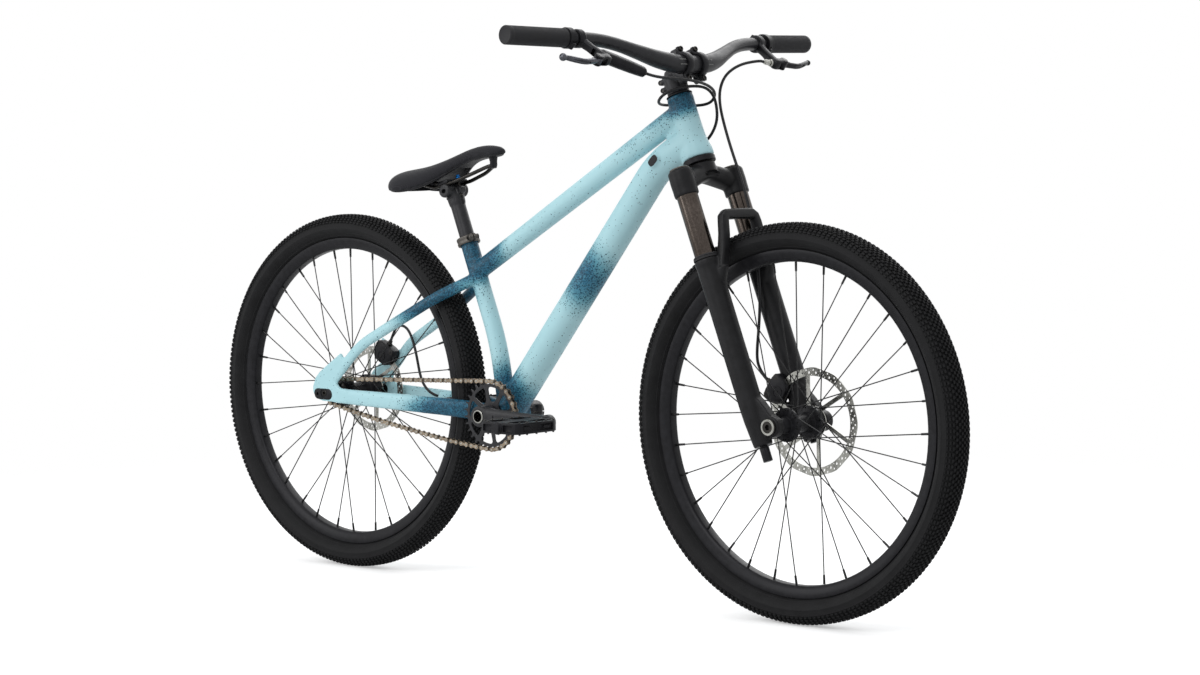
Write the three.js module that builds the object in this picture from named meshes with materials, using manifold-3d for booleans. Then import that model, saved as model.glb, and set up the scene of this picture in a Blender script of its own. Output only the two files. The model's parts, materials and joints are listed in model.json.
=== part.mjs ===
// Dirt jump bike: welded frame, short-travel suspension fork, single-speed chain drive
// and disc brakes. Millimetres, +X forward, +Y to the rider's left, +Z up. The origin is
// on the ground midway between the two wheel axles.
import * as THREE from 'three';
import Module from 'manifold-3d';
import { mergeVertices } from 'three/addons/utils/BufferGeometryUtils.js';

const wasm = await Module();
wasm.setup();

// Whole bike
const wheelbase = 1049;
const fitGap = 0.3;
const runningGap = 0.35;
const cutOverrun = 4;
const weldSink = 2;
const boreSides = 12;

// Wheels, shared by front and rear
const tyreSectionHeight = 44.5;
const tyreHalfWidth = 28.5;
const tyreTreadHalfWidth = 9;
const tyreShoulderHalfWidth = 22;
const tyreShoulderDrop = 6.5;
const tyreWall = 3.2;
const tyreTreadThickness = 6;
const tyreBeltRise = 17.5;
const beadHalfWidth = 11.2;
const rimOuterRadius = 285.5;
const rimWallDepth = 8.5;
const rimDepth = 20.5;
const tyreRadius = rimOuterRadius + tyreSectionHeight;
const tyreBeltRadius = rimOuterRadius + tyreBeltRise;
const rimBedRadius = rimOuterRadius - rimWallDepth;
const rimInnerRadius = rimOuterRadius - rimDepth;
const rimHalfWidth = 14.2;
const rimInnerHalfWidth = 9;
const tubeInset = 0.6;
const wheelSides = 28;
const hubSides = 12;
const frameSides = 10;
const spokesPerWheel = 32;
const spokeRadius = 1.1;
const spokeCrossAngle = 66;
const spokeFlangeShift = 1.6;
const spokeRimShift = 3.5;
const hubFlangeRadius = 28;
const hubFlangeThickness = 4;
const hubWaistRadius = 15;
const hubEndRadius = 13;
const rotorThickness = 1.9;
const rotorBrakeTrack = 14;
const rotorArms = 6;
const rotorArmWidth = 6;
const rotorHubRadius = 25;
const rotorBoreRadius = 18;

// Rear wheel and drive
const rearHubWidth = 135;
const rearAxleRadius = 6;
const rearRotorRadius = 80;
const rearRotorPlane = 51;
const rearFlangeRight = -22;
const rearFlangeLeft = 34;
const bracketTyreClearance = 68.3;
const chainstayLength = tyreRadius + bracketTyreClearance;
const bottomBracketDrop = 20.7;
const chainLine = 45;
const chainPitch = 12.7;
const ringTeeth = 30;
const cogTeeth = 12;
const rollerRadius = 3.8;
const plateHalfHeight = 4.2;
const plateThickness = 1.2;
const innerLinkHalfWidth = 3;
const outerLinkHalfWidth = 4.3;
const chainSag = 6;
const toothThickness = 2;
const toothHeight = 3.6;
const toothTipShare = 0.42;
const toothSideGap = 1.6;
const ringRimDepth = 6;
const ringWindows = 5;
const ringArmWidth = 9;
const ringBossRadius = 20;
const driverRadius = 16.5;
const driverBoreRadius = 12.4;
const driverShaftRadius = 12;
const driverInnerEnd = -31;
const driverOuterEnd = -61;

// Front wheel
const frontHubWidth = 110;
const frontAxleRadius = 10;
const frontRotorRadius = 90;
const frontRotorPlane = 42.5;
const frontFlangeRight = -29;
const frontFlangeLeft = 29;

// Steering and fork, in the fork's own frame: Z up the steering axis from the crown race
const headAngle = 68.5;
const forkLength = 475.8;
const forkOffset = 34.5;
const legOffset = 5.5;
const legSpacing = 132;
const stanchionRadius = 18;
const stanchionEnd = -350;
const crownLegRadius = 21;
const crownLegTop = -20;
const crownLegBottom = -65.7;
const crownTop = -8;
const crownHalfDepth = 20;
const crownHalfHeight = 16;
const crownTipHalfHeight = 14;
const crownShares = [-1, -0.7, -0.35, 0, 0.35, 0.7, 1];
const crownPower = 0.8;
const steererRadius = 14.3;
const crownRaceRadius = 24;
const topCapRadius = 17;
const topCapHeight = 5.4;
const topCapHexRadius = 7;
const lowerLegRadius = 20.5;
const lowerLegTop = -177;
const lowerFootDrop = 24.2;
const lowerBoreFloor = 22.8;
const lowerLegEnd = -forkLength - lowerFootDrop;
const lowerBoreEnd = lowerBoreFloor - forkLength;
const lowerFootRadius = 16;
const sealHeight = 7;
const sealRadius = 21.5;
const archRise = 72;
const archReach = 50;
const archHalfWidth = 8;
const archHalfThickness = 9;
const archFootShare = 0.86;
const archFootDrop = 30;
const archPillarHalfSpan = 52;
const archPillarRise = 44;
const archBeamHalfSpan = 24;
const frontLugThickness = 20;
const frontLugRadius = 18;
const frontLugRise = 46;
const axleHeadRadius = 14;
const axleHeadThickness = 5;
const knobRadius = 8;
const knobHeight = 26;

// Frame
const headTubeBottom = 2;
const headTubeTop = 115;
const headTubeTopRadius = 22.5;
const headTubeBottomRadius = 27.5;
const headTubeWaistRadius = 22.5;
const headBoreRadius = 19;
const cupFlangeHeight = 4;
const cupDepth = 12;
const cupWall = 3.5;
const downTubeRadius = 27.5;
const downTubeHeadRadius = 25;
const downTubeJoint = 34;
const downTubeKneeBack = 72;
const downTubeKneeDrop = 36;
const downTubeBend = 46;
const topTubeRearRadius = 16.5;
const topTubeFrontRadius = 19.5;
const topTubeHeadJoint = 88;
const topTubeSeatJoint = 136;
const seatTubeAngle = 68.25;
const seatTubeKneeBack = 21.5;
const seatTubeKneeRise = 124;
const seatTubeAboveKnee = 203;
const seatTubeBend = 46;
const seatTubeRadius = 15.9;
const seatTubeFootRadius = 17;
const bottomBracketRadius = 24;
const bottomBracketHalfWidth = 36.5;
const bottomBracketBore = 18;
const stayTyreReach = 262.5;
const seatstayJoint = 124;
const seatstayDrop = 34;
const stayEndHalfWidth = 5;
const stayBend = 24;
const seatstayHalfHeight = 10.5;
const seatstayHalfWidth = 9;
const chainstayHalfHeight = 17;
const chainstayEndHalfHeight = 14;
const chainstayHalfWidth = 8.5;
const dropoutThickness = 8;
const dropoutReach = 30;
const insertLength = 49;
const insertHeight = 20.5;
const insertForward = 2;
const insertThickness = 5.5;
const insertBoltRadius = 4;
const brakeTabThickness = 5;
const brakeTabHalfLength = 34;
const brakeTabHalfDepth = 12;
const caliperHalfWidth = 10;
const caliperHalfLength = 25;
const caliperInnerReach = 22;
const caliperOuterReach = 16;
const caliperNippleRadius = 4.5;
const caliperNippleLength = 9;
const portLength = 26;
const portWidth = 11;
const portThickness = 2.2;
const portAlongShare = 0.1;
const hosePortRadius = 5.5;
const collarHeight = 14;
const collarWall = 4;
const collarBoltRadius = 4.2;
const collarBoltLength = 22;
const collarSlit = 3;

// Seat
const seatpostRadius = 13.6;
const seatpostInsertion = 130;
const seatpostExposed = 90;
const seatpostTravelDown = 60;
const headCradleRadius = 13;
const headCradleHalfWidth = 26.5;
const saddleTilt = 13;
const saddleClampRise = 11;
const railRadius = 3.5;
const railHalfSpacing = 21;
const clampHalfLength = 13;
const clampThickness = 7;
const clampBoltRadius = 4;
const saddleTail = -126;
const saddleNose = 142;
const saddleHalfWidth = 67;
const saddleTopRise = 52;
const saddleShellThickness = 3;
const saddleEdge = 4;
const saddleSections = 15;
const shellSections = 8;
const saddleCrownPower = 0.75;
const saddleBaseShare = 0.6;
const railTail = -70;
const railTailRise = 16;
const railNose = 108;
const railNoseRise = 10;
const railSteps = 22;
const railSocketSize = 9;

// Cranks and pedals
const crankLength = 170;
const crankHalfHeight = 16;
const crankTipHalfHeight = 12;
const crankHalfThickness = 8;
const crankTipHalfThickness = 7.5;
const crankPower = 0.6;
const crankBossRadius = 19;
const crankBossOuter = 77;
const crankTipInner = 72;
const crankTipOuter = 87;
const spindleRadius = 12;
const spindleWall = 2.5;
const spindleHalfLength = 78.5;
const pinchBossRadius = 7;
const pedalAxleRadius = 6.5;
const pedalAxleCollarRadius = 9;
const pedalInner = 97;
const pedalOuter = 207;
const pedalCap = 213;
const pedalHalfLength = 44;
const pedalHalfThickness = 8.5;
const pedalBarrelRadius = 11.5;
const pedalBar = 9;
const pedalCorner = 14;

// Cockpit, in the fork's own frame
const stemClampRadius = 19.5;
const stemClampHeight = 30;
const stemReach = 40.6;
const stemRise = 15.5;
const stemFaceHalfWidth = 26;
const stemArmHalfWidth = 16;
const stemArmHalfHeight = 12;
const stemPower = 0.6;
const spacerHeight = 5;
const upperCapHeight = 6;
const strapWidth = 13;
const strapSpacing = 38;
const strapThickness = 6;
const strapBoltRadius = 4;
const strapBoltRise = 24;
const barClampRadius = 15.9;
const barGripRadius = 11.1;
const barClampHalfSpan = 50;
const barRise = 49.3;
const barSweepBack = 20.7;
const barEndRise = 61.1;
const barEndSweepBack = 38.3;
const barHalfWidth = 385;
const barBend = 26;
const barThickShare = 0.1;
const barSlimShare = 0.4;
const gripLength = 137;
const gripRadius = 15.6;
const gripCollarRadius = 17.5;
const gripCollarLength = 12;
const gripEndThickness = 3;
const leverClampRadius = 16;
const leverClampHalfWidth = 7;
const leverClampGap = 16;
const leverPivotShift = 8;
const leverBendGap = 60;
const leverClampFromCentre = barHalfWidth - gripLength - leverClampGap;
const leverPivotFromCentre = leverClampFromCentre + leverPivotShift;
const barBendHalfSpan = leverClampFromCentre - leverBendGap;
const leverPivotReach = 35;
const leverPivotDrop = 52;
const leverHalfHeight = 5.5;
const leverHalfThickness = 4;
const leverLength = 78;
const leverBallRadius = 7.5;
const leverPinRadius = 2.3;
const leverEar = 3.5;
const leverNeck = 20;
const leverRoom = 60;
const bladeDipShare = 0.5;
const barrelRadius = 5;
const barrelLength = 26;
const barrelRise = 6;
const masterRise = 14;
const masterDrop = 20;
const masterBack = 11;
const masterRadius = 11;
const masterLength = 86;
const masterEndRadius = 8.5;

// Cords
const hoseRadius = 2.5;
const housingRadius = 2.5;
const cordSides = 8;
const cordGap = 0.4;
const cordLead = 9;
const upperHoseSteps = 44;
const lowerHoseSteps = 26;
const housingSteps = 52;

const degree = Math.PI / 180;
const rearAxle = new THREE.Vector3(-wheelbase / 2, 0, tyreRadius);
const frontAxle = new THREE.Vector3(wheelbase / 2, 0, tyreRadius);
const bracket = new THREE.Vector3(
  rearAxle.x + Math.sqrt(chainstayLength ** 2 - bottomBracketDrop ** 2), 0, tyreRadius - bottomBracketDrop);
const steerUp = new THREE.Vector3(-Math.cos(headAngle * degree), 0, Math.sin(headAngle * degree));
const steerForward = new THREE.Vector3(steerUp.z, 0, -steerUp.x);
const crownRace = frontAxle.clone()
  .addScaledVector(steerForward, -forkOffset)
  .addScaledVector(steerUp, forkLength);
const xAxis = new THREE.Vector3(1, 0, 0);
const yAxis = new THREE.Vector3(0, 1, 0);
const zAxis = new THREE.Vector3(0, 0, 1);
const sides = [['right', -1], ['left', 1]];

const at = (x, y, z) => new THREE.Vector3(x, y, z);
const inscribed = (radius, count) => radius * Math.cos(Math.PI / count);
const around = (radius, count) => radius / Math.cos(Math.PI / count);

// Point of the fork's own frame, placed on the bike
function onSteering(x, y, z) {
  return crownRace.clone().addScaledVector(steerForward, x).addScaledVector(steerUp, z).setY(y);
}

// Closed mesh to solid, its faces turned outward
function solid(geometry) {
  const bare = new THREE.BufferGeometry();
  bare.setAttribute('position', geometry.getAttribute('position'));
  if (geometry.index) bare.setIndex(geometry.index);
  const merged = mergeVertices(bare);
  const place = merged.getAttribute('position').array;
  const index = merged.index.array;
  const kept = [];
  let volume = 0;
  const corner = [0, 1, 2].map(() => new THREE.Vector3());
  for (let i = 0; i < index.length; i += 3) {
    const [a, b, c] = [index[i], index[i + 1], index[i + 2]];
    if (a === b || b === c || c === a) continue;
    kept.push(a, b, c);
    corner.forEach((p, k) => p.fromArray(place, 3 * [a, b, c][k]));
    volume += corner[0].dot(corner[1].clone().cross(corner[2]));
  }
  if (volume < 0) kept.reverse();
  return new wasm.Manifold(new wasm.Mesh({
    numProp: 3, vertProperties: new Float32Array(place), triVerts: new Uint32Array(kept) }));
}

function geometryOf(body) {
  const mesh = body.getMesh();
  const geometry = new THREE.BufferGeometry();
  geometry.setAttribute('position', new THREE.BufferAttribute(new Float32Array(mesh.vertProperties), 3));
  geometry.setIndex(new THREE.BufferAttribute(new Uint32Array(mesh.triVerts), 1));
  geometry.computeVertexNormals();
  return geometry;
}

const join = (first, ...others) => others.reduce((sum, next) => sum.add(next), first);
const cut = (first, ...others) => others.reduce((rest, next) => rest.subtract(next), first);

// Solid turned on the Y axis from a closed profile of [radius, y] points
function turned(profile, count) {
  const closed = [...profile, profile[0]].map(([r, y]) => new THREE.Vector2(r, y));
  return solid(new THREE.LatheGeometry(closed, count));
}

// Ring on the Y axis between two radii and two ends
const ringOnY = (outer, inner, from, to, count) =>
  turned([[inner, from], [outer, from], [outer, to], [inner, to]], count);

// Round bar between two points, cone if the second radius differs
function bar(from, to, radius, count, endRadius = radius) {
  const along = to.clone().sub(from);
  const geometry = new THREE.CylinderGeometry(endRadius, radius, along.length(), count);
  geometry.applyQuaternion(new THREE.Quaternion().setFromUnitVectors(yAxis, along.clone().normalize()));
  geometry.translate(...from.clone().add(to).multiplyScalar(1 / 2).toArray());
  return solid(geometry);
}

// Solid skinned over rings of equal count, flat at both ends
function skinned(rings) {
  const count = rings[0].length;
  const position = rings.flat().flatMap((p) => p.toArray());
  const index = [];
  for (let r = 0; r + 1 < rings.length; r += 1) {
    for (let i = 0; i < count; i += 1) {
      const j = (i + 1) % count;
      const [a, b] = [r * count + i, r * count + j];
      index.push(a, b, b + count, a, b + count, a + count);
    }
  }
  const last = (rings.length - 1) * count;
  for (let i = 1; i + 1 < count; i += 1) {
    index.push(0, i + 1, i, last, last + i, last + i + 1);
  }
  const geometry = new THREE.BufferGeometry();
  geometry.setAttribute('position', new THREE.Float32BufferAttribute(position, 3));
  geometry.setIndex(index);
  return solid(geometry);
}

// Superellipse ring; power 1 is an ellipse, less is squarer
function ring(centre, across, up, halfWidth, halfHeight, count, power = 1) {
  const bend = (value) => Math.sign(value) * Math.abs(value) ** power;
  return Array.from({ length: count }, (_, i) => {
    const angle = 2 * Math.PI * (i + 1 / 2) / count;
    return centre.clone()
      .addScaledVector(across, halfWidth * bend(Math.cos(angle)))
      .addScaledVector(up, halfHeight * bend(Math.sin(angle)));
  });
}

// Tube along points, each station's half sizes given by the share of the length run
function tube(points, sizeAt, count, reference = yAxis, power = 1) {
  const run = [0];
  points.slice(1).forEach((p, i) => run.push(run[i] + p.distanceTo(points[i])));
  const total = run[run.length - 1];
  return skinned(points.map((p, i) => {
    const before = points[Math.max(i - 1, 0)];
    const after = points[Math.min(i + 1, points.length - 1)];
    const along = after.clone().sub(before).normalize();
    const across = reference.clone().addScaledVector(along, -reference.dot(along)).normalize();
    const up = along.clone().cross(across);
    const [halfWidth, halfHeight] = sizeAt(run[i] / total);
    return ring(p, across, up, halfWidth, halfHeight, count, power);
  }));
}

// Path with its corners rounded, each by a curve that starts the given setback away
function rounded(points, setback, steps = 3) {
  const path = [points[0]];
  for (let i = 1; i + 1 < points.length; i += 1) {
    const [before, knee, after] = [points[i - 1], points[i], points[i + 1]];
    const reach = Math.min(setback, before.distanceTo(knee) / 2, after.distanceTo(knee) / 2);
    const start = knee.clone().add(before.clone().sub(knee).setLength(reach));
    const end = knee.clone().add(after.clone().sub(knee).setLength(reach));
    path.push(...new THREE.QuadraticBezierCurve3(start, knee, end).getPoints(steps));
  }
  return [...path, points[points.length - 1]];
}

const between = (a, b, share) => a + (b - a) * share;
const taper = (from, to) => (share) => [between(from, to, share), between(from, to, share)];

// Flat plate: a shape of X and Z drawn out between two Y planes
function plate(shape, from, to) {
  const [low, high] = [Math.min(from, to), Math.max(from, to)];
  const geometry = new THREE.ExtrudeGeometry(shape, { depth: high - low, bevelEnabled: false,
    curveSegments: 4 });
  geometry.rotateX(Math.PI / 2);
  geometry.translate(0, high, 0);
  return solid(geometry);
}

const outline = (points) => new THREE.Shape(points.map(([x, z]) => new THREE.Vector2(x, z)));

// Points on a circle of the X and Z plane
const circle = (x, z, radius, count, turn = 0) => Array.from({ length: count }, (_, i) => {
  const angle = turn + 2 * Math.PI * i / count;
  return [x + radius * Math.cos(angle), z + radius * Math.sin(angle)];
});

// Long hole or block with round ends, along X
function obround(x, z, length, height, count = 4) {
  const reach = (length - height) / 2;
  const arc = (centre, start) => Array.from({ length: count + 1 }, (_, i) => {
    const angle = start + Math.PI * i / count;
    return [centre + height / 2 * Math.cos(angle), z + height / 2 * Math.sin(angle)];
  });
  return [...arc(x + reach, -Math.PI / 2), ...arc(x - reach, Math.PI / 2)];
}

// Round cord along its points
function cord(points, radius, steps) {
  const section = new THREE.Shape(circle(0, 0, radius, cordSides).map(([x, y]) => new THREE.Vector2(x, y)));
  const path = new THREE.CatmullRomCurve3(points, false, 'centripetal');
  return new THREE.ExtrudeGeometry(section, { steps, bevelEnabled: false, extrudePath: path });
}

// Box by its centre and half sizes
function block(centre, halfX, halfY, halfZ) {
  const geometry = new THREE.BoxGeometry(2 * halfX, 2 * halfY, 2 * halfZ);
  geometry.translate(...centre.toArray());
  return solid(geometry);
}

const bike = new THREE.Group();
const steering = new THREE.Group();
steering.position.copy(crownRace);
steering.rotation.y = (headAngle - 90) * degree;
bike.add(steering);

// Named mesh in its own paint
function piece(parent, name, body, [color, roughness, metalness], position) {
  const geometry = body.getMesh ? geometryOf(body) : body;
  const mesh = new THREE.Mesh(geometry, new THREE.MeshStandardMaterial({ color, roughness, metalness }));
  mesh.name = name;
  if (position) mesh.position.copy(position);
  parent.add(mesh);
}

const aqua = ['#a9d3da', 0.4, 0.1];
const blackRubber = ['#232323', 0.9, 0];
const blackAlloy = ['#2b2b2d', 0.45, 0.6];
const matteBlack = ['#2a2a2c', 0.7, 0.2];
const blackPlastic = ['#303032', 0.65, 0];
const darkSteel = ['#3a3837', 0.35, 0.8];
const silverSteel = ['#b9b9b9', 0.3, 0.9];
const chainSteel = ['#9c8a70', 0.45, 0.7];
const saddleSkin = ['#3a3a3c', 0.8, 0];
const hoseSkin = ['#1e1e1f', 0.6, 0];
const stanchionCoat = ['#1f1b19', 0.15, 0.7];

// Tyre casing open at its beads, hooked behind the rim's walls
function tyre() {
  const beadFoot = rimBedRadius + fitGap;
  const half = [
    [beadFoot, beadHalfWidth], [rimOuterRadius + fitGap, beadHalfWidth],
    [tyreBeltRadius, tyreHalfWidth], [tyreRadius - tyreShoulderDrop, tyreShoulderHalfWidth],
    [tyreRadius, tyreTreadHalfWidth]];
  const inner = [
    [beadFoot, beadHalfWidth - tyreWall], [rimOuterRadius + tyreWall, beadHalfWidth - tyreWall],
    [tyreBeltRadius, tyreHalfWidth - tyreWall],
    [tyreRadius - tyreTreadThickness - tyreWall, tyreShoulderHalfWidth - tyreShoulderDrop]];
  const mirror = (list) => list.map(([r, y]) => [r, -y]).reverse();
  return turned([...half, ...mirror(half), ...mirror(inner).reverse(), ...inner.reverse()], wheelSides);
}

function innerTube() {
  const narrow = beadHalfWidth - tyreWall - tubeInset;
  const half = [
    [rimBedRadius + tubeInset, narrow], [rimOuterRadius + tyreWall + tubeInset, narrow],
    [tyreBeltRadius, tyreHalfWidth - tyreWall - tubeInset - tubeInset],
    [tyreRadius - tyreTreadThickness - tyreWall - tubeInset - tubeInset,
      tyreShoulderHalfWidth - tyreShoulderDrop - tubeInset - tubeInset]];
  return turned([...half, ...half.map(([r, y]) => [r, -y]).reverse()], wheelSides);
}

function rim() {
  const wall = beadHalfWidth + fitGap;
  return turned([
    [rimOuterRadius, rimHalfWidth], [rimInnerRadius, rimInnerHalfWidth],
    [rimInnerRadius, -rimInnerHalfWidth], [rimOuterRadius, -rimHalfWidth],
    [rimOuterRadius, -wall], [rimBedRadius, -wall], [rimBedRadius, wall], [rimOuterRadius, wall]],
      wheelSides);
}

// Crossed spokes from both flanges, heads alternately inside and outside the flange
function spokes(flangeRight, flangeLeft) {
  const reach = inscribed(rimInnerRadius, wheelSides) - fitGap;
  const perFlange = spokesPerWheel / 2;
  const root = hubFlangeRadius - hubFlangeThickness;
  const list = [];
  [flangeRight, flangeLeft].forEach((flange, side) => {
    for (let i = 0; i < perFlange; i += 1) {
      const trailing = i % 2 === 0 ? 1 : -1;
      const rimAngle = 2 * Math.PI * (i + side / 2) / perFlange;
      const hubAngle = rimAngle + trailing * spokeCrossAngle * degree;
      const outward = Math.sign(flange);
      const from = at(root * Math.sin(hubAngle), flange + trailing * spokeFlangeShift,
        root * Math.cos(hubAngle));
      const to = at(reach * Math.sin(rimAngle), outward * spokeRimShift, reach * Math.cos(rimAngle));
      list.push(bar(from, to, spokeRadius, 3));
    }
  });
  return list;
}

function hub(width, axleRadius, flangeRight, flangeLeft, rotorPlane, driveSide) {
  const bore = around(axleRadius + fitGap, hubSides);
  const end = width / 2 - fitGap;
  const half = hubFlangeThickness / 2;
  const seat = rotorPlane - rotorThickness / 2 - fitGap;
  const spigot = rotorBoreRadius - fitGap;
  const right = driveSide
    ? [[bore, -end], [driverShaftRadius, -end],
      [driverShaftRadius, driverInnerEnd + fitGap], [hubWaistRadius, driverInnerEnd + fitGap]]
    : [[bore, -end], [hubEndRadius, -end], [hubEndRadius, flangeRight - hubFlangeThickness]];
  const body = turned([
    ...right,
    [hubFlangeRadius, flangeRight - half], [hubFlangeRadius, flangeRight + half],
    [hubWaistRadius, flangeRight + hubFlangeThickness],
    [hubWaistRadius, flangeLeft - hubFlangeThickness],
    [hubFlangeRadius, flangeLeft - half], [hubFlangeRadius, flangeLeft + half],
    [rotorHubRadius, flangeLeft + hubFlangeThickness], [rotorHubRadius, seat],
    [spigot, seat], [spigot, seat + 2 * rotorThickness],
    [hubEndRadius, seat + 2 * rotorThickness], [hubEndRadius, end], [bore, end]], hubSides);
  return join(body, ...spokes(flangeRight, flangeLeft));
}

// Brake disc: friction track carried by slanted arms on a bolted centre
function rotor(radius) {
  const disc = outline(circle(0, 0, radius, wheelSides));
  disc.holes.push(new THREE.Path(circle(0, 0, rotorBoreRadius,
    boreSides).map(([x, z]) => new THREE.Vector2(x, z))));
  const track = radius - rotorBrakeTrack;
  const slant = 1 / 3;
  for (let i = 0; i < rotorArms; i += 1) {
    const start = 2 * Math.PI * i / rotorArms;
    const stop = start + 2 * Math.PI / rotorArms;
    const point = (r, angle) => new THREE.Vector2(r * Math.cos(angle), r * Math.sin(angle));
    const [outerGap, innerGap] = [rotorArmWidth / track, rotorArmWidth / rotorHubRadius];
    const window = [start + outerGap, (start + stop) / 2, stop].map((angle) => point(track, angle + slant));
    window.push(point(rotorHubRadius, stop), point(rotorHubRadius, start + innerGap));
    disc.holes.push(new THREE.Path(window));
  }
  return plate(disc, -rotorThickness / 2, rotorThickness / 2);
}

for (const [name, axle, width, radius, right, left, plane, rotorRadius] of [
  ['front', frontAxle, frontHubWidth, frontAxleRadius, frontFlangeRight, frontFlangeLeft,
    frontRotorPlane, frontRotorRadius],
  ['rear', rearAxle, rearHubWidth, rearAxleRadius, rearFlangeRight, rearFlangeLeft,
    rearRotorPlane, rearRotorRadius]]) {
  piece(bike, `${name}_tyre`, tyre(), blackRubber, axle);
  piece(bike, `${name}_inner_tube`, innerTube(), blackRubber, axle);
  piece(bike, `${name}_rim`, rim(), blackAlloy, axle);
  piece(bike, `${name}_hub_and_spokes`, hub(width, radius, right, left, plane, name === 'rear'), blackAlloy,
    axle);
  piece(bike, `${name}_rotor`, rotor(rotorRadius), silverSteel, axle.clone().setY(plane));
}

// Pitch radius of a sprocket
const pitchRadius = (teeth) => chainPitch / 2 / Math.sin(Math.PI / teeth);
const ringPitch = pitchRadius(ringTeeth);
const cogPitch = pitchRadius(cogTeeth);

// Chain pins in the plane of X and Z: round the cog, along the upper run, round the ring
// and back along the sagging lower run
function chainPins() {
  const span = bracket.clone().sub(rearAxle);
  const slope = Math.atan2(span.z, span.x);
  const lean = Math.asin((ringPitch - cogPitch) / span.length());
  const topAngle = slope + lean + Math.PI / 2;
  const lowAngle = slope - lean - Math.PI / 2;
  const onCircle = (centre, radius, angle) =>
    at(centre.x + radius * Math.cos(angle), 0, centre.z + radius * Math.sin(angle));
  const cogStep = 2 * Math.PI / cogTeeth;
  const cogWrap = Math.floor((2 * Math.PI - (topAngle - lowAngle)) / cogStep);
  const pins = [];
  for (let i = cogWrap; i >= 0; i -= 1) pins.push(onCircle(rearAxle, cogPitch, topAngle + i * cogStep));
  const runAngle = topAngle - Math.PI / 2;
  const runLength = span.length() * Math.cos(lean);
  const links = Math.floor(runLength / chainPitch);
  const start = pins[pins.length - 1];
  for (let i = 1; i <= links; i += 1) {
    pins.push(start.clone().add(at(Math.cos(runAngle), 0,
      Math.sin(runAngle)).multiplyScalar(i * chainPitch)));
  }
  const last = pins[pins.length - 1];
  const toLast = last.clone().sub(bracket);
  const reach = toLast.length();
  const turn = Math.acos((reach ** 2 + ringPitch ** 2 - chainPitch ** 2) / (2 * reach * ringPitch));
  const ringStart = Math.atan2(toLast.z, toLast.x) - turn;
  const ringStep = 2 * Math.PI / ringTeeth;
  const ringWrap = Math.floor((ringStart - lowAngle) / ringStep);
  for (let i = 0; i <= ringWrap; i += 1) pins.push(onCircle(bracket, ringPitch, ringStart - i * ringStep));
  const [from, to] = [pins[pins.length - 1], pins[0]];
  const count = 2 * Math.round((from.distanceTo(to) / chainPitch + pins.length - 1) / 2) - pins.length + 1;
  for (let i = 1; i < count; i += 1) {
    const share = i / count;
    const sag = 4 * chainSag * share * (1 - share);
    pins.push(from.clone().lerp(to, share).add(at(0, 0, -sag)));
  }
  return { pins, ringStart, cogStart: topAngle };
}

const { pins: chainPin, ringStart, cogStart } = chainPins();

// Chain of outer and inner links in turn: at each pin a full-width roller block, between
// pins two side plates with the gap for a tooth
function chain() {
  const position = [];
  const index = [];
  const quad = (a, b, c, d) => index.push(a, b, c, a, c, d);
  const station = (place, up, half, height) => {
    const first = position.length / 3;
    for (const [y, h] of [[-half, 1], [-half, -1], [plateThickness - half, -1], [half - plateThickness, -1],
      [half, -1], [half, 1], [half - plateThickness, 1], [plateThickness - half, 1]]) {
      const p = place.clone().addScaledVector(up, h * height);
      position.push(p.x, -chainLine + y, p.z);
    }
    return first;
  };
  const stations = [];
  chainPin.forEach((pin, i) => {
    const along = chainPin[(i + 1) % chainPin.length].clone().sub(pin);
    const length = along.length();
    along.normalize();
    const up = along.clone().cross(yAxis);
    const half = i % 2 === 0 ? outerLinkHalfWidth : innerLinkHalfWidth;
    const spot = (distance) => pin.clone().addScaledVector(along, distance);
    stations.push(station(spot(rollerRadius), up, half, plateHalfHeight));
    stations.push(station(spot(length - rollerRadius), up, half, plateHalfHeight));
  });
  const plates = [[0, 1, 2, 7], [3, 4, 5, 6]];
  stations.forEach((a, i) => {
    const b = stations[(i + 1) % stations.length];
    if (i % 2 === 0) {
      for (const corners of plates) {
        corners.forEach((k, m) => {
          const next = corners[(m + 1) % corners.length];
          quad(a + k, a + next, b + next, b + k);
        });
      }
      return;
    }
    for (let k = 0; k < 8; k += 1) quad(a + k, a + (k + 1) % 8, b + (k + 1) % 8, b + k);
    quad(a + 2, a + 7, a + 6, a + 3);
    quad(b + 7, b + 2, b + 3, b + 6);
  });
  const geometry = new THREE.BufferGeometry();
  geometry.setAttribute('position', new THREE.Float32BufferAttribute(position, 3));
  geometry.setIndex(index);
  return solid(geometry);
}

// Toothed outline: roots clear of the rollers, teeth half a pitch on from the first pin
function toothedOutline(teeth, pitch, phase) {
  const step = 2 * Math.PI / teeth;
  const root = inscribed(pitch, teeth) - plateHalfHeight - fitGap;
  const tip = pitch + toothHeight;
  const halfGap = chainPitch / 2 - rollerRadius - toothSideGap;
  return Array.from({ length: teeth }, (_, i) => {
    const middle = phase + (i + 1 / 2) * step;
    return [[-halfGap, root], [-halfGap * toothTipShare, tip], [halfGap * toothTipShare, tip],
      [halfGap, root]]
      .map(([width, r]) => [r * Math.cos(middle + width / r), r * Math.sin(middle + width / r)]);
  }).flat();
}

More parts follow.
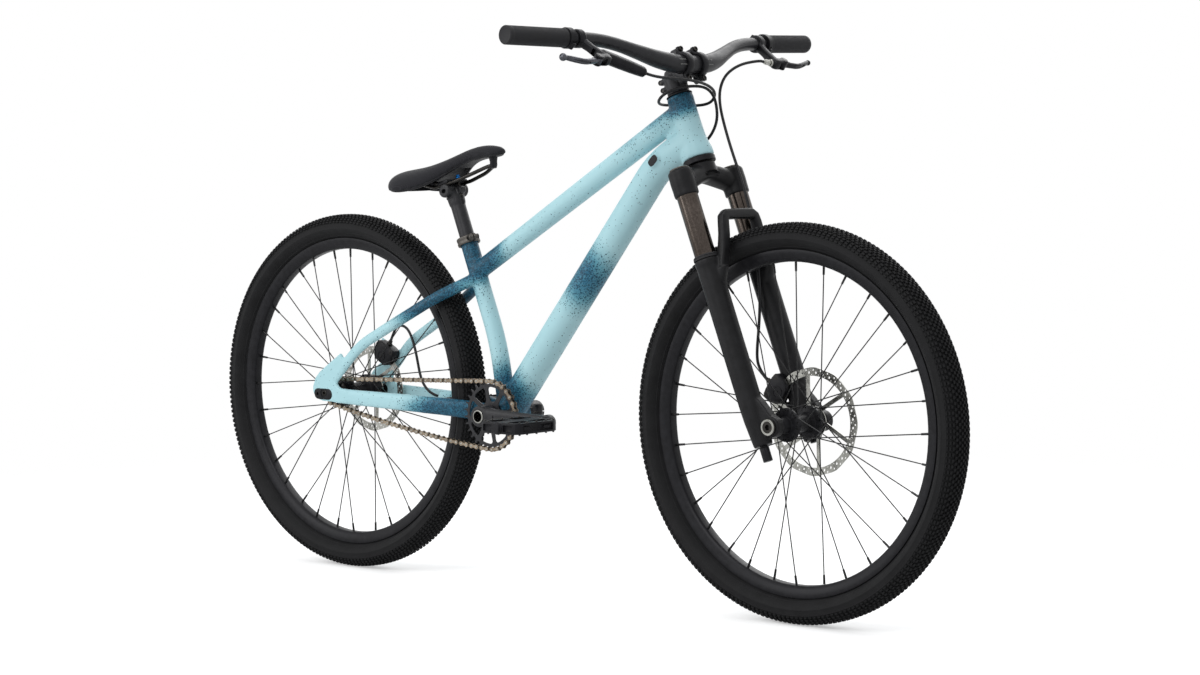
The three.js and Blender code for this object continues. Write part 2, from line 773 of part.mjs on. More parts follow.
function chainring() {
  const disc = outline(toothedOutline(ringTeeth, ringPitch, ringStart));
  const bore = spindleRadius + fitGap;
  disc.holes.push(new THREE.Path(circle(0, 0, bore, boreSides).map(([x, z]) => new THREE.Vector2(x, z))));
  const outer = ringPitch - rollerRadius - ringRimDepth;
  for (let i = 0; i < ringWindows; i += 1) {
    const middle = 2 * Math.PI * i / ringWindows;
    const half = Math.PI / ringWindows;
    const window = [[outer, -1], [outer, 0], [outer, 1], [ringBossRadius, 1],
      [ringBossRadius, -1]].map(([r, side]) => {
      const angle = middle + side * (half - ringArmWidth / 2 / r);
      return new THREE.Vector2(r * Math.cos(angle), r * Math.sin(angle));
    });
    disc.holes.push(new THREE.Path(window));
  }
  return plate(disc, -toothThickness / 2, toothThickness / 2);
}

// Cog and the freewheel sleeve that carries it on the hub's shaft
function rearCog() {
  const disc = plate(outline(toothedOutline(cogTeeth, cogPitch, cogStart)), -toothThickness / 2,
    toothThickness / 2);
  const bore = bar(at(0, -chainLine, 0), at(0, chainLine, 0), around(driverBoreRadius, boreSides),
    boreSides);
  const sleeve = bar(at(0, driverOuterEnd + chainLine, 0), at(0, driverInnerEnd + chainLine, 0),
    driverRadius, boreSides);
  return cut(join(disc, sleeve), bore);
}

piece(bike, 'chain', chain(), chainSteel);
piece(bike, 'chainring', chainring(), blackAlloy, bracket.clone().setY(-chainLine));
piece(bike, 'rear_cog', rearCog(), darkSteel, rearAxle.clone().setY(-chainLine));

// Bearing cups end just inside the chainring, the right crank's boss starts just outside it
const cupEnd = chainLine - toothThickness / 2 - fitGap;
const bossInner = (side) => (side < 0 ? chainLine + toothThickness / 2 : cupEnd) + fitGap;

// Crank arms: right one forward, left one back, each with its boss and pedal eye
function crankArm(side, forward) {
  const body = [];
  const middle = (bossInner(side) + crankBossOuter) / 2;
  const tip = (crankTipInner + crankTipOuter) / 2;
  const stations = [0, crankLength / 4, crankLength * 3 / 4, crankLength];
  body.push(skinned(stations.map((x) => {
    const share = x / crankLength;
    return ring(at(bracket.x + forward * x, side * between(middle + crankHalfThickness / 2, tip, share),
      bracket.z),
      yAxis, zAxis, between(crankHalfThickness, crankTipHalfThickness, share),
      between(crankHalfHeight, crankTipHalfHeight, share), 8, crankPower);
  })));
  const axisBar = (x, from, to, radius, count = hubSides) =>
    bar(at(x, side * from, bracket.z), at(x, side * to, bracket.z), radius, count);
  const eye = bracket.x + forward * crankLength;
  body.push(axisBar(bracket.x, bossInner(side), crankBossOuter, crankBossRadius));
  body.push(axisBar(eye, crankTipInner, crankTipOuter, crankTipHalfHeight + weldSink));
  if (side > 0) {
    const pinch = (z) => bar(at(bracket.x - forward * crankBossRadius, side * middle, z - crankBossRadius),
      at(bracket.x - forward * crankBossRadius, side * middle, z + crankBossRadius), pinchBossRadius, 8);
    body.push(pinch(bracket.z));
  }
  return cut(join(...body),
    axisBar(bracket.x, bossInner(side) - cutOverrun, crankBossOuter + cutOverrun, spindleRadius + fitGap),
    axisBar(eye, crankTipInner - cutOverrun, crankTipOuter + cutOverrun, pedalAxleRadius + fitGap));
}

// Platform pedal: barrel, end plates and cross bars round four windows
function pedal(side) {
  const slab = new THREE.ExtrudeGeometry(outline([
    [-pedalHalfLength + pedalCorner, pedalInner], [pedalHalfLength - pedalCorner, pedalInner],
    [pedalHalfLength, pedalInner + pedalCorner], [pedalHalfLength, pedalOuter - pedalCorner],
    [pedalHalfLength - pedalCorner, pedalOuter], [-pedalHalfLength + pedalCorner, pedalOuter],
    [-pedalHalfLength, pedalOuter - pedalCorner], [-pedalHalfLength, pedalInner + pedalCorner],
  ]), { depth: 2 * pedalHalfThickness, bevelEnabled: false });
  slab.translate(0, 0, -pedalHalfThickness);
  const middle = (pedalInner + pedalOuter) / 2;
  const halfX = (pedalHalfLength - pedalBar - pedalBarrelRadius) / 2;
  const halfY = (pedalOuter - middle - 3 * pedalBar / 2) / 2;
  const windows = [-1, 1].flatMap((x) => [-1, 1].map((y) => block(
    at(x * (pedalBarrelRadius + halfX), middle + y * (pedalBar / 2 + halfY), 0),
    halfX, halfY, pedalHalfThickness + cutOverrun)));
  const barrel = bar(at(0, pedalInner, 0), at(0, pedalCap, 0), pedalBarrelRadius, boreSides);
  const bore = bar(at(0, pedalInner - cutOverrun, 0), at(0, pedalOuter + fitGap, 0),
    pedalAxleRadius + fitGap, boreSides);
  return cut(join(solid(slab), barrel), ...windows, bore).scale([1, side, 1]);
}

function pedalAxle(side) {
  return join(
    bar(at(0, side * crankTipInner, 0), at(0, side * pedalOuter, 0), pedalAxleRadius, boreSides),
    bar(at(0, side * (crankTipOuter + fitGap), 0), at(0, side * (pedalInner - fitGap), 0),
      pedalAxleCollarRadius, 8));
}

for (const [name, side] of sides) {
  const forward = -side;
  const eye = at(bracket.x + forward * crankLength, 0, bracket.z);
  piece(bike, `crank_arm_${name}`, crankArm(side, forward), blackAlloy);
  piece(bike, `pedal_axle_${name}`, pedalAxle(side), darkSteel, eye);
  piece(bike, `pedal_${name}`, pedal(side), blackPlastic, eye);
  const cupInner = side * (bottomBracketHalfWidth + fitGap);
  const cupOuter = side * cupEnd;
  const sleeveEnd = side * (bottomBracketHalfWidth / 2);
  const cupBore = around(spindleRadius + runningGap, hubSides);
  const cup = turned([
    [cupBore, sleeveEnd], [bottomBracketBore - fitGap, sleeveEnd],
    [bottomBracketBore - fitGap, cupInner], [bottomBracketRadius - weldSink, cupInner],
    [bottomBracketRadius - weldSink, cupOuter], [cupBore, cupOuter]], hubSides);
  piece(bike, `bottom_bracket_cup_${name}`, cup, blackAlloy, bracket);
}
piece(bike, 'crank_spindle',
  ringOnY(spindleRadius, spindleRadius - spindleWall, -spindleHalfLength, spindleHalfLength, hubSides),
  silverSteel, bracket);

// Frame: seat tube axis above its knee
const seatUp = at(-Math.cos(seatTubeAngle * degree), 0, Math.sin(seatTubeAngle * degree));
const seatKnee = bracket.clone().add(at(-seatTubeKneeBack, 0, seatTubeKneeRise));
const seatTop = seatKnee.clone().addScaledVector(seatUp, seatTubeAboveKnee);
const onSeatTube = (distance) => seatKnee.clone().addScaledVector(seatUp, distance);
const headJoint = onSteering(0, 0, downTubeJoint);
const downKnee = headJoint.clone().add(at(-downTubeKneeBack, 0, -downTubeKneeDrop));
const topFront = onSteering(0, 0, topTubeHeadJoint);

function headTube() {
  const profile = [
    [0, headTubeBottom], [headTubeBottomRadius, headTubeBottom],
    [headTubeBottomRadius, headTubeBottom + cupDepth],
    [headTubeWaistRadius, headTubeBottom + 3 * cupDepth],
    [headTubeWaistRadius, headTubeTop - cupDepth],
    [headTubeTopRadius, headTubeTop], [0, headTubeTop]];
  const tubeBody = new THREE.LatheGeometry(profile.map(([r, y]) => new THREE.Vector2(r, y)), hubSides);
  tubeBody.applyQuaternion(new THREE.Quaternion().setFromUnitVectors(yAxis, steerUp));
  tubeBody.translate(...crownRace.toArray());
  return solid(tubeBody);
}

// Stay points: back and up as shares of the chainstay's length, outward as a share of the
// dropout's distance from the middle
const dropoutMiddle = rearHubWidth / 2 + fitGap + dropoutThickness / 2;
const seatstayShares = [
  [0.447, 0.808, 0.3465],
  [0.216, 0.919, 0.226],
  [0.0603, 0.989, 0.0653]];
const chainstayShares = [
  [0.025, 0.335, 0],
  [0.1506, 0.445, 0.0126],
  [0.231, 0.571, 0.02],
  [0.3515, 0.662, 0.025],
  [0.5775, 0.794, 0.0326],
  [0.7783, 0.919, 0.0389],
  [0.9335, 0.989, 0.0444]];
const stayPoint = (origin, side, [back, out, up]) => origin.clone().add(
  at(back * chainstayLength, side * out * dropoutMiddle, up * chainstayLength));

function seatstay(side) {
  const joint = onSeatTube(seatstayJoint);
  const points = rounded([
    at(joint.x, side * (seatTubeRadius - weldSink), joint.z),
    at(rearAxle.x + stayTyreReach, side * (tyreHalfWidth + seatstayHalfWidth + 2 * weldSink),
      joint.z - seatstayDrop),
    ...seatstayShares.map((share) => stayPoint(rearAxle, side, share))], stayBend, 2);
  return tube(points, (share) => [between(seatstayHalfWidth, stayEndHalfWidth, share ** 3),
    seatstayHalfHeight], 8);
}

function chainstay(side) {
  const points = chainstayShares.map(([back, out, up]) => stayPoint(bracket, side, [-back, out, up]));
  return tube(points, (share) => [
    between(chainstayHalfWidth, stayEndHalfWidth, share ** 4),
    between(chainstayHalfHeight, chainstayEndHalfHeight, share)], 8, yAxis, crownPower);
}

// Hooded dropout: plate whose long window holds the axle insert
function dropout(side) {
  const r = dropoutReach;
  const shareOutline = [
    [-1, 0.42], [-0.78, 0.93], [-0.35, 1.35], [1.5, 2.55], [1.85, 1.75], [1.02, 1.1],
    [0.92, 0.75], [1.4, 0.34], [2, 0.32], [2, -0.52], [-0.2, -0.5], [-0.75, -0.36], [-1, 0]];
  const shape = outline(shareOutline.map(([x, z]) => [rearAxle.x + r * x, rearAxle.z + r * z]));
  const window = obround(rearAxle.x - insertForward, rearAxle.z - insertForward, insertLength,
    insertHeight);
  shape.holes.push(new THREE.Path(window.map(([x, z]) => new THREE.Vector2(x, z))));
  const inner = rearHubWidth / 2 + fitGap;
  return plate(shape, side * inner, side * (inner + dropoutThickness));
}

// Body moved by a matrix
const moved = (body, matrix) => body.transform(matrix.elements);

// Body built on the Y axis, stood on another axis and turned about it
function stood(body, origin, up, turn = 0) {
  const matrix = new THREE.Matrix4().makeRotationFromQuaternion(
    new THREE.Quaternion().setFromUnitVectors(yAxis, up)
      .multiply(new THREE.Quaternion().setFromAxisAngle(yAxis, turn)));
  return moved(body, matrix.setPosition(origin));
}

// Caliper mount: plate beside the disc, its bolt spots half a spacing each side of the angle
function caliperTab(axle, radius, from, angle) {
  const [reach, half] = [radius, brakeTabHalfLength];
  const points = [[reach - brakeTabHalfDepth, -half], [reach + brakeTabHalfDepth, -half],
    [reach + brakeTabHalfDepth, half], [reach - brakeTabHalfDepth, half]];
  const turnedPoints = points.map(([r, t]) => [
    axle.x + r * Math.cos(angle) - t * Math.sin(angle), axle.z + r * Math.sin(angle) + t * Math.cos(angle)]);
  return plate(outline(turnedPoints), from, from + brakeTabThickness);
}

const rearCaliperAngle = 62 * degree;
const frontCaliperAngle = 124 * degree;

// Routes of the rear brake's hose: in the fork's frame from the master cylinder to its port
// in the frame, then from the rear axle's place, out of the chainstay's port to the caliper. The last two
// points of the first and the first two of the second give the port's direction.
const upperHoseRoute = [
  [51, -95, 126], [53, -48, 124], [52, 2, 118], [42, 38, 112], [33, 54, 104], [14, 56, 97], [-6, 48, 101],
  [-22, 32, 109], [-31, 8, 112], [-28, -20, 112], [-14, -38, 112], [6, -41, 117], [24, -26, 118],
    [29, 6, 118],
  [36, 27, 116], [34, 40, 106], [27, 42, 88], [22, 42, 66], [8, 40, 46], [-12, 36, 36], [-31, 31, 31.4],
  [-44, 22, 29]].map((p) => at(...p));
const lowerHoseRoute = [
  [186.5, 50, -9], [178.5, 45, -5], [156.5, 48, 0], [139.5, 50, 12], [128.5, 50, 24], [120.5, 50, 55],
  [110.5, 50, 96], [94.5, 50, 117], [78.5, 50, 128], [64.5, 51, 122], [56.5, 51, 108]]
  .map((p) => rearAxle.clone().add(at(...p)));

// Two points straight out of a fitting that runs from one point to its open end
const leadOut = (from, end) => [cordGap, cordLead].map((gap) =>
  end.clone().add(end.clone().sub(from).setLength(gap)));

// Boss that takes a hose, from inside the tube to its open end
const hosePort = (inside, end) => bar(inside, end, hosePortRadius, 8);

// Plugged port on the right of the down tube
function sidePort() {
  const run = headJoint.clone().sub(downKnee).normalize();
  const spot = downKnee.clone().lerp(headJoint, portAlongShare);
  return skinned([downTubeRadius / 2, downTubeRadius + portThickness].map((y) => ring(
    spot.clone().setY(-y), run, run.clone().cross(yAxis), portLength / 2, portWidth / 2, 8, crownPower)));
}

function frame() {
  const [upperEnd, upperInside] = upperHoseRoute.slice(-2).map((p) => onSteering(p.x, p.y, p.z));
  const upperPort = hosePort(upperInside, upperEnd);
  const downTube = tube(
    rounded([bracket, downKnee, headJoint], downTubeBend),
    (share) => [between(downTubeRadius, downTubeHeadRadius, share ** 3), downTubeRadius], frameSides);
  const topTube = tube([onSeatTube(topTubeSeatJoint), topFront],
    taper(topTubeRearRadius, topTubeFrontRadius), frameSides);
  const seatTube = tube(rounded([bracket, seatKnee, seatTop], seatTubeBend),
    (share) => taper(seatTubeFootRadius, seatTubeRadius)(Math.min(1, 2 * share)), frameSides);
  const shell = ringOnY(bottomBracketRadius, 0, -bottomBracketHalfWidth, bottomBracketHalfWidth, hubSides)
    .translate(bracket.toArray());
  const welded = join(headTube(), downTube, topTube, seatTube, shell,
    ...sides.flatMap(([, side]) => [seatstay(side), chainstay(side), dropout(side)]),
    caliperTab(rearAxle, rearRotorRadius, rearRotorPlane + caliperHalfWidth + fitGap, rearCaliperAngle),
    sidePort(), upperPort, hosePort(...lowerHoseRoute));
  const headBore = bar(onSteering(0, 0, headTubeBottom - cutOverrun),
    onSteering(0, 0, headTubeTop + cutOverrun),
    headBoreRadius, hubSides);
  const seatBore = bar(onSeatTube(seatTubeAboveKnee - seatpostInsertion - seatpostTravelDown - 2 * fitGap),
    onSeatTube(seatTubeAboveKnee + cutOverrun), seatpostRadius + fitGap, hubSides);
  const shellBore = ringOnY(bottomBracketBore, 0, -bottomBracketHalfWidth - cutOverrun,
    bottomBracketHalfWidth + cutOverrun, hubSides).translate(bracket.toArray());
  return cut(welded, headBore, seatBore, shellBore);
}

// Headset cup: flange outside the head tube, sleeve pressed inside it
function headsetCup(seat, flangeEnd, flangeRadius, sleeveEnd) {
  const bore = around(steererRadius + runningGap, hubSides);
  const sleeve = headBoreRadius - fitGap;
  return stood(turned([[bore, flangeEnd], [flangeRadius, flangeEnd], [flangeRadius, seat],
    [sleeve, seat], [sleeve, sleeveEnd], [bore, sleeveEnd]], hubSides), crownRace, steerUp);
}

// Bolted insert that fills a dropout's window and carries the axle
function axleInsert(side) {
  const centre = [rearAxle.x - insertForward, rearAxle.z - insertForward];
  const face = side * (rearHubWidth / 2 + dropoutThickness);
  const body = plate(outline(obround(...centre, insertLength - 2 * fitGap, insertHeight - 2 * fitGap)),
    face - side * insertThickness, face);
  const bolt = bar(at(centre[0] - insertHeight / 2, face - side * insertThickness, centre[1]),
    at(centre[0] - insertHeight / 2, face + side * insertBoltRadius / 4, centre[1]), insertBoltRadius, 6);
  const hole = bar(at(rearAxle.x, face - side * (insertThickness + cutOverrun), rearAxle.z),
    at(rearAxle.x, face + side * cutOverrun, rearAxle.z), rearAxleRadius + fitGap, boreSides);
  return cut(join(body, bolt), hole);
}

// Seat collar: split ring with its bolt barrel across the slit
function seatCollar() {
  const inner = around(seatTubeRadius + fitGap, hubSides);
  const outer = inner + collarWall;
  const half = collarHeight / 2;
  const barrelAt = outer + collarBoltRadius / 2;
  const ringBody = ringOnY(outer, inner, -half, half, hubSides);
  const ears = block(at(barrelAt, 0, 0), collarBoltRadius, collarBoltRadius + collarSlit, half);
  const barrel = bar(at(barrelAt, 0, -collarBoltLength / 2), at(barrelAt, 0, collarBoltLength / 2),
    collarBoltRadius, 8);
  const slit = block(at(inner, 0, 0), collarWall + collarBoltRadius, half + cutOverrun, collarSlit / 2);
  const bore = bar(at(0, -half - cutOverrun, 0), at(0, half + cutOverrun, 0), inner, hubSides);
  const body = cut(join(ringBody, ears, barrel), bore, cut(slit,
    block(at(barrelAt + collarBoltRadius, 0, 0),
    collarBoltRadius, half + 2 * cutOverrun, collarSlit)));
  return stood(body, onSeatTube(seatTubeAboveKnee - half - fitGap), seatUp, -Math.PI / 4);
}

// Disc brake caliper: block over the disc's edge with its slot, hose nipple on top
function caliper(axle, radius, plane, angle) {
  const [low, high] = [radius - caliperInnerReach, radius + caliperOuterReach];
  const [half, corner] = [caliperHalfLength, caliperHalfLength / 3];
  const body = plate(outline([[low, -half + corner], [low + corner, -half], [high - corner, -half],
    [high, -half + corner], [high, half - corner], [high - corner, half], [low + corner, half],
    [low, half - corner]]), -caliperHalfWidth, caliperHalfWidth);
  const slot = block(at(low, 0, 0), radius + rotorThickness - low, rotorThickness, half + cutOverrun);
  const nipple = bar(at(high - weldSink, 0, 0), at(high + caliperNippleLength, 0, 0), caliperNippleRadius,
    8);
  const matrix = new THREE.Matrix4().makeRotationY(-angle).setPosition(at(axle.x, plane, axle.z));
  return moved(cut(join(body, nipple), slot), matrix);
}

piece(bike, 'frame', frame(), aqua);
piece(bike, 'headset_upper_cup', headsetCup(headTubeTop + fitGap, headTubeTop + cupFlangeHeight,
  headTubeTopRadius, headTubeTop - cupDepth), blackAlloy);
piece(bike, 'headset_lower_cup', headsetCup(headTubeBottom - fitGap, crownTop + fitGap,
  crownRaceRadius + cupWall, headTubeBottom + cupDepth), blackAlloy);
for (const [name, side] of sides) piece(bike, `axle_insert_${name}`, axleInsert(side), blackAlloy);
piece(bike, 'rear_axle', bar(
  at(0, -rearHubWidth / 2 - dropoutThickness, 0), at(0, rearHubWidth / 2 + dropoutThickness, 0),
  rearAxleRadius, boreSides), darkSteel, rearAxle);
piece(bike, 'seat_collar', seatCollar(), blackAlloy);
piece(bike, 'rear_caliper', caliper(rearAxle, rearRotorRadius, rearRotorPlane, rearCaliperAngle),
  matteBlack);

// Seat: the saddle's own frame has X along its rails and Z up from the clamp
const saddlePlace = new THREE.Matrix4().makeRotationY(-saddleTilt * degree);
const cradleCentre = seatTop.clone().addScaledVector(seatUp, seatpostExposed);
saddlePlace.setPosition(cradleCentre.clone().add(at(0, 0, saddleClampRise).transformDirection(saddlePlace)
  .setLength(saddleClampRise)));
const saddleGroup = new THREE.Group();
saddleGroup.applyMatrix4(saddlePlace);
bike.add(saddleGroup);

const railChannels = () => sides.map(([, side]) => bar(
  at(-3 * clampHalfLength, side * railHalfSpacing, 0), at(3 * clampHalfLength, side * railHalfSpacing, 0),
  railRadius + fitGap, 8));

function seatpost() {
  const post = bar(onSeatTube(seatTubeAboveKnee - seatpostInsertion), cradleCentre, seatpostRadius,
    hubSides);
  const cradle = cut(
    bar(at(0, -headCradleHalfWidth, -saddleClampRise), at(0, headCradleHalfWidth, -saddleClampRise),
      headCradleRadius, hubSides),
    block(at(0, 0, headCradleRadius - fitGap), 2 * headCradleRadius, headCradleHalfWidth + cutOverrun,
      headCradleRadius));
  return cut(join(post, moved(cradle, saddlePlace)), ...railChannels().map((body) => moved(body,
    saddlePlace)));
}

// Upper half of the rail clamp with the head of its bolt
function railClamp() {
  const shape = block(at(0, 0, clampThickness / 2 + fitGap), clampHalfLength, headCradleHalfWidth,
    clampThickness / 2);
  const bolt = bar(at(0, 0, clampThickness), at(0, 0, 2 * clampThickness), clampBoltRadius, 6);
  return cut(join(shape, bolt), ...railChannels());
}

// Saddle stations, tail to nose: share along, width, crown height and edge height
const saddleStationShares = [
  [0, 0.3, 0.74, 0.55], [0.03, 0.66, 0.86, 0.4], [0.08, 0.9, 0.91, 0.28], [0.15, 1, 0.89, 0.14],
  [0.25, 0.96, 0.83, 0.02], [0.37, 0.8, 0.82, -0.06], [0.5, 0.56, 0.87, -0.02], [0.62, 0.37, 0.95, 0.14],
  [0.72, 0.29, 1, 0.28], [0.83, 0.26, 0.98, 0.33], [0.92, 0.24, 0.85, 0.36], [0.975, 0.2, 0.7, 0.4],
  [1, 0.15, 0.6, 0.44]];

// Vault over each station: half width drawn in, crown a share of the full rise, then lowered
function vault(endInset, sideInset, crownShare, drop, shave, count) {
  return saddleStationShares.map(([along, width, crown, edge]) => {
    const x = between(saddleTail + endInset, saddleNose - endInset, along);
    const low = edge * saddleTopRise;
    const rise = (crown * saddleTopRise - low) * crownShare - shave;
    const half = width * saddleHalfWidth - sideInset;
    return Array.from({ length: count }, (_, i) => {
      const angle = Math.PI * i / (count - 1);
      return at(x, half * Math.cos(angle), low - drop + rise * Math.sin(angle) ** saddleCrownPower);
    });
  });
}

// Closed layer between two vaults of equal stations
function layered(outer, inner) {
  const count = outer[0].length;
  const rings = outer.map((top, i) => [...top, ...inner[i].slice().reverse()]);
  const width = 2 * count;
  const index = [];
  const quad = (a, b, c, d) => index.push(a, b, c, a, c, d);
  for (let r = 0; r + 1 < rings.length; r += 1) {
    for (let i = 0; i < width; i += 1) {
      const j = (i + 1) % width;
      quad(r * width + i, r * width + j, (r + 1) * width + j, (r + 1) * width + i);
    }
  }
  const last = (rings.length - 1) * width;
  for (let i = 0; i + 1 < count; i += 1) {
    quad(i + 1, i, width - 1 - i, width - 2 - i);
    quad(last + i, last + i + 1, last + width - 2 - i, last + width - 1 - i);
  }
  const geometry = new THREE.BufferGeometry();
  const position = rings.flat().flatMap((p) => p.toArray());
  geometry.setAttribute('position', new THREE.Float32BufferAttribute(position, 3));
  geometry.setIndex(index);
  return solid(geometry);
}

const saddleCover = () => layered(vault(0, 0, 1, 0, 0, saddleSections),
  vault(saddleEdge, saddleEdge, saddleBaseShare, 0, 0, saddleSections));

// Shell under the cover with the sockets that hold the rails
function saddleShell() {
  const inset = saddleEdge + fitGap;
  const body = layered(vault(saddleEdge, inset, saddleBaseShare, fitGap, 0, shellSections),
    vault(saddleEdge, inset + saddleShellThickness, saddleBaseShare, fitGap, saddleShellThickness,
      shellSections));
  const half = railSocketSize / 2;
  const rear = sides.map(([, side]) => block(
    at(railTail - half - fitGap, side * railHalfSpacing, railTailRise + half), half, half, railSocketSize));
  const nose = block(at(railNose + railRadius + half + fitGap, 0, railNoseRise + railSocketSize),
    half, railSocketSize, railSocketSize + half);
  const above = layered(vault(0, 0, 1, 0, 0, shellSections),
    vault(saddleEdge, inset, saddleBaseShare, fitGap, 0, shellSections));
  return cut(join(body, ...rear, nose), above);
}

// Both rails, joined in a loop under the nose
function saddleRails() {
  const half = [
    at(railTail, railHalfSpacing, railTailRise),
    at(railTail + railSocketSize, railHalfSpacing, railTailRise),
    ...[-2, -3 / 2, 0, 3 / 2, 2].map((share) => at(share * clampHalfLength, railHalfSpacing, 0)),
    at(railNose * 2 / 3, railHalfSpacing * 3 / 4, railNoseRise / 2),
    at(railNose - railSocketSize, railHalfSpacing / 3, railNoseRise)];
  const mirrored = half.map((p) => at(p.x, -p.y, p.z)).reverse();
  return cord([...half, at(railNose, 0, railNoseRise), ...mirrored], railRadius, railSteps);
}

piece(bike, 'seatpost', seatpost(), blackAlloy);
piece(saddleGroup, 'rail_clamp', railClamp(), blackAlloy);
piece(saddleGroup, 'saddle_rails', saddleRails(), darkSteel);
piece(saddleGroup, 'saddle_shell', saddleShell(), blackPlastic);
piece(saddleGroup, 'saddle_cover', saddleCover(), saddleSkin);

const legs = sides.map(([name, side]) => [name, side, side * legSpacing / 2]);
const stemBottom = headTubeTop + cupFlangeHeight + spacerHeight + 2 * fitGap;
const barCentre = at(stemReach, 0, stemBottom + stemClampHeight / 2 + stemRise);

// Fork crown: bowed beam, leg clamps, steerer and the race of the lower bearing
function forkCrown() {
  const middle = (crownLegTop + crownLegBottom) / 2;
  const beam = skinned(crownShares.map((share) => {
    const bow = 1 - share ** 2;
    const z = between(middle, crownTop - crownHalfHeight, bow);
    return ring(at(legOffset * share ** 2, share * legSpacing / 2, z), xAxis, zAxis, crownHalfDepth,
      between(crownTipHalfHeight, crownHalfHeight, bow), 12, crownPower);
  }));
  const upright = (x, y, from, to, radius) => bar(at(x, y, from), at(x, y, to), radius, hubSides);
  const clamps = legs.map(([, , y]) => upright(legOffset, y, crownLegBottom, crownLegTop, crownLegRadius));
  const steererTop = stemBottom + stemClampHeight - weldSink;
  const steerer = upright(0, 0, crownTop - crownHalfHeight, steererTop, steererRadius);
  const race = upright(0, 0, crownTop - crownHalfHeight, crownTop, crownRaceRadius);
  const bores = legs.map(([, , y]) =>
    upright(legOffset, y, crownLegBottom - cutOverrun, crownLegTop - cutOverrun, stanchionRadius + fitGap));
  return cut(join(beam, ...clamps, steerer, race), ...bores);
}

// Fork lowers: two sliding legs, the arch before them, axle lugs, brake tab and damper knob
function forkLowers() {
  const legBodies = legs.flatMap(([, , y]) => [
    bar(at(legOffset, y, lowerLegTop), at(legOffset, y, lowerBoreEnd), lowerLegRadius, hubSides),
    bar(at(legOffset, y, lowerLegEnd), at(legOffset, y, lowerBoreEnd), lowerFootRadius, hubSides,
      lowerLegRadius)]);
  const archHalf = (side) => [
    at(legOffset + lowerLegRadius, side * legSpacing / 2, lowerLegTop - archFootDrop),
    at(legOffset + archReach * archFootShare, side * archPillarHalfSpan, lowerLegTop + archPillarRise / 2),
    at(legOffset + archReach, side * archPillarHalfSpan, lowerLegTop + archPillarRise),
    at(legOffset + archReach, side * archBeamHalfSpan, lowerLegTop + archRise)];
  const arch = tube([...archHalf(-1), ...archHalf(1).reverse()],
    () => [archHalfWidth, archHalfThickness], 8, xAxis, crownPower);
  const lugInner = frontHubWidth / 2 + fitGap;
  const lug = outline([
    ...circle(forkOffset, -forkLength, frontLugRadius, 12).slice(0, 4),
    [forkOffset - frontLugRadius, lowerBoreEnd + frontLugRise],
    [legOffset - lowerFootRadius / 2, lowerBoreEnd + frontLugRise],
    [legOffset - lowerFootRadius / 2, lowerLegEnd + weldSink],
    ...circle(forkOffset, -forkLength, frontLugRadius, 12).slice(8)]);
  const lugs = legs.map(([, side]) => plate(lug, side * lugInner, side * (lugInner + frontLugThickness)));
  const tab = caliperTab(at(forkOffset, 0, -forkLength), frontRotorRadius,
    frontRotorPlane + caliperHalfWidth + fitGap, frontCaliperAngle);
  const bores = legs.map(([, , y]) => bar(at(legOffset, y, lowerBoreEnd),
    at(legOffset, y, lowerLegTop + cutOverrun), stanchionRadius + fitGap, hubSides));
  const axleBore = bar(at(forkOffset, -legSpacing, -forkLength), at(forkOffset, legSpacing, -forkLength),
    frontAxleRadius + fitGap, hubSides);
  const headBore = bar(at(forkOffset, -legSpacing, -forkLength),
    at(forkOffset, -frontHubWidth / 2 - frontLugThickness, -forkLength), axleHeadRadius + fitGap, hubSides);
  const knob = bar(at(legOffset, -legSpacing / 2, lowerLegEnd - knobHeight),
    at(legOffset, -legSpacing / 2, lowerLegEnd + weldSink), knobRadius, 8);
  return cut(join(...legBodies, arch, ...lugs, tab, knob), ...bores, axleBore, headBore);
}

const forkCap = () => join(
  bar(at(0, 0, 0), at(0, 0, topCapHeight / 2), topCapRadius, hubSides),
  bar(at(0, 0, 0), at(0, 0, topCapHeight), topCapHexRadius, 6));

piece(steering, 'fork_crown_and_steerer', forkCrown(), matteBlack);
for (const [name, , y] of legs) {
  piece(steering, `stanchion_${name}`, bar(at(legOffset, y, stanchionEnd),
    at(legOffset, y, crownLegTop - cutOverrun - fitGap), stanchionRadius, hubSides), stanchionCoat);
  piece(steering, `fork_cap_${name}`, forkCap(), blackAlloy, at(legOffset, y, crownLegTop + fitGap));
  const seal = stood(ringOnY(sealRadius, stanchionRadius + fitGap, 0, sealHeight, hubSides), at(0, 0, 0),
    zAxis);
  piece(steering, `wiper_seal_${name}`, seal, blackRubber, at(legOffset, y, lowerLegTop + fitGap));
}
piece(steering, 'fork_lowers', forkLowers(), matteBlack);
const frontAxleEnd = frontHubWidth / 2 + frontLugThickness;
piece(steering, 'front_axle', join(
  bar(at(0, -frontAxleEnd - 2 * fitGap, 0), at(0, frontAxleEnd, 0), frontAxleRadius, hubSides),
  bar(at(0, -frontAxleEnd - axleHeadThickness, 0), at(0, -frontAxleEnd - fitGap, 0), axleHeadRadius,
    hubSides)),
darkSteel, at(forkOffset, 0, -forkLength));
piece(steering, 'front_caliper', cut(
  caliper(at(forkOffset, 0, -forkLength), frontRotorRadius, frontRotorPlane, frontCaliperAngle),
  bar(at(legOffset, legSpacing / 2, lowerLegEnd), at(legOffset, legSpacing / 2, lowerLegTop),
    around(lowerLegRadius + fitGap, hubSides), hubSides)), matteBlack);
// Bar across the bike through the handlebar's clamp, between two Y places
const acrossClamp = (from, to, radius, count = hubSides) =>
  bar(at(stemReach, from, barCentre.z), at(stemReach, to, barCentre.z), radius, count);

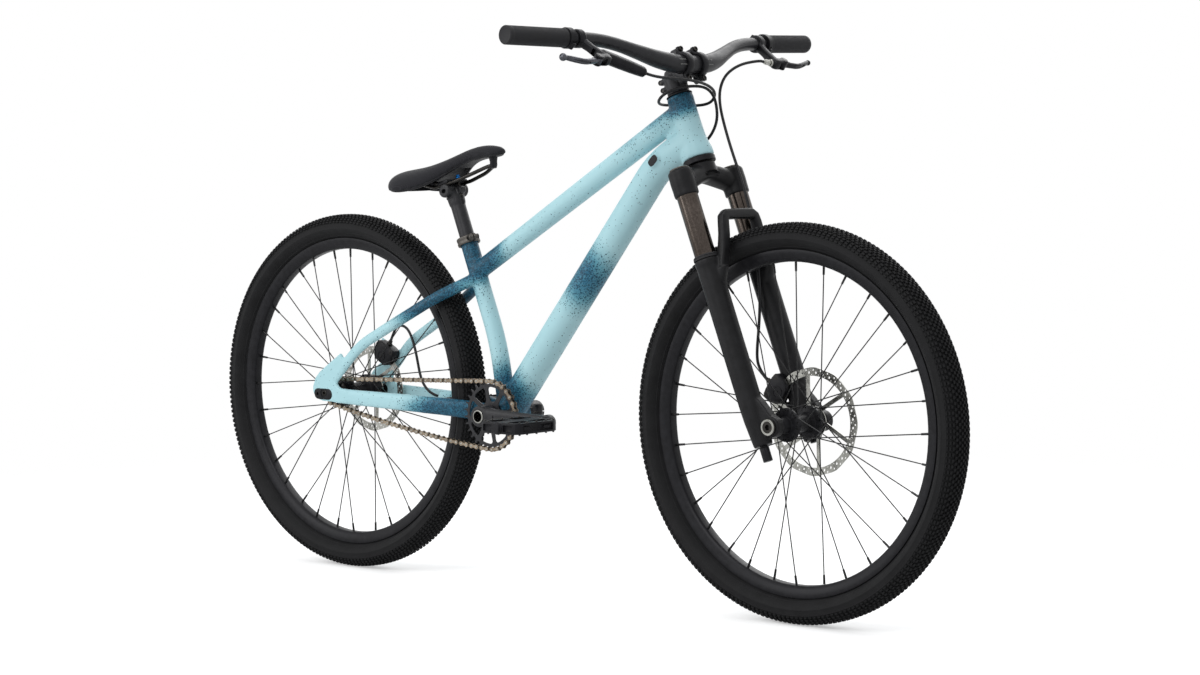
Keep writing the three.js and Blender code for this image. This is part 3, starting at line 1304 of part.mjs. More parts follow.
// Stem: steerer clamp, arm and the rear half of the handlebar clamp with its bolt ears
function stem() {
  const clampTop = stemBottom + stemClampHeight;
  const clamp = bar(at(0, 0, stemBottom), at(0, 0, clampTop), stemClampRadius, hubSides);
  const arm = skinned([
    ring(at(0, 0, stemBottom + stemClampHeight / 2), yAxis, zAxis, stemArmHalfWidth, stemArmHalfHeight, 12,
      stemPower),
    ring(at(stemReach - barClampRadius / 2, 0, barCentre.z), yAxis, zAxis,
      stemFaceHalfWidth, stemArmHalfHeight, 12, stemPower)]);
  const face = acrossClamp(-stemFaceHalfWidth, stemFaceHalfWidth, barClampRadius + strapThickness);
  const ears = [-1, 1].flatMap((side) => [-1, 1].map((end) => bar(
    at(stemReach - barClampRadius, side * strapSpacing / 2, barCentre.z + end * strapBoltRise),
    at(stemReach, side * strapSpacing / 2, barCentre.z + end * strapBoltRise), strapWidth / 2, 8)));
  const front = block(at(stemReach + 2 * barClampRadius - fitGap, 0, barCentre.z),
    2 * barClampRadius, 2 * stemFaceHalfWidth, 2 * stemClampHeight);
  const barBore = acrossClamp(-2 * stemFaceHalfWidth, 2 * stemFaceHalfWidth,
    around(barClampRadius + fitGap, hubSides));
  const steererBore = bar(at(0, 0, stemBottom - cutOverrun), at(0, 0, clampTop + cutOverrun),
    steererRadius + fitGap, hubSides);
  return cut(join(clamp, arm, face, ...ears), front, barBore, steererBore);
}

// Face strap: half ring round the bar, an ear and a bolt head at each end
function strap(y) {
  const half = strapWidth / 2;
  const ears = [-1, 1].flatMap((end) => {
    const z = barCentre.z + end * strapBoltRise;
    return [bar(at(stemReach, y, z), at(stemReach + strapThickness, y, z), half, 8),
      bar(at(stemReach, y, z), at(stemReach + 2 * strapThickness, y, z), strapBoltRadius, 6)];
  });
  const back = block(at(stemReach - 2 * barClampRadius + fitGap, y, barCentre.z),
    2 * barClampRadius, strapWidth, 2 * stemClampHeight);
  return cut(join(acrossClamp(y - half, y + half, barClampRadius + strapThickness), ...ears), back,
    acrossClamp(y - strapWidth, y + strapWidth, around(barClampRadius + fitGap, hubSides)));
}

// Bar centreline: clamp, bend and end on each side
const barPoint = (side, span, back, rise) => at(barCentre.x - back, side * span, barCentre.z + rise);
const barBendAt = (side) => barPoint(side, barBendHalfSpan, barSweepBack, barRise);
const barEndAt = (side) => barPoint(side, barHalfWidth, barEndSweepBack, barEndRise);
const gripLine = (side) => barEndAt(side).sub(barBendAt(side)).normalize();
const onGrip = (side, fromCentre) => barBendAt(side).lerp(barEndAt(side),
  (fromCentre - barBendHalfSpan) / (barHalfWidth - barBendHalfSpan));

function handlebar() {
  const knees = [barEndAt(-1), barBendAt(-1), barPoint(-1, barClampHalfSpan, 0, 0),
    barPoint(1, barClampHalfSpan, 0, 0), barBendAt(1), barEndAt(1)];
  const thick = (share) => {
    const span = Math.abs(2 * share - 1);
    const slim = Math.min(1, Math.max(0, (span - barThickShare) / (barSlimShare - barThickShare)));
    return taper(barClampRadius, barGripRadius)(slim);
  };
  return tube(rounded(knees, barBend), thick, hubSides, xAxis);
}

function grip(side) {
  const bore = around(barGripRadius + fitGap, hubSides);
  const length = gripLength + gripEndThickness;
  const profile = [[bore, 0], [gripCollarRadius, 0], [gripCollarRadius, gripCollarLength],
    [gripRadius, gripCollarLength], [gripRadius, length], [0, length],
    [0, gripLength + fitGap], [bore, gripLength + fitGap]];
  return stood(turned(profile, hubSides), barEndAt(side).addScaledVector(gripLine(side), -gripLength),
    gripLine(side));
}

// Lever frame: X outboard, Y toward the grip, Z along the pivot
function leverFrame(side) {
  const pull = at(-leverPivotReach, 0, leverPivotDrop).normalize();
  const out = at(0, side, 0);
  const pivot = onGrip(side, leverPivotFromCentre).add(at(leverPivotReach, 0, -leverPivotDrop));
  return new THREE.Matrix4().makeBasis(out, pull, out.clone().cross(pull)).setPosition(pivot);
}

function brakeLever(side, tipRadius) {
  const blade = tube([at(0, 0, 0), at(leverLength * bladeDipShare, -leverHalfHeight, 0),
    at(leverLength, leverHalfHeight, 0)],
    () => [leverHalfHeight, leverHalfThickness], 8, zAxis, crownPower);
  const boss = bar(at(0, 0, -leverHalfHeight), at(0, 0, leverHalfHeight), 2 * leverHalfThickness,
    boreSides);
  const tip = new THREE.SphereGeometry(tipRadius, 8, 6);
  tip.translate(leverLength, leverHalfHeight, 0);
  const hole = bar(at(0, 0, -leverHalfHeight - cutOverrun), at(0, 0, leverHalfHeight + cutOverrun),
    leverPinRadius + fitGap, 8);
  return moved(cut(join(blade, boss, solid(tip)), hole), leverFrame(side));
}

// Lever perch: clamp round the bar, neck, two ears and the pivot pin between them
function leverPerch(side, ...extra) {
  const matrix = leverFrame(side);
  const inFrame = (x, y, z) => at(x, y, z).applyMatrix4(matrix);
  const line = gripLine(side).multiplyScalar(leverClampHalfWidth);
  const centre = onGrip(side, leverClampFromCentre);
  const along = (count, radius) => bar(centre.clone().addScaledVector(line, -count),
    centre.clone().addScaledVector(line, count), radius, hubSides);
  const ear = 2 * leverHalfThickness;
  const depth = leverHalfHeight + fitGap;
  const half = depth + leverEar;
  const pivotAxis = zAxis.clone().transformDirection(matrix);
  const pull = yAxis.clone().transformDirection(matrix);
  const knuckle = bar(inFrame(0, 0, -half), inFrame(0, 0, half), ear, boreSides);
  const neck = skinned([ring(centre, at(0, side, 0), pivotAxis, leverClampHalfWidth, half, 8, stemPower),
    ring(inFrame(-leverNeck, 0, 0), at(0, side, 0), pivotAxis, leverClampHalfWidth, half, 8, stemPower)]);
  const bridge = skinned([-leverNeck, 0].map((x) =>
    ring(inFrame(x, 0, 0), pull, pivotAxis, ear, half, 8, stemPower)));
  const room = moved(block(at(leverRoom - ear - runningGap, 0, 0), leverRoom, leverRoom, depth), matrix);
  const pin = bar(inFrame(0, 0, -half), inFrame(0, 0, half), leverPinRadius, 8);
  const body = join(along(1, leverClampRadius), neck, bridge, knuckle);
  return cut(join(cut(body, room), pin, ...extra), along(3, around(barGripRadius + fitGap, hubSides)));
}

// Ends of the master cylinder and of the cable adjuster; a hose or housing starts at the second
const masterStart = at(-leverNeck, masterRise, 0).applyMatrix4(leverFrame(-1));
const masterEnd = at(-leverNeck - masterLength, -masterDrop, masterBack).applyMatrix4(leverFrame(-1));
const barrelStart = at(-leverNeck, 0, 0).applyMatrix4(leverFrame(1));
const barrelEnd = at(-leverNeck - barrelLength, barrelRise, 0).applyMatrix4(leverFrame(1));

piece(steering, 'headset_spacer', stood(ringOnY(headTubeTopRadius - cupWall, steererRadius + fitGap, 0,
  spacerHeight, hubSides),
  at(0, 0, headTubeTop + cupFlangeHeight + fitGap), zAxis), blackAlloy);
piece(steering, 'stem', stem(), blackAlloy);
for (const [name, side] of sides) {
  piece(steering, `stem_strap_${name}`, strap(side * strapSpacing / 2), blackAlloy);
  piece(steering, `grip_${name}`, grip(side), blackRubber);
}
piece(steering, 'stem_top_cap', bar(at(0, 0, stemBottom + stemClampHeight + fitGap),
  at(0, 0, stemBottom + stemClampHeight + fitGap + upperCapHeight), steererRadius + fitGap, hubSides),
    blackAlloy);
piece(steering, 'handlebar', handlebar(), blackAlloy);
piece(steering, 'brake_master_right', leverPerch(-1,
  bar(masterStart, masterEnd, masterRadius, boreSides, masterEndRadius)), darkSteel);
piece(steering, 'brake_perch_left', leverPerch(1,
  bar(barrelStart, barrelEnd, barrelRadius, boreSides)), blackAlloy);
piece(steering, 'brake_lever_right', brakeLever(-1, leverBallRadius), darkSteel);
piece(steering, 'brake_lever_left', brakeLever(1, leverHalfHeight), blackAlloy);

// Point on a caliper's nipple: at its root or at its open end
function nipplePoint(axle, radius, plane, angle, length) {
  const reach = radius + caliperOuterReach + length;
  return at(axle.x + reach * Math.cos(angle), plane, axle.z + reach * Math.sin(angle));
}
const leadOfCaliper = (...place) => leadOut(nipplePoint(...place, 0),
  nipplePoint(...place, caliperNippleLength));

// Route of the front brake's housing in the fork's frame, from the adjuster to the caliper
const housingRoute = [
  [33, 172, 162], [25, 140, 160], [13, 105, 144], [6, 84, 121], [3, 72, 98], [7, 62, 69], [20, 54, 20],
  [32, 50, -19], [36, 48, -78], [30, 46, -138], [24, 39, -200], [14, 37.5, -270], [0, 39, -330],
  [-25, 41, -345], [-38, 42.5, -362]].map((p) => at(...p));

const [upperFace, upperInside] = upperHoseRoute.slice(-2);
const [lowerInside, lowerFace] = lowerHoseRoute;
piece(steering, 'rear_brake_hose_front', cord([
  ...leadOut(masterStart, masterEnd), ...upperHoseRoute.slice(0, -2),
    ...leadOut(upperInside, upperFace).reverse()],
hoseRadius, upperHoseSteps), hoseSkin);
piece(bike, 'rear_brake_hose_rear', cord([
  ...leadOut(lowerInside, lowerFace), ...lowerHoseRoute.slice(2),
  ...leadOfCaliper(rearAxle, rearRotorRadius, rearRotorPlane, rearCaliperAngle).reverse()],
hoseRadius, lowerHoseSteps), hoseSkin);
piece(steering, 'front_brake_housing', cord([
  ...leadOut(barrelStart, barrelEnd), ...housingRoute, ...leadOfCaliper(
    at(forkOffset, 0, -forkLength), frontRotorRadius, frontRotorPlane, frontCaliperAngle).reverse()],
housingRadius, housingSteps), hoseSkin);

export default bike;
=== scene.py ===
import json
import math

import bmesh
import bpy
from mathutils import Matrix, Vector


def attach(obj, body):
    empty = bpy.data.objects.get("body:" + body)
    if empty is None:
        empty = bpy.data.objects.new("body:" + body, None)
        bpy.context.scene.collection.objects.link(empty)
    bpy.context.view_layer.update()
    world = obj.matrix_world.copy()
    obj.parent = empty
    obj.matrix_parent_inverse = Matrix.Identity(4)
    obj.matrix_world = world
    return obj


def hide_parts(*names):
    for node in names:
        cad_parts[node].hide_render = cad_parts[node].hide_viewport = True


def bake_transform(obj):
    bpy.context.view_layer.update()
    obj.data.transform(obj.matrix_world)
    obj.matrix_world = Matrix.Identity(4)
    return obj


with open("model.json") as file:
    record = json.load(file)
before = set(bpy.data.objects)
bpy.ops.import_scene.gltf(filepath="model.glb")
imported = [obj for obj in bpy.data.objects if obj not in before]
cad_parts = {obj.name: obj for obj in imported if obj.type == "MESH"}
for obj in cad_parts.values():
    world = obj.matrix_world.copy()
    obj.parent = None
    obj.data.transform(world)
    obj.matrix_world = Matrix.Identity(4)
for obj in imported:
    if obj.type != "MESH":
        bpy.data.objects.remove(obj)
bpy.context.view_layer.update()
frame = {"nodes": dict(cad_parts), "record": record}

bl_info = {
    "name": "Dirt jump bike",
    "version": (1, 0, 0),
    "blender": (4, 5, 0),
    "location": "View3D > Sidebar > Bike",
    "description": "Builds the finished pieces of a dirt jump bike on its frame model",
    "category": "Add Mesh",
}

# Places in millimetres, in the bike's frame: X forward, Y to the rider's left, Z up.
REAR_AXLE = Vector((-524.5, 0.0, 330.0))
FRONT_AXLE = Vector((524.5, 0.0, 330.0))
BRACKET = Vector((-126.738, 0.0, 309.3))
CROWN_RACE = Vector((318.019, 0.0, 760.048))
STEER_UP = Vector((-0.3665012, 0.0, 0.9304176))
SEAT_UP = Vector((-0.3705574, 0.0, 0.9288096))
SEAT_KNEE = Vector((-148.238, 0.0, 433.3))
X_AXIS, Y_AXIS, Z_AXIS = Vector((1, 0, 0)), Vector((0, 1, 0)), Vector((0, 0, 1))
SIDES = (("right", -1), ("left", 1))
MILLIMETRE = Matrix.Scale(0.001, 4)
Z_TO_Y = Matrix.Rotation(-math.pi / 2, 4, "X")


def basis(origin, x, y, z):
    """Matrix whose columns are these axes, at that origin."""
    matrix = Matrix((x, y, z)).transposed().to_4x4()
    matrix.translation = origin
    return matrix


STEERING = basis(CROWN_RACE, Vector((STEER_UP.z, 0, -STEER_UP.x)), Y_AXIS, STEER_UP)
SADDLE = basis(
    Vector((-259.274, 0.0, 716.118)),
    Vector((0.97437, 0, 0.224951)),
    Y_AXIS,
    Vector((-0.224951, 0, 0.97437)),
)
STEER_AHEAD, SADDLE_AHEAD, SADDLE_UP = STEERING.col[0].xyz, SADDLE.col[0].xyz, SADDLE.col[2].xyz
# Disc radius and plane, and degrees of the caliper round the axle
FRONT_BRAKE, REAR_BRAKE = (90.0, 42.5, 145.5), (80.0, 51.0, 62.0)
CRANK = 170


def steer(x, y, z):
    """Point of the steering frame: X ahead of the steering axis, Z up it from the crown race."""
    return STEERING @ Vector((x, y, z))


def on_seat_tube(distance):
    return SEAT_KNEE + SEAT_UP * distance


def standing(origin, axis, turn=0.0):
    """Matrix that stands Z along an axis at a point, turned about it."""
    place = axis.to_track_quat("Z", "Y").to_matrix().to_4x4() @ Matrix.Rotation(turn, 4, "Z")
    return Matrix.Translation(origin) @ place


def shifted(place, x, y=0, z=0):
    return place @ Matrix.Translation((x, y, z))


def sided(origin, side):
    """Place whose Z axis runs outboard to one side."""
    return Matrix.Translation(origin) @ Matrix.Diagonal((1, side, 1, 1)) @ Z_TO_Y


def radial(origin, degrees):
    """Place on the disc's side whose X axis points outward at an angle round the wheel."""
    angle = math.radians(degrees)
    return basis(origin, Vector((math.cos(angle), 0, math.sin(angle))),
                 Vector((-math.sin(angle), 0, math.cos(angle))), -Y_AXIS)


def mix(a, b, share):
    return a + (b - a) * share


def polar(radius, angle):
    return radius * math.cos(angle), radius * math.sin(angle)


def mirrored(half, shared=0):
    """Outline of a half and its mirror image in Y; shared says how many last points lie on the axis."""
    return half + [(x, -y) for x, y in half[::-1][shared:]]


def ring_profile(outer, inner):
    """Closed profile of a hollow ring from the halves of its outer and inner walls."""
    return mirrored(outer, 1) + mirrored([(r, -y) for r, y in inner], 1)


# Shaping: each call adds one closed or open form to a bmesh, in millimetres


def ring_place(centre, across, up, half_width, half_height):
    return basis(centre, across * half_width, up * half_height, across.cross(up))


def section(bm, sides, power, rise=1.0, belly=1.0):
    """Unit ring; power 1 is a circle, less is squarer; rise and belly scale its upper and lower half."""
    made = bmesh.ops.create_circle(bm, cap_ends=False, segments=sides, radius=1.0)
    for v in made["verts"]:
        v.co.x = math.copysign(abs(v.co.x) ** power, v.co.x)
        v.co.y = math.copysign(abs(v.co.y) ** power, v.co.y) * (rise if v.co.y > 0 else belly)
    return made["verts"], list(dict.fromkeys(e for v in made["verts"] for e in v.link_edges))


def skin(bm, places, sides=24, power=1.0, rise=1.0, belly=1.0):
    """Closed skin through a ring at each place."""
    verts, edges = section(bm, sides, power, rise, belly)
    every = list(verts)
    bmesh.ops.transform(bm, matrix=places[0], verts=verts)
    bmesh.ops.contextual_create(bm, geom=edges)
    for before, after in zip(places, places[1:]):
        made = bmesh.ops.extrude_edge_only(bm, edges=edges)["geom"]
        verts = [g for g in made if isinstance(g, bmesh.types.BMVert)]
        edges = [g for g in made if isinstance(g, bmesh.types.BMEdge)]
        bmesh.ops.transform(bm, matrix=after @ before.inverted(), verts=verts)
        every += verts
    bmesh.ops.contextual_create(bm, geom=edges)
    return every


def run_shares(points):
    run = [0.0]
    for a, b in zip(points, points[1:]):
        run.append(run[-1] + (b - a).length)
    return [r / run[-1] for r in run]


def tube(bm, points, sizes, sides=24, reference=Y_AXIS, power=1.0):
    """Skin along points; sizes gives the half width and half height at a share of the run."""
    places = []
    for i, (p, share) in enumerate(zip(points, run_shares(points))):
        way = (points[min(i + 1, len(points) - 1)] - points[max(i - 1, 0)]).normalized()
        across = (reference - way * reference.dot(way)).normalized()
        places.append(ring_place(p, across, way.cross(across), *sizes(share)))
    return skin(bm, places, sides, power)


def curved(points, steps=4):
    """Points on a smooth curve through the given ones."""
    out = []
    padded = [points[0] * 2 - points[1], *points, points[-1] * 2 - points[-2]]
    for a, b, c, d in zip(padded, padded[1:], padded[2:], padded[3:]):
        for k in range(steps):
            t = k / steps
            out.append(
                (b * 2 + (c - a) * t + (a * 2 - b * 5 + c * 4 - d) * t**2
                 + (b * 3 - a - c * 3 + d) * t**3) / 2
            )
    return [*out, points[-1]]


def eased(points, rounds, ends=3):
    """Points drawn toward their neighbours' middle, the first and last few held."""
    for _ in range(rounds):
        points = points[:ends] + [
            b * 0.5 + (a + c) * 0.25 for a, b, c in zip(points[ends - 1:], points[ends:-ends], points[ends + 1:])
        ] + points[-ends:]
    return points


def rounded(points, setback, steps=6):
    """Points with each corner turned into a short curve."""
    path = [points[0]]
    for before, knee, after in zip(points, points[1:], points[2:]):
        reach = min(setback, (before - knee).length / 2, (after - knee).length / 2)
        start = knee + (before - knee).normalized() * reach
        end = knee + (after - knee).normalized() * reach
        for k in range(steps + 1):
            t = k / steps
            path.append(start * (1 - t) ** 2 + knee * 2 * t * (1 - t) + end * t**2)
    return [*path, points[-1]]


def turned(bm, profile, place, steps=48, closed=False):
    """Form turned about the Z axis of a place, from points of radius and height."""
    before = set(bm.verts)
    verts = [bm.verts.new((r, 0, h)) for r, h in profile]
    pairs = list(zip(verts, verts[1:])) + ([(verts[-1], verts[0])] if closed else [])
    edges = [bm.edges.new(pair) for pair in pairs]
    bmesh.ops.spin(
        bm, geom=verts + edges, cent=(0, 0, 0), axis=(0, 0, 1), dvec=(0, 0, 0),
        angle=math.tau, steps=steps, use_merge=True, use_duplicate=False,
    )
    made = [v for v in bm.verts if v not in before]
    poles = [v for v in made if abs(v.co.x) < 1e-6 and abs(v.co.y) < 1e-6]
    bmesh.ops.transform(bm, matrix=place, verts=made)
    if poles:
        bmesh.ops.remove_doubles(bm, verts=poles, dist=1e-5)


def plug(bm, radius, low, high, place, steps=48, lip=0.0):
    """Cylinder between two heights of a place, its rims broken by a small lip."""
    side = [(radius, low), (radius, high)]
    if lip:
        side = [(radius - lip, low), (radius, low + lip), (radius, high - lip), (radius - lip, high)]
    turned(bm, [(0, low), *side, (0, high)], place, steps)


def rod(bm, a, b, radius, end_radius=None, steps=24, lip=0.0):
    """Round bar between two points, its rims broken by a small lip."""
    end_radius = radius if end_radius is None else end_radius
    length = (b - a).length
    side = [(radius, 0), (end_radius, length)]
    if lip:
        side = [(radius - lip, 0), (radius, lip), (end_radius, length - lip), (end_radius - lip, length)]
    turned(bm, [(0, 0), *side, (0, length)], standing(a, (b - a).normalized()), steps)


def block(bm, place, half, soft=0.0, segments=2):
    """Box by its half sizes in a place, with softened edges."""
    size = place @ Matrix.Diagonal((*half, 1))
    verts = bmesh.ops.create_cube(bm, size=2.0, matrix=size)["verts"]
    if soft:
        soften(bm, dict.fromkeys(e for v in verts for e in v.link_edges), soft, segments)
    return verts


def soften(bm, edges, offset, segments=2):
    bmesh.ops.bevel(
        bm, geom=list(edges), offset=offset, offset_type="OFFSET", segments=segments,
        profile=0.5, affect="EDGES", material=-1, clamp_overlap=True,
    )


def prism(bm, points, place, low, high, soft=0.0, segments=2):
    """Plate with an outline in the XY plane of a place, between two heights."""
    face = bm.faces.new([bm.verts.new((x, y, low)) for x, y in points])
    made = bmesh.ops.extrude_face_region(bm, geom=[face])["geom"]
    top = [g for g in made if isinstance(g, bmesh.types.BMVert)]
    bmesh.ops.translate(bm, verts=top, vec=(0, 0, high - low))
    verts = list(face.verts) + top
    if soft:
        rims = [e for e in dict.fromkeys(e for v in verts for e in v.link_edges)
                if abs(e.verts[0].co.z - e.verts[1].co.z) < 1e-6]
        before = set(bm.verts) - set(verts)
        soften(bm, rims, soft, segments)
        verts = [v for v in bm.verts if v not in before]
    bmesh.ops.transform(bm, matrix=place, verts=verts)


def oblong(low, high, half):
    """Corners of a rectangle between two X, as wide in Y to both sides."""
    return [(low, -half), (high, -half), (high, half), (low, half)]


def arc(x, y, radius, start, stop, count):
    """Points of an arc, by its angles in degrees."""
    turns = [math.radians(mix(start, stop, i / (count - 1))) for i in range(count)]
    return [(x + radius * math.cos(t), y + radius * math.sin(t)) for t in turns]


def circle(x, y, radius, count, phase=0.0):
    turns = [phase + math.tau * i / count for i in range(count)]
    return [(x + radius * math.cos(t), y + radius * math.sin(t)) for t in turns]


def modified(obj, kind, **settings):
    """Puts a modifier on an object and applies it to its mesh."""
    modifier = obj.modifiers.new(kind.title(), kind)
    for key, value in settings.items():
        setattr(modifier, key, value)
    graph = bpy.context.evaluated_depsgraph_get()
    mesh = bpy.data.meshes.new_from_object(obj.evaluated_get(graph))
    mesh.name = obj.name
    obj.modifiers.clear()
    old, obj.data = obj.data, mesh
    bpy.data.meshes.remove(old)
    return obj


def as_object(bm, name):
    """Object from a bmesh in millimetres, its normals turned outward."""
    bmesh.ops.remove_doubles(bm, verts=bm.verts, dist=1e-4)
    bmesh.ops.recalc_face_normals(bm, faces=bm.faces)
    bmesh.ops.transform(bm, matrix=MILLIMETRE, verts=bm.verts)
    mesh = bpy.data.meshes.new(name)
    bm.to_mesh(mesh)
    bm.free()
    obj = bpy.data.objects.new(name, mesh)
    bpy.context.scene.collection.objects.link(obj)
    return obj


def without(obj, cutter_bm, crossing=True):
    """Cuts an object by the forms of a bmesh; crossing says that these overlap each other."""
    cutter = as_object(cutter_bm, obj.name + "_cutter")
    modified(obj, "BOOLEAN", operation="DIFFERENCE", solver="EXACT", object=cutter, use_self=crossing)
    bpy.data.objects.remove(cutter)
    return obj


def fused(obj, voxel, rounds, shrink=0.0):
    """Melts overlapping forms into one skin, smooths it some rounds over and draws it in along its normals."""
    modified(obj, "REMESH", mode="VOXEL", voxel_size=voxel / 1000, use_smooth_shade=True)
    bm = bmesh.new()
    bm.from_mesh(obj.data)
    for _ in range(rounds):
        bmesh.ops.smooth_vert(bm, verts=bm.verts, factor=0.5, use_axis_x=True, use_axis_y=True, use_axis_z=True)
    if shrink:
        bm.normal_update()
        for v in bm.verts:
            v.co -= v.normal * shrink
    bm.to_mesh(obj.data)
    bm.free()
    return obj


def finished(obj, look, body, nodes=(), crease=35):
    """Paints a piece, rounds its shading and seats it on its body; given more than one body, it is left unseated in the
    world.
    """
    obj.data.materials.clear()
    for key in look if isinstance(look, list) else [look]:
        obj.data.materials.append(finish_of(key))
    obj.data.polygons.foreach_set("use_smooth", [True] * len(obj.data.polygons))
    obj.data.set_sharp_from_angle(angle=math.radians(crease))
    if isinstance(body, str):
        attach(obj, body)
    else:
        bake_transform(obj)
    if nodes:
        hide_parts(*nodes)
    return obj


# Finishes. A texture's place is the object's own place in metres, so scales are per metre.


def linear(code):
    """Linear colour of an sRGB hex code."""
    parts = [int(code[i:i + 2], 16) / 255 for i in (1, 3, 5)]
    return (*[p / 12.92 if p <= 0.04045 else ((p + 0.055) / 1.055) ** 2.4 for p in parts], 1.0)


def add(tree, kind, links=None, **settings):
    """Adds one node with its settings and its inputs, each a socket or a value."""
    made = tree.nodes.new(kind)
    for key, value in settings.items():
        setattr(made, key, value)
    for key, value in (links or {}).items():
        if isinstance(value, bpy.types.NodeSocket):
            tree.links.new(value, made.inputs[key])
        else:
            made.inputs[key].default_value = value
    return made


def maths(tree, operation, *values):
    return add(tree, "ShaderNodeMath", dict(enumerate(values)), operation=operation).outputs[0]


def noise(tree, place, scale, detail):
    return add(tree, "ShaderNodeTexNoise", {"Vector": place, "Scale": scale, "Detail": detail}).outputs["Fac"]


def ranged(tree, value, start, stop, low, high, **settings):
    """Value carried from one range over to another."""
    return add(tree, "ShaderNodeMapRange", {
        "Value": value, "From Min": start, "From Max": stop, "To Min": low, "To Max": high,
    }, **settings).outputs["Result"]


def graded(tree, value, first, *between, last):
    """Colour ramp through stops of place and colour."""
    node = add(tree, "ShaderNodeValToRGB", {"Fac": value})
    elements = node.color_ramp.elements
    for element, (at, colour) in zip(elements, (first, last)):
        element.position = at
        element.color = colour
    for at, colour in between:
        elements.new(at).color = colour
    return node.outputs["Color"]


def coated(tree, surface, colour, rough, height, strength, distance):
    """Plugs a colour, a roughness and a fine relief into a shader."""
    relief = add(tree, "ShaderNodeBump", {"Height": height, "Strength": strength, "Distance": distance})
    for key, socket in (("Base Color", colour), ("Roughness", rough), ("Normal", relief.outputs["Normal"])):
        tree.links.new(socket, surface.inputs[key])


def grained(tree, surface, place, dark, light, scale, rough, bump, spread=0.06):
    """Finish whose colour and roughness wander with a fine grain."""
    grain = noise(tree, place, scale, 5.0)
    cloud = noise(tree, place, scale / 24, 3.0)
    both = maths(tree, "MULTIPLY", grain, cloud)
    colour = graded(tree, both, (0.12, linear(dark)), last=(0.42, linear(light)))
    coated(tree, surface, colour, ranged(tree, cloud, 0.3, 0.7, rough - spread, rough + spread), grain, bump, 0.0004)


# Dark zones of the frame's paint: centre, half sizes, share fully dark, strength
PAINT_ZONES = (
    ((-0.215, 0.0, 0.602), (0.125, 0.3, 0.092), 0.4, 1.0),
    ((-0.285, 0.0, 0.525), (0.135, 0.3, 0.1), 0.25, 1.0),
    ((0.078, 0.0, 0.56), (0.09, 0.3, 0.1), 0.05, 0.82),
    ((0.27, 0.0, 0.886), (0.09, 0.3, 0.075), 0.45, 1.0),
    ((0.2, 0.0, 0.862), (0.12, 0.3, 0.075), 0.2, 0.95),
    ((0.14, 0.0, 0.815), (0.1, 0.3, 0.06), 0.0, 0.7),
    ((-0.19, 0.0, 0.302), (0.19, 0.3, 0.07), 0.4, 0.95),
    ((-0.112, 0.0, 0.335), (0.085, 0.3, 0.1), 0.25, 0.9),
)
# Two sizes of speck: cells per metre, radius, growth into a zone, share of cells filled outside and inside it
SPECKS = ((260.0, 0.3, 0.16, 0.03, 0.8), (430.0, 0.34, 0.12, 0.05, 0.85))


def sprayed(tree, surface, place):
    """Aqua sprayed over with a deep blue spatter that thins out into single specks."""
    mask = None
    for centre, size, core, strength in PAINT_ZONES:
        offset = add(tree, "ShaderNodeVectorMath", {0: place, 1: centre}, operation="SUBTRACT").outputs[0]
        scaled = add(tree, "ShaderNodeVectorMath", {0: offset, 1: size}, operation="DIVIDE").outputs[0]
        far = add(tree, "ShaderNodeVectorMath", {0: scaled}, operation="LENGTH").outputs["Value"]
        zone = ranged(tree, far, core, 1.0, strength, 0.0, interpolation_type="SMOOTHSTEP")
        mask = zone if mask is None else maths(tree, "MAXIMUM", mask, zone)
    blown = maths(tree, "MULTIPLY_ADD", noise(tree, place, 26.0, 2.0), 0.36, -0.18)
    weighted = maths(tree, "MULTIPLY_ADD", blown, mask, mask)
    spray = noise(tree, place, 330.0, 3.0)
    tone = ranged(tree, weighted, 0.05, 0.95, 0.0, 0.92)
    spread = maths(tree, "MULTIPLY_ADD", spray, 0.8, -0.4)
    paint = bpy.context.scene.bike_paint
    body = graded(
        tree, maths(tree, "MULTIPLY_ADD", spread, tone, tone), (0.0, paint.aqua),
        (0.22, linear("#96C2CB")), (0.5, paint.teal), (0.8, linear("#2A6580")), last=(1.0, paint.deep))
    specks = None
    for scale, radius, growth, few, many in SPECKS:
        dots = add(tree, "ShaderNodeTexVoronoi", {"Vector": place, "Scale": scale}, feature="F1")
        pick = add(tree, "ShaderNodeSeparateColor", {"Color": dots.outputs["Color"]}).outputs["Red"]
        kept = maths(tree, "LESS_THAN", pick, ranged(tree, weighted, 0.0, 0.9, few, many))
        size = maths(tree, "MULTIPLY_ADD", weighted, growth, radius)
        inside = maths(tree, "LESS_THAN", dots.outputs["Distance"], size)
        speck = maths(tree, "MULTIPLY", kept, inside)
        specks = speck if specks is None else maths(tree, "MAXIMUM", specks, speck)
    strong = maths(tree, "MULTIPLY", specks, 0.9)
    colour = add(tree, "ShaderNodeMix", {0: strong, 6: body, 7: paint.speck}, data_type="RGBA").outputs[2]
    coated(tree, surface, colour, maths(tree, "MULTIPLY_ADD", spray, 0.12, 0.35), spray, 0.05, 0.0003)


def knitted(tree, surface, place):
    """Fine crossed ribs under a soft sheen."""
    warp, weft = (
        add(tree, "ShaderNodeTexWave", {"Vector": place, "Scale": 300.0, "Distortion": 0.6},
            bands_direction=way).outputs["Fac"] for way in ("DIAGONAL", "Y"))
    knit = maths(tree, "MULTIPLY", warp, weft)
    cloud = noise(tree, place, 30.0, 4.0)
    colour = graded(tree, maths(tree, "MULTIPLY", knit, cloud), (0.0, linear("#1C1C1F")), last=(0.6, linear("#313136")))
    coated(tree, surface, colour, maths(tree, "MULTIPLY_ADD", cloud, 0.2, 0.62), knit, 0.25, 0.0005)


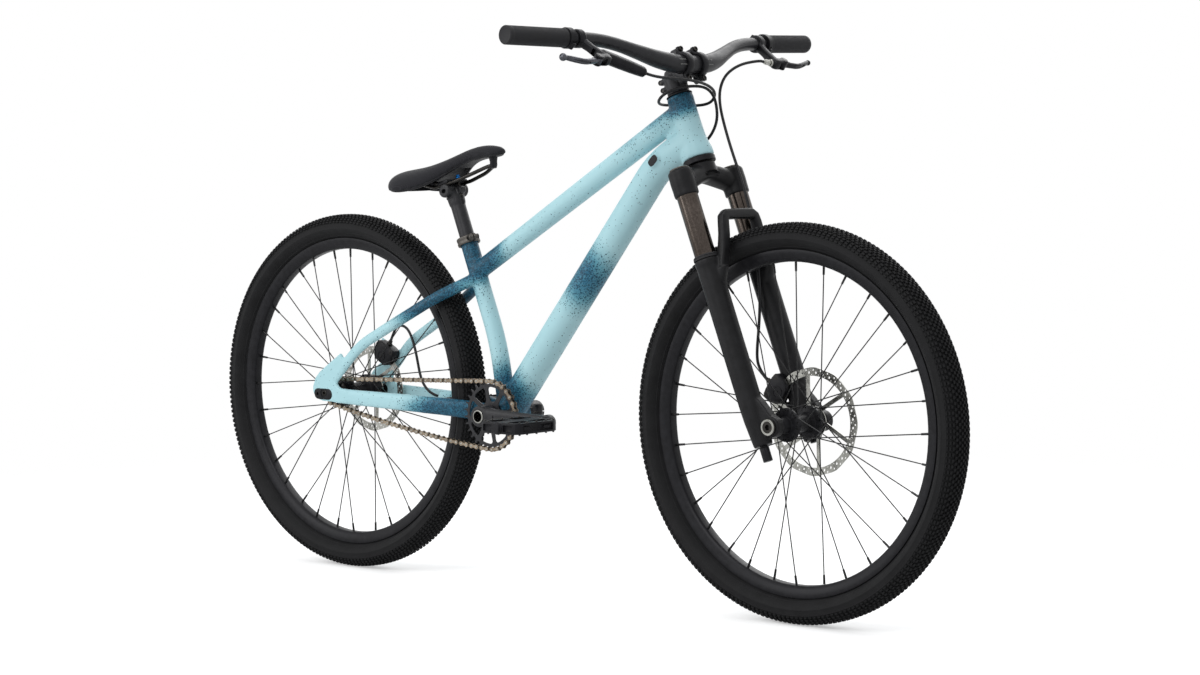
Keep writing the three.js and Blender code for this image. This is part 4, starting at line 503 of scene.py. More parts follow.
def fading_floor(tree, surface, place):
    """Matte floor that fades away with distance, so that only the shadow near the wheels shows."""
    cloud = add(tree, "ShaderNodeTexNoise", {"Vector": place, "Scale": 3.0}).outputs["Fac"]
    shade = add(tree, "ShaderNodeMapRange", {"Value": cloud, "To Min": 0.86, "To Max": 0.88}).outputs["Result"]
    grey = add(tree, "ShaderNodeCombineColor", {"Red": shade, "Green": shade, "Blue": shade}).outputs[0]
    tree.links.new(grey, surface.inputs["Base Color"])
    rays = add(tree, "ShaderNodeLightPath")
    lift = maths(tree, "MULTIPLY", rays.outputs["Is Camera Ray"], 0.42)
    tree.links.new(lift, surface.inputs["Emission Strength"])
    far = add(tree, "ShaderNodeVectorMath", {0: place}, operation="LENGTH").outputs["Value"]
    fade = ranged(tree, far, 1.0, 2.4, 0.0, 1.0, interpolation_type="SMOOTHSTEP")
    clear = add(tree, "ShaderNodeBsdfTransparent")
    both = add(tree, "ShaderNodeMixShader", {0: fade, 1: surface.outputs[0], 2: clear.outputs[0]})
    tree.links.new(both.outputs[0], tree.nodes["Material Output"].inputs["Surface"])


GLINT, COAT, COAT_ROUGH = "Specular IOR Level", "Coat Weight", "Coat Roughness"
# Each finish: material, shader settings, wiring, and for a grained one its dark and light colour,
# grains per metre, roughness, relief and spread of the roughness
LOOKS = {
    # Satin paint of the frame
    "frame_paint": ("speckle fade paint", {"Roughness": 0.4, GLINT: 0.22, COAT: 0.05, COAT_ROUGH: 0.3}, sprayed),
    # Dull black tread rubber with a fine moulded grain
    "tyre_rubber": ("tread rubber", {GLINT: 0.12}, grained, "#161617", "#242425", 900.0, 0.66, 0.12),
    # Tread knobs, painted lighter than the casing as a highlight on them
    "knob_rubber": ("knob rubber", {GLINT: 0.2}, grained, "#2A2A2B", "#444445", 700.0, 0.7, 0.12),
    # Casing between the knobs, painted near black as the shade between them
    "shaded_tread_floor": ("tread floor rubber", {GLINT: 0.05}, grained, "#060607", "#101011", 700.0, 0.85, 0.12),
    # Matte rubber of grips, seals and plugs
    "soft_rubber": ("grip rubber", {GLINT: 0.25}, grained, "#1E1E20", "#2C2C2E", 1500.0, 0.66, 0.1),
    # Bead-blasted black anodised aluminium with a soft satin sheen
    "black_alloy": ("black anodised alloy", {"Metallic": 0.3, GLINT: 0.15}, grained,
                    "#18181A", "#242427", 2200.0, 0.38, 0.04),
    # Powder-like satin black of the cranks, bar, stem and seatpost
    "satin_black": ("satin black finish", {"Metallic": 0.1, GLINT: 0.25}, grained,
                    "#202022", "#2E2E31", 2600.0, 0.38, 0.05),
    # Matte black enamel over cast magnesium, a little lighter where light grazes it
    "fork_black": ("matte fork enamel", {GLINT: 0.12, COAT: 0.05, COAT_ROUGH: 0.35}, grained,
                   "#151516", "#202022", 1800.0, 0.42, 0.04),
    # Glass-filled nylon with a faint moulded texture
    "black_plastic": ("moulded nylon", {GLINT: 0.15}, grained, "#161618", "#222226", 1300.0, 0.48, 0.1),
    # Oiled blackened steel of axles and rails
    "dark_steel": ("black steel", {"Metallic": 0.9}, grained, "#242321", "#3A3836", 1500.0, 0.33, 0.03),
    # Brushed stainless steel
    "silver_steel": ("brushed steel", {"Metallic": 1.0}, grained, "#85857F", "#B8B8B3", 1700.0, 0.24, 0.03),
    # Inner links, darker than the outer plates
    "dark_chain": ("oiled chain steel", {"Metallic": 0.6}, grained, "#2B251F", "#5E5445", 700.0, 0.42, 0.04),
    # Tan-brown plated chain steel, uneven as oil leaves it
    "chain_steel": ("tan chain steel", {"Metallic": 0.7}, grained, "#6C5F51", "#A39480", 700.0, 0.36, 0.04),
    # Polished black coating with a warm brown sheen
    "stanchion_coat": ("warm black coating", {"Metallic": 1.0}, grained,
                       "#38322E", "#57504B", 400.0, 0.16, 0.005, 0.02),
    # Black drawn spoke wire
    "spoke_steel": ("black spoke wire", {"Metallic": 0.6}, grained, "#141415", "#242425", 1200.0, 0.35, 0.02),
    # Smooth extruded black sheath
    "hose_skin": ("black sheath", {GLINT: 0.2}, grained, "#151517", "#252527", 1600.0, 0.38, 0.03),
    # Bright blue anodised bolt
    "blue_alloy": ("blue anodised alloy", {"Metallic": 0.8}, grained, "#0E5FA8", "#1B7FD0", 1500.0, 0.3, 0.02),
    # Polished grey anodised lever alloy
    "gunmetal": ("grey anodised alloy", {"Metallic": 0.85}, grained, "#3E3F44", "#5C5D63", 1500.0, 0.26, 0.02),
    # Bead-blasted grey-brown anodised alloy of the leg caps and the seat collar
    "grey_alloy": ("satin grey alloy", {"Metallic": 0.5}, grained, "#45423E", "#5C5853", 2200.0, 0.44, 0.03),
    # Worn pale grey printing ink of alignment marks
    "pale_paint": ("pale ink", {}, grained, "#8F8F8D", "#C9C9C5", 3000.0, 0.6, 0.02),
    # Sintered brake pad with its bright backing plate
    "pad_metal": ("brake pad", {"Metallic": 0.4}, grained, "#6A5A48", "#8C7A64", 900.0, 0.6, 0.1),
    # Knitted charcoal saddle cover
    "saddle_skin": ("knit saddle cover", {"Sheen Weight": 0.12, "Sheen Roughness": 0.5, GLINT: 0.1}, knitted),
    # Pale studio floor
    "studio_floor": ("pale studio floor", {"Roughness": 0.9, GLINT: 0.0}, fading_floor),
}


def finish_of(key):
    """Material of a finish, made once: a principled shader wired over the object's own place."""
    name, shader, wire, *grain = LOOKS[key]
    material = bpy.data.materials.get(name)
    if material:
        return material
    material = bpy.data.materials.new(name)
    material.use_nodes = True
    tree = material.node_tree
    tree.nodes.clear()
    out = tree.nodes.new("ShaderNodeOutputMaterial")
    surface = add(tree, "ShaderNodeBsdfPrincipled", shader)
    tree.links.new(surface.outputs[0], out.inputs["Surface"])
    wire(tree, surface, add(tree, "ShaderNodeTexCoord").outputs["Object"], *grain)
    return material


# The finish of a carried-over model node, where it isn't named as its material slot
SLOT_LOOKS = {"black_tyre": "tyre_rubber", "black_rubber": "soft_rubber", "fork_paint": "fork_black"}


def dress_nodes():
    """Gives every model node the procedural finish of its material slot."""
    for part in frame["record"]["subparts"]:
        slot = part["material_slot"]
        materials = frame["nodes"][part["node"]].data.materials
        materials.clear()
        materials.append(finish_of(SLOT_LOOKS.get(slot, slot)))


# Wheels

FLANGE_SPOKES = 16


def wheel_place(axle, plane=0):
    """Place whose Z axis runs along the axle to the left."""
    return Matrix.Translation(axle + Y_AXIS * plane) @ Z_TO_Y


def tyre_piece(name, axle, count):
    """Casing with moulded sidewall rings, its crown between the knobs painted near black as shade, and rows of small
    close knobs, painted lighter as a highlight, over the crown.
    """
    bm = bmesh.new()
    half = [(277.6, 10.9), (285.9, 10.9), (288.2, 13.6), (289.6, 16.8), (290.6, 17), (292.4, 19.6),
            (296, 23.9), (299.5, 26.6), (302, 27.7), (302.8, 28.1), (303.8, 28.1), (304.6, 27.7),
            (308, 27.5), (311.5, 26.9), (312.2, 27.2), (313.2, 27), (313.9, 26.2), (317.5, 24.2),
            (320.8, 21.2), (323.4, 16.6), (325.2, 11.2), (326.2, 5.6), (326.5, 0)]
    inner = [(277.6, 8), (288, 8), (296, 18.5), (303, 24), (313, 22), (319, 15.5), (320.8, 0)]
    turned(bm, ring_profile(half, inner), wheel_place(axle), steps=112, closed=True)
    body = as_object(bm, name)
    bm = bmesh.new()
    rows = ((0, 2, 0, 3.1), (5.2, 2, 0.5, 3.1), (10.4, 2, 0, 3), (15.4, 1.9, 0.5, 3),
            (20.2, 1.8, 0, 3.1), (23.8, 1.5, 0, 3.3), (26.2, 1.1, 0, 3.3))
    pitch = math.tau / count
    for y, width, shift, length in rows:
        for side in (1, -1) if y else (1,):
            slope = math.asin(min(0.96, y / 27.2))
            reach = mix(303, 326.8, math.cos(slope) ** 0.55)
            turn = Matrix.Rotation(pitch * shift, 4, "Z") @ Matrix.Translation((reach, 0, side * y))
            lean = Matrix.Rotation(-side * slope * 0.86, 4, "Y")
            tall = 3 if y < 18 else 2.4
            verts = block(bm, turn @ lean, (tall, length, width))
            top = [v for v in verts if (turn @ lean).inverted() @ v.co @ X_AXIS > 0]
            middle = sum((v.co for v in top), Vector()) / len(top)
            bmesh.ops.scale(bm, vec=(1, 0.8, 0.8), verts=top, space=Matrix.Translation(-middle))
    geom = bm.verts[:] + bm.edges[:] + bm.faces[:]
    bmesh.ops.spin(bm, geom=geom, cent=(0, 0, 0), axis=(0, 0, 1), dvec=(0, 0, 0),
                   angle=math.tau * (count - 1) / count, steps=count - 1, use_duplicate=True)
    crest = 329.8
    for v in bm.verts:
        flat = math.hypot(v.co.x, v.co.y)
        if flat > crest:
            v.co.x *= crest / flat
            v.co.y *= crest / flat
    bmesh.ops.transform(bm, matrix=wheel_place(axle), verts=bm.verts)
    knobs = as_object(bm, name + "_knobs")
    # The knobs take the rubber painted lighter as a highlight
    knobs.data.polygons.foreach_set("material_index", [1] * len(knobs.data.polygons))
    # Casing faces out at the crown, between the knobs, take the rubber painted near black as shade
    painted_shade_from = 0.3135
    for face in body.data.polygons:
        middle = face.center - axle / 1000
        if math.hypot(middle.x, middle.z) > painted_shade_from:
            face.material_index = 2
    return joined(body, knobs)


def joined(first, *others):
    """Adds other objects' meshes to the first."""
    bm = bmesh.new()
    bm.from_mesh(first.data)
    for other in others:
        bm.from_mesh(other.data)
        mesh = other.data
        bpy.data.objects.remove(other)
        bpy.data.meshes.remove(mesh)
    bm.to_mesh(first.data)
    bm.free()
    return first


def rim_piece(name, axle):
    """Double-wall rim with hooked walls and rounded shoulders."""
    bm = bmesh.new()
    half = [(285.3, 14), (284.2, 14.2), (280, 14.1), (277.2, 13.6), (272, 12.4), (267.6, 10.6),
            (265.6, 8.6), (265.1, 6), (265, 0)]
    inner = [(285.5, 13.2), (285.4, 12), (284.2, 11.55), (279, 11.55), (277.2, 10.8), (277, 5), (275.4, 0)]
    turned(bm, ring_profile(half, inner), wheel_place(axle), steps=128, closed=True)
    return as_object(bm, name)


def spoke_lines(flange_right, flange_left):
    """Both ends of each crossed spoke, in a wheel's own frame: X and Z round the axle, Y along it."""
    lines = []
    for side, flange in enumerate((flange_right, flange_left)):
        for i in range(FLANGE_SPOKES):
            trailing = 1 if i % 2 == 0 else -1
            rim_angle = math.tau * (i + side / 2) / FLANGE_SPOKES
            hub_angle = rim_angle + trailing * math.radians(66)
            out = math.copysign(1, flange)
            lines.append((
                Vector((24 * math.sin(hub_angle), flange + trailing * 1.6, 24 * math.cos(hub_angle))),
                Vector((264.6 * math.sin(rim_angle), out * 3.5, 264.6 * math.cos(rim_angle))),
            ))
    return lines


def hub_piece(name, axle, width, bore, right, left, plane, drive, spoke):
    """Hub shell with drilled flanges, disc spider, crossed spokes and their nipples."""
    bm = bmesh.new()
    end = width / 2 - 0.3
    seat = plane - 1.25
    if drive:
        start = [(bore, -end), (12, -end), (12, -30.6), (15, -30.6)]
    else:
        start = [(bore, -end), (12.2, -end), (13, -end + 0.8), (13, right - 6), (14.5, right - 3.6)]
    profile = start + [
        (27, right - 2), (28, right - 1.4), (28, right + 1.4), (27, right + 2), (18, right + 3),
        (15.2, right + 6.5), (14.4, right + 12), (14.4, left - 12), (15.2, left - 6.5), (18, left - 3),
        (27, left - 2), (28, left - 1.4), (28, left + 1.4), (27, left + 2), (25, min(left + 3.6, seat)),
        (25, seat), (17.7, seat), (17.7, seat + 3.4), (16.8, seat + 3.8), (13, seat + 3.8), (13, end - 0.8),
        (12.2, end), (bore, end)]
    turned(bm, profile, wheel_place(axle), steps=48, closed=True)
    body = as_object(bm, name)
    bm = bmesh.new()
    for flange in (right, left):
        for i in range(FLANGE_SPOKES):
            a = math.tau * (i + 0.5) / FLANGE_SPOKES
            at = axle + Vector((24.6 * math.sin(a), flange, 24.6 * math.cos(a)))
            plug(bm, 1.5, -4, 4, standing(at, Y_AXIS), 8)
    without(body, bm, False)
    bm = bmesh.new()
    for near, far in spoke_lines(right, left):
        near, far = axle + near, axle + far
        way = (far - near).normalized()
        rod(bm, near, far, spoke, steps=8)
        rod(bm, far - way * 15, far + way * 0.2, 1.9, 2.1, steps=8, lip=0.3)
        rod(bm, near - Y_AXIS * 1.4, near + Y_AXIS * 1.4, 2.2, steps=8, lip=0.4)
    spokes = as_object(bm, name + "_spokes")
    return body, spokes


def rotor_piece(name, axle, radius, plane):
    """Brake disc: scalloped and drilled track on slanted open arms, with its bolt circle."""
    place = wheel_place(axle, plane)
    waves = 12
    turns = [math.tau * i / (waves * 12) for i in range(waves * 12)]
    bm = bmesh.new()
    prism(bm, [polar(radius - 0.9 + 0.8 * math.cos(waves * a), a) for a in turns], place, -0.9, 0.9)
    disc = as_object(bm, name)
    bm = bmesh.new()
    plug(bm, 18, -3, 3, place, 32)
    track = radius - 14
    arms = 6
    for i in range(arms):
        start = math.tau * i / arms + 1 / 3
        outline = [polar(track, start + mix(0.09, math.tau / arms - 0.005, k / 8)) for k in range(9)]
        back = math.tau * i / arms
        outline += [polar(26.5, back + mix(math.tau / arms - 0.02, 0.26, k / 4)) for k in range(5)]
        prism(bm, outline, place, -3, 3)
        a = back + 0.03
        turned(bm, [(0, -3), (2.6, -3), (2.6, 3), (0, 3)],
               shifted(place, *polar(22, a)), 12)
    holes = 36
    for i in range(holes):
        for k, (r, size) in enumerate(((radius - 4.2, 1.7), (radius - 8.6, 2.1), (radius - 11.8, 1.2))):
            a = math.tau * (i + k * 0.38) / holes
            turned(bm, [(0, -3), (size, -3), (size, 3), (0, 3)],
                   shifted(place, *polar(r, a)), 8)
    without(disc, bm, False)
    bm = bmesh.new()
    for i in range(arms):
        a = math.tau * i / arms + 0.03
        turned(bm, [(0, 2.6), (1.5, 2.6), (1.5, 1.2), (1.9, 1), (3.4, 1), (4.2, 1.9), (4, 2.9), (3, 3.5), (1.7, 3.5),
                    (1.6, 2.6)],
               shifted(place, *polar(21.6, a)), 16)
    bolts = as_object(bm, name + "_bolts")
    return disc, bolts


def build_wheels(sizes):
    for name, axle, width, bore, right, left, (disc, plane, _), drive in (
        ("front", FRONT_AXLE, 110, 10.6, -29, 29, FRONT_BRAKE, False),
        ("rear", REAR_AXLE, 135, 6.6, -22, 34, REAR_BRAKE, True),
    ):
        body = name + "_wheel"
        tyre = tyre_piece(name + "_tyre_rubber", axle, sizes.knobs)
        # The tyre's knobs are painted lighter as a highlight, and its crown between them near black as painted shade
        finished(tyre, ["tyre_rubber", "knob_rubber", "shaded_tread_floor"], body, [name + "_tyre"], 28)
        finished(rim_piece(name + "_rim_band", axle), "black_alloy", body, [name + "_rim"], 50)
        hub, spokes = hub_piece(name + "_hub_shell", axle, width, bore, right, left, plane, drive, sizes.spoke * 1000)
        finished(hub, "black_alloy", body, [name + "_hub_and_spokes"])
        finished(spokes, "spoke_steel", body, [name + "_hub_and_spokes"])
        rotor, bolts = rotor_piece(name + "_disc", axle, disc, plane)
        finished(rotor, "silver_steel", body, [name + "_rotor"], 30)
        finished(bolts, "dark_steel", body, [name + "_rotor"])


# Frame


def down_tube():
    """Knee and upper end of the down tube."""
    joint = STEERING @ Vector((0, 0, 34))
    return joint + Vector((-72, 0, -36)), joint


def port_skin(bm, stations):
    """Slanted oval on the down tube's right side, through distances from the middle plane and half sizes."""
    knee, joint = down_tube()
    spot, run = knee.lerp(joint, 0.1), ((joint - knee).normalized() + Z_AXIS * 0.4).normalized()
    skin(bm, [ring_place(Vector((spot.x, -y, spot.z)), run, run.cross(Y_AXIS), w, h) for y, w, h in stations], 24, 0.6)


def frame_piece():
    """Welded frame: shaped tubes melted together with smooth fillets, then bored."""
    bm = bmesh.new()
    head = [(0, 2), (27.2, 2), (27.5, 3), (27.5, 14), (26.2, 20), (24, 30), (22.6, 44),
            (22.2, 70), (22.2, 98), (22.6, 104), (22.5, 114), (22.2, 115), (0, 115)]
    turned(bm, head, STEERING, 40)
    knee, joint = down_tube()
    tube(bm, rounded([BRACKET, knee, joint], 60, 8),
         lambda s: (mix(27, 24.5, s**3), mix(27.5, 27, s)), 32)
    top_start, top_end = on_seat_tube(136), STEERING @ Vector((0, 0, 88))
    tube(bm, [top_start, top_start.lerp(top_end, 0.35), top_start.lerp(top_end, 0.7), top_end],
         lambda s: (mix(16.3, 19.3, s), mix(16.5, 19.5, s)), 28)
    tube(bm, rounded([BRACKET, SEAT_KNEE, on_seat_tube(203)], 46, 8),
         lambda s: (mix(17, 15.9, min(1, 2 * s)),) * 2, 28)
    plug(bm, 24, -36.5, 36.5, wheel_place(BRACKET), 36, lip=0.6)
    web = [steer(-14, 0, 74), steer(-34, 0, 62), steer(-46, 0, 55)]
    tube(bm, web, lambda s: (mix(13, 7, s), mix(22, 9, s)), 20)
    stay_scale = 398.3
    for _, side in SIDES:
        shares = [(0.447, 0.1456, 0.3465), (0.216, 0.1657, 0.226), (0.0603, 0.1783, 0.0653)]
        start = on_seat_tube(124)
        points = [Vector((start.x, side * 12, start.z)), Vector((-262, side * 41.5, start.z - 34))]
        points += [REAR_AXLE + Vector((a, side * b, c)) * stay_scale for a, b, c in shares]
        tube(bm, rounded(points, 30, 6), lambda s: (mix(9, 5, s**3), mix(11, 10.2, s)), 24)
        shares = [(0.025, 0.0603, 0), (0.1506, 0.0803, 0.0126), (0.231, 0.103, 0.02), (0.3515, 0.1193, 0.025),
                  (0.5775, 0.1431, 0.0326), (0.7783, 0.1657, 0.0389), (0.9335, 0.1783, 0.0444)]
        points = [BRACKET + Vector((-a, side * b, c)) * stay_scale for a, b, c in shares]
        tube(bm, curved(points, 3), lambda s: (mix(8.5, 5, s**4), mix(17, 14, s)), 28, power=0.7)
        outline = [(-1, 0.42), (-0.78, 0.93), (-0.35, 1.35), (1.5, 2.55), (1.85, 1.75), (1.02, 1.1),
                   (0.92, 0.75), (1.4, 0.34), (2, 0.32), (2, -0.52), (-0.2, -0.5), (-0.75, -0.36), (-1, 0)]
        prism(bm, [(x * 30, -z * 30) for x, z in outline], wheel_place(REAR_AXLE), *sorted((side * 67.8, side * 75.8)))
    prism(bm, oblong(68, 92, 34), radial(REAR_AXLE, REAR_BRAKE[2]), -66.3, -61.3)
    port_skin(bm, ((13.7, 12.8, 8.6), (29.4, 12.8, 8.6)))
    rod(bm, steer(*UPPER_HOSE[-1]), steer(*UPPER_HOSE[-2]), 5.5)
    rod(bm, Vector((-338, 50, 321)), Vector((-346, 45, 325)), 5.5)
    body = fused(as_object(bm, "frame_tubes"), 2.1, 7)
    bm = bmesh.new()
    plug(bm, 19, -3, 120, STEERING, 48)
    plug(bm, 13.95, 12.4, 210, standing(SEAT_KNEE, SEAT_UP), 40)
    plug(bm, 18, -42, 42, wheel_place(BRACKET), 40)
    for _, side in SIDES:
        window = arc(14.25 - 2, 2, 10.25, -90, 90, 9) + arc(-14.25 - 2, 2, 10.25, 90, 270, 9)
        prism(bm, window, wheel_place(REAR_AXLE), *sorted((side * 60, side * 82)))
    return without(body, bm, False)


def port_plug():
    """Black rubber plug seated in the down tube's side port."""
    bm = bmesh.new()
    port_skin(bm, ((20, 10.8, 6.6), (29.6, 10.8, 6.6), (29.65, 9.8, 5.6)))
    return as_object(bm, "port_plug")


def build_frame():
    finished(frame_piece(), "frame_paint", "frame_body", ["frame"], 60)
    finished(port_plug(), "soft_rubber", "frame_body", ())


# Chain drive

PITCH = 12.7
CHAIN_LINE = 45
RING_TEETH, COG_TEETH = 30, 12
RING_PITCH = PITCH / 2 / math.sin(math.pi / RING_TEETH)
COG_PITCH = PITCH / 2 / math.sin(math.pi / COG_TEETH)


def chain_pins(sag):
    """Pins round the cog, along the upper run, round the ring and back along the lower run."""
    span = BRACKET - REAR_AXLE
    slope = math.atan2(span.z, span.x)
    lean = math.asin((RING_PITCH - COG_PITCH) / span.length)
    top, low = slope + lean + math.pi / 2, slope - lean - math.pi / 2

    def on_circle(centre, radius, angle):
        return Vector((centre.x + radius * math.cos(angle), 0, centre.z + radius * math.sin(angle)))

    cog_step, ring_step = math.tau / COG_TEETH, math.tau / RING_TEETH
    wrap = math.floor((math.tau - (top - low)) / cog_step)
    pins = [on_circle(REAR_AXLE, COG_PITCH, top + i * cog_step) for i in range(wrap, -1, -1)]
    way = top - math.pi / 2
    ahead = Vector((math.cos(way), 0, math.sin(way)))
    start = pins[-1].copy()
    pins += [start + ahead * PITCH * i for i in range(1, math.floor(span.length * math.cos(lean) / PITCH) + 1)]
    back = pins[-1] - BRACKET
    reach = back.length
    turn = math.acos((reach**2 + RING_PITCH**2 - PITCH**2) / (2 * reach * RING_PITCH))
    ring_start = math.atan2(back.z, back.x) - turn
    wrap = math.floor((ring_start - low) / ring_step)
    pins += [on_circle(BRACKET, RING_PITCH, ring_start - i * ring_step) for i in range(wrap + 1)]
    a, b = pins[-1].copy(), pins[0].copy()
    count = 2 * round(((a - b).length / PITCH + len(pins) - 1) / 2) - len(pins) + 1
    for i in range(1, count):
        share = i / count
        pins.append(a.lerp(b, share) - Z_AXIS * sag * share * (1 - share))
    return pins, ring_start, top


def link_plate(bm, a, b, y, thickness, radius, waist):
    """Waisted side plate between two pins."""
    along = (b - a).normalized()
    across = along.cross(Y_AXIS)
    length = (b - a).length
    outline = (arc(0, 0, radius, 48, 312, 9) + [(length * 0.38, -waist), (length * 0.62, -waist)]
               + arc(length, 0, radius, -132, 132, 9) + [(length * 0.62, waist), (length * 0.38, waist)])
    prism(bm, outline, basis(a, along, across, along.cross(across)), -(y + thickness / 2), -(y - thickness / 2))


def build_chain(sizes):
    pins, _, _ = chain_pins(sizes.sag * 1000)
    outer, inner, studs = bmesh.new(), bmesh.new(), bmesh.new()
    for i, pin in enumerate(pins):
        after = pins[(i + 1) % len(pins)]
        for side in (-1, 1):
            if i % 2:
                link_plate(inner, pin, after, -CHAIN_LINE + side * 2.5, 1, 3.9, 2)
            else:
                link_plate(outer, pin, after, -CHAIN_LINE + side * 3.7, 1, 4.2, 2.3)
        centre = pin - Y_AXIS * CHAIN_LINE
        rod(inner, centre - Y_AXIS * 1.9, centre + Y_AXIS * 1.9, 3.7, steps=10)
        rod(studs, centre - Y_AXIS * 4.7, centre + Y_AXIS * 4.7, 1.9, steps=10, lip=0.4)
    for name, bm, look in (
        ("outer_links", outer, "chain_steel"),
        ("inner_links", inner, "dark_chain"),
        ("chain_pins", studs, "silver_steel"),
    ):
        finished(as_object(bm, name), look, "frame_body", ["chain"], 30)


def toothed(teeth, pitch, phase):
    """Outline of round-rooted teeth."""
    step = math.tau / teeth
    root, tip = pitch - 4.6, pitch + 3.4
    points = []
    for i in range(teeth):
        middle = phase + (i + 0.5) * step
        for width, r in ((-3.1, root), (-1.9, root + 1.9), (-1.2, tip - 1.4), (-0.5, tip),
                         (0.5, tip), (1.2, tip - 1.4), (1.9, root + 1.9), (3.1, root)):
            points.append((r * math.cos(middle + width / r), -r * math.sin(middle + width / r)))
    return points


def build_sprockets(sizes):
    _, ring_start, cog_start = chain_pins(sizes.sag * 1000)
    place = wheel_place(BRACKET, -CHAIN_LINE)
    bm = bmesh.new()
    prism(bm, toothed(RING_TEETH, RING_PITCH, ring_start), place, -1, 1)
    ring = as_object(bm, "chainring_teeth")
    bm = bmesh.new()
    plug(bm, 12.3, -4, 4, place, 40)
    outer = RING_PITCH - 10.2
    for i in range(8):
        middle = math.tau * i / 8 + 0.2
        half = [(outer, 0), (outer, 0.13), (outer, 0.22), (outer - 1.2, 0.275), (outer - 4, 0.305), (outer - 8, 0.3),
                (33, 0.26), (28, 0.22), (25.2, 0.15), (24.6, 0)]
        window = [polar(r, middle + t) for r, t in half]
        window += [polar(r, middle - t) for r, t in half[-2:0:-1]]
        prism(bm, window, place, -4, 4)
    without(ring, bm)
    modified(ring, "BEVEL", width=0.0003, segments=1, limit_method="ANGLE", angle_limit=math.radians(40))
    finished(ring, "satin_black", "crankset", ["chainring"], 30)
    bm = bmesh.new()
    place = wheel_place(REAR_AXLE, -CHAIN_LINE)
    prism(bm, toothed(COG_TEETH, COG_PITCH, cog_start), place, -1, 1)
    turned(bm, [(12.95, -15.8), (16, -15.8), (16.5, -15.2), (16.5, 13.4), (16, 14), (12.95, 14)], place, 40,
           closed=True)
    cog = as_object(bm, "cog_and_freewheel")
    bm = bmesh.new()
    plug(bm, 12.9, -9, 9, place, 40)
    finished(without(cog, bm), "dark_steel", "freewheel", ["rear_cog"])


# Scene


# Lamps: name and setting, place, aim and size
LAMPS = (
    ("key", "key", (0.4, -4.0, 3.4), (0, 0, 0.5), 2.6),
    ("left_fill", "fill", (-2.6, -3.4, 1.6), (0, 0, 0.45), 2.2),
    ("back", "back", (-0.6, 3.4, 2.8), (0, 0, 0.5), 3.0),
    ("top", "top", (0.2, 0.0, 4.0), (0, 0, 0.4), 3.4),
)
# The photograph's camera, solved from both wheels: focal length and width in pixels, place and view axes
FOCAL_PIXELS, PHOTO_WIDTH, SENSOR = 2932.478, 1200, 36.0
CAMERA_PLACE = Vector((3.454724, -3.778192, 0.798396))
CAMERA_AHEAD = Vector((-0.6631, 0.7454, -0.06798))
CAMERA_RIGHT = Vector((0.7474, 0.66426, -0.00659))


def build_stage(settings):
    scene = bpy.context.scene
    bm = bmesh.new()
    bmesh.ops.create_grid(bm, x_segments=1, y_segments=1, size=30.0)
    mesh = bpy.data.meshes.new("studio_floor")
    bm.to_mesh(mesh)
    bm.free()
    floor = bpy.data.objects.new("studio_floor", mesh)
    scene.collection.objects.link(floor)
    mesh.materials.append(finish_of("studio_floor"))

    world = bpy.data.worlds.new("studio")
    scene.world = world
    world.use_nodes = True
    tree = world.node_tree
    tree.nodes.clear()
    out = tree.nodes.new("ShaderNodeOutputWorld")
    rays = add(tree, "ShaderNodeLightPath")
    white = add(tree, "ShaderNodeBackground", {"Color": (1.0, 1.0, 1.0, 1.0), "Strength": 1.0})
    soft = add(tree, "ShaderNodeBackground", {"Color": (0.96, 0.98, 1.0, 1.0), "Strength": settings.air})
    seen = rays.outputs["Is Camera Ray"]
    for kind in ("Is Glossy Ray", "Is Transmission Ray"):
        seen = maths(tree, "MAXIMUM", seen, rays.outputs[kind])
    both = add(tree, "ShaderNodeMixShader", {0: seen, 1: soft.outputs[0], 2: white.outputs[0]})
    tree.links.new(both.outputs[0], out.inputs["Surface"])

    for name, setting, place, aim, size in LAMPS:
        light = bpy.data.lights.new(name, "AREA")
        light.shape = "DISK"
        light.size = size
        light.energy = getattr(settings, setting)
        obj = bpy.data.objects.new(name, light)
        obj.location = place
        obj.rotation_euler = (Vector(aim) - Vector(place)).to_track_quat("-Z", "Y").to_euler()
        scene.collection.objects.link(obj)

    camera = bpy.data.cameras.new("photo_view")
    camera.sensor_width = SENSOR
    camera.lens = FOCAL_PIXELS / PHOTO_WIDTH * SENSOR
    camera.clip_end = 100.0
    obj = bpy.data.objects.new("photo_view", camera)
    ahead = CAMERA_AHEAD.normalized()
    right = (CAMERA_RIGHT - ahead * CAMERA_RIGHT.dot(ahead)).normalized()
    obj.matrix_world = basis(CAMERA_PLACE, right, right.cross(ahead), -ahead)
    scene.collection.objects.link(obj)
    scene.camera = obj
    scene.view_settings.view_transform = "Standard"
    scene.view_settings.look = "None"


# Fork, in the steering frame

LEG = 66
LEGS = (("right", -LEG), ("left", LEG))
LEG_OFFSET = 5.5
FORK_AXLE = Vector((34.5, 0, -475.8))


def on_leg(y, profile, bm, steps=40, closed=False):
    turned(bm, profile, shifted(STEERING, LEG_OFFSET, y), steps, closed)


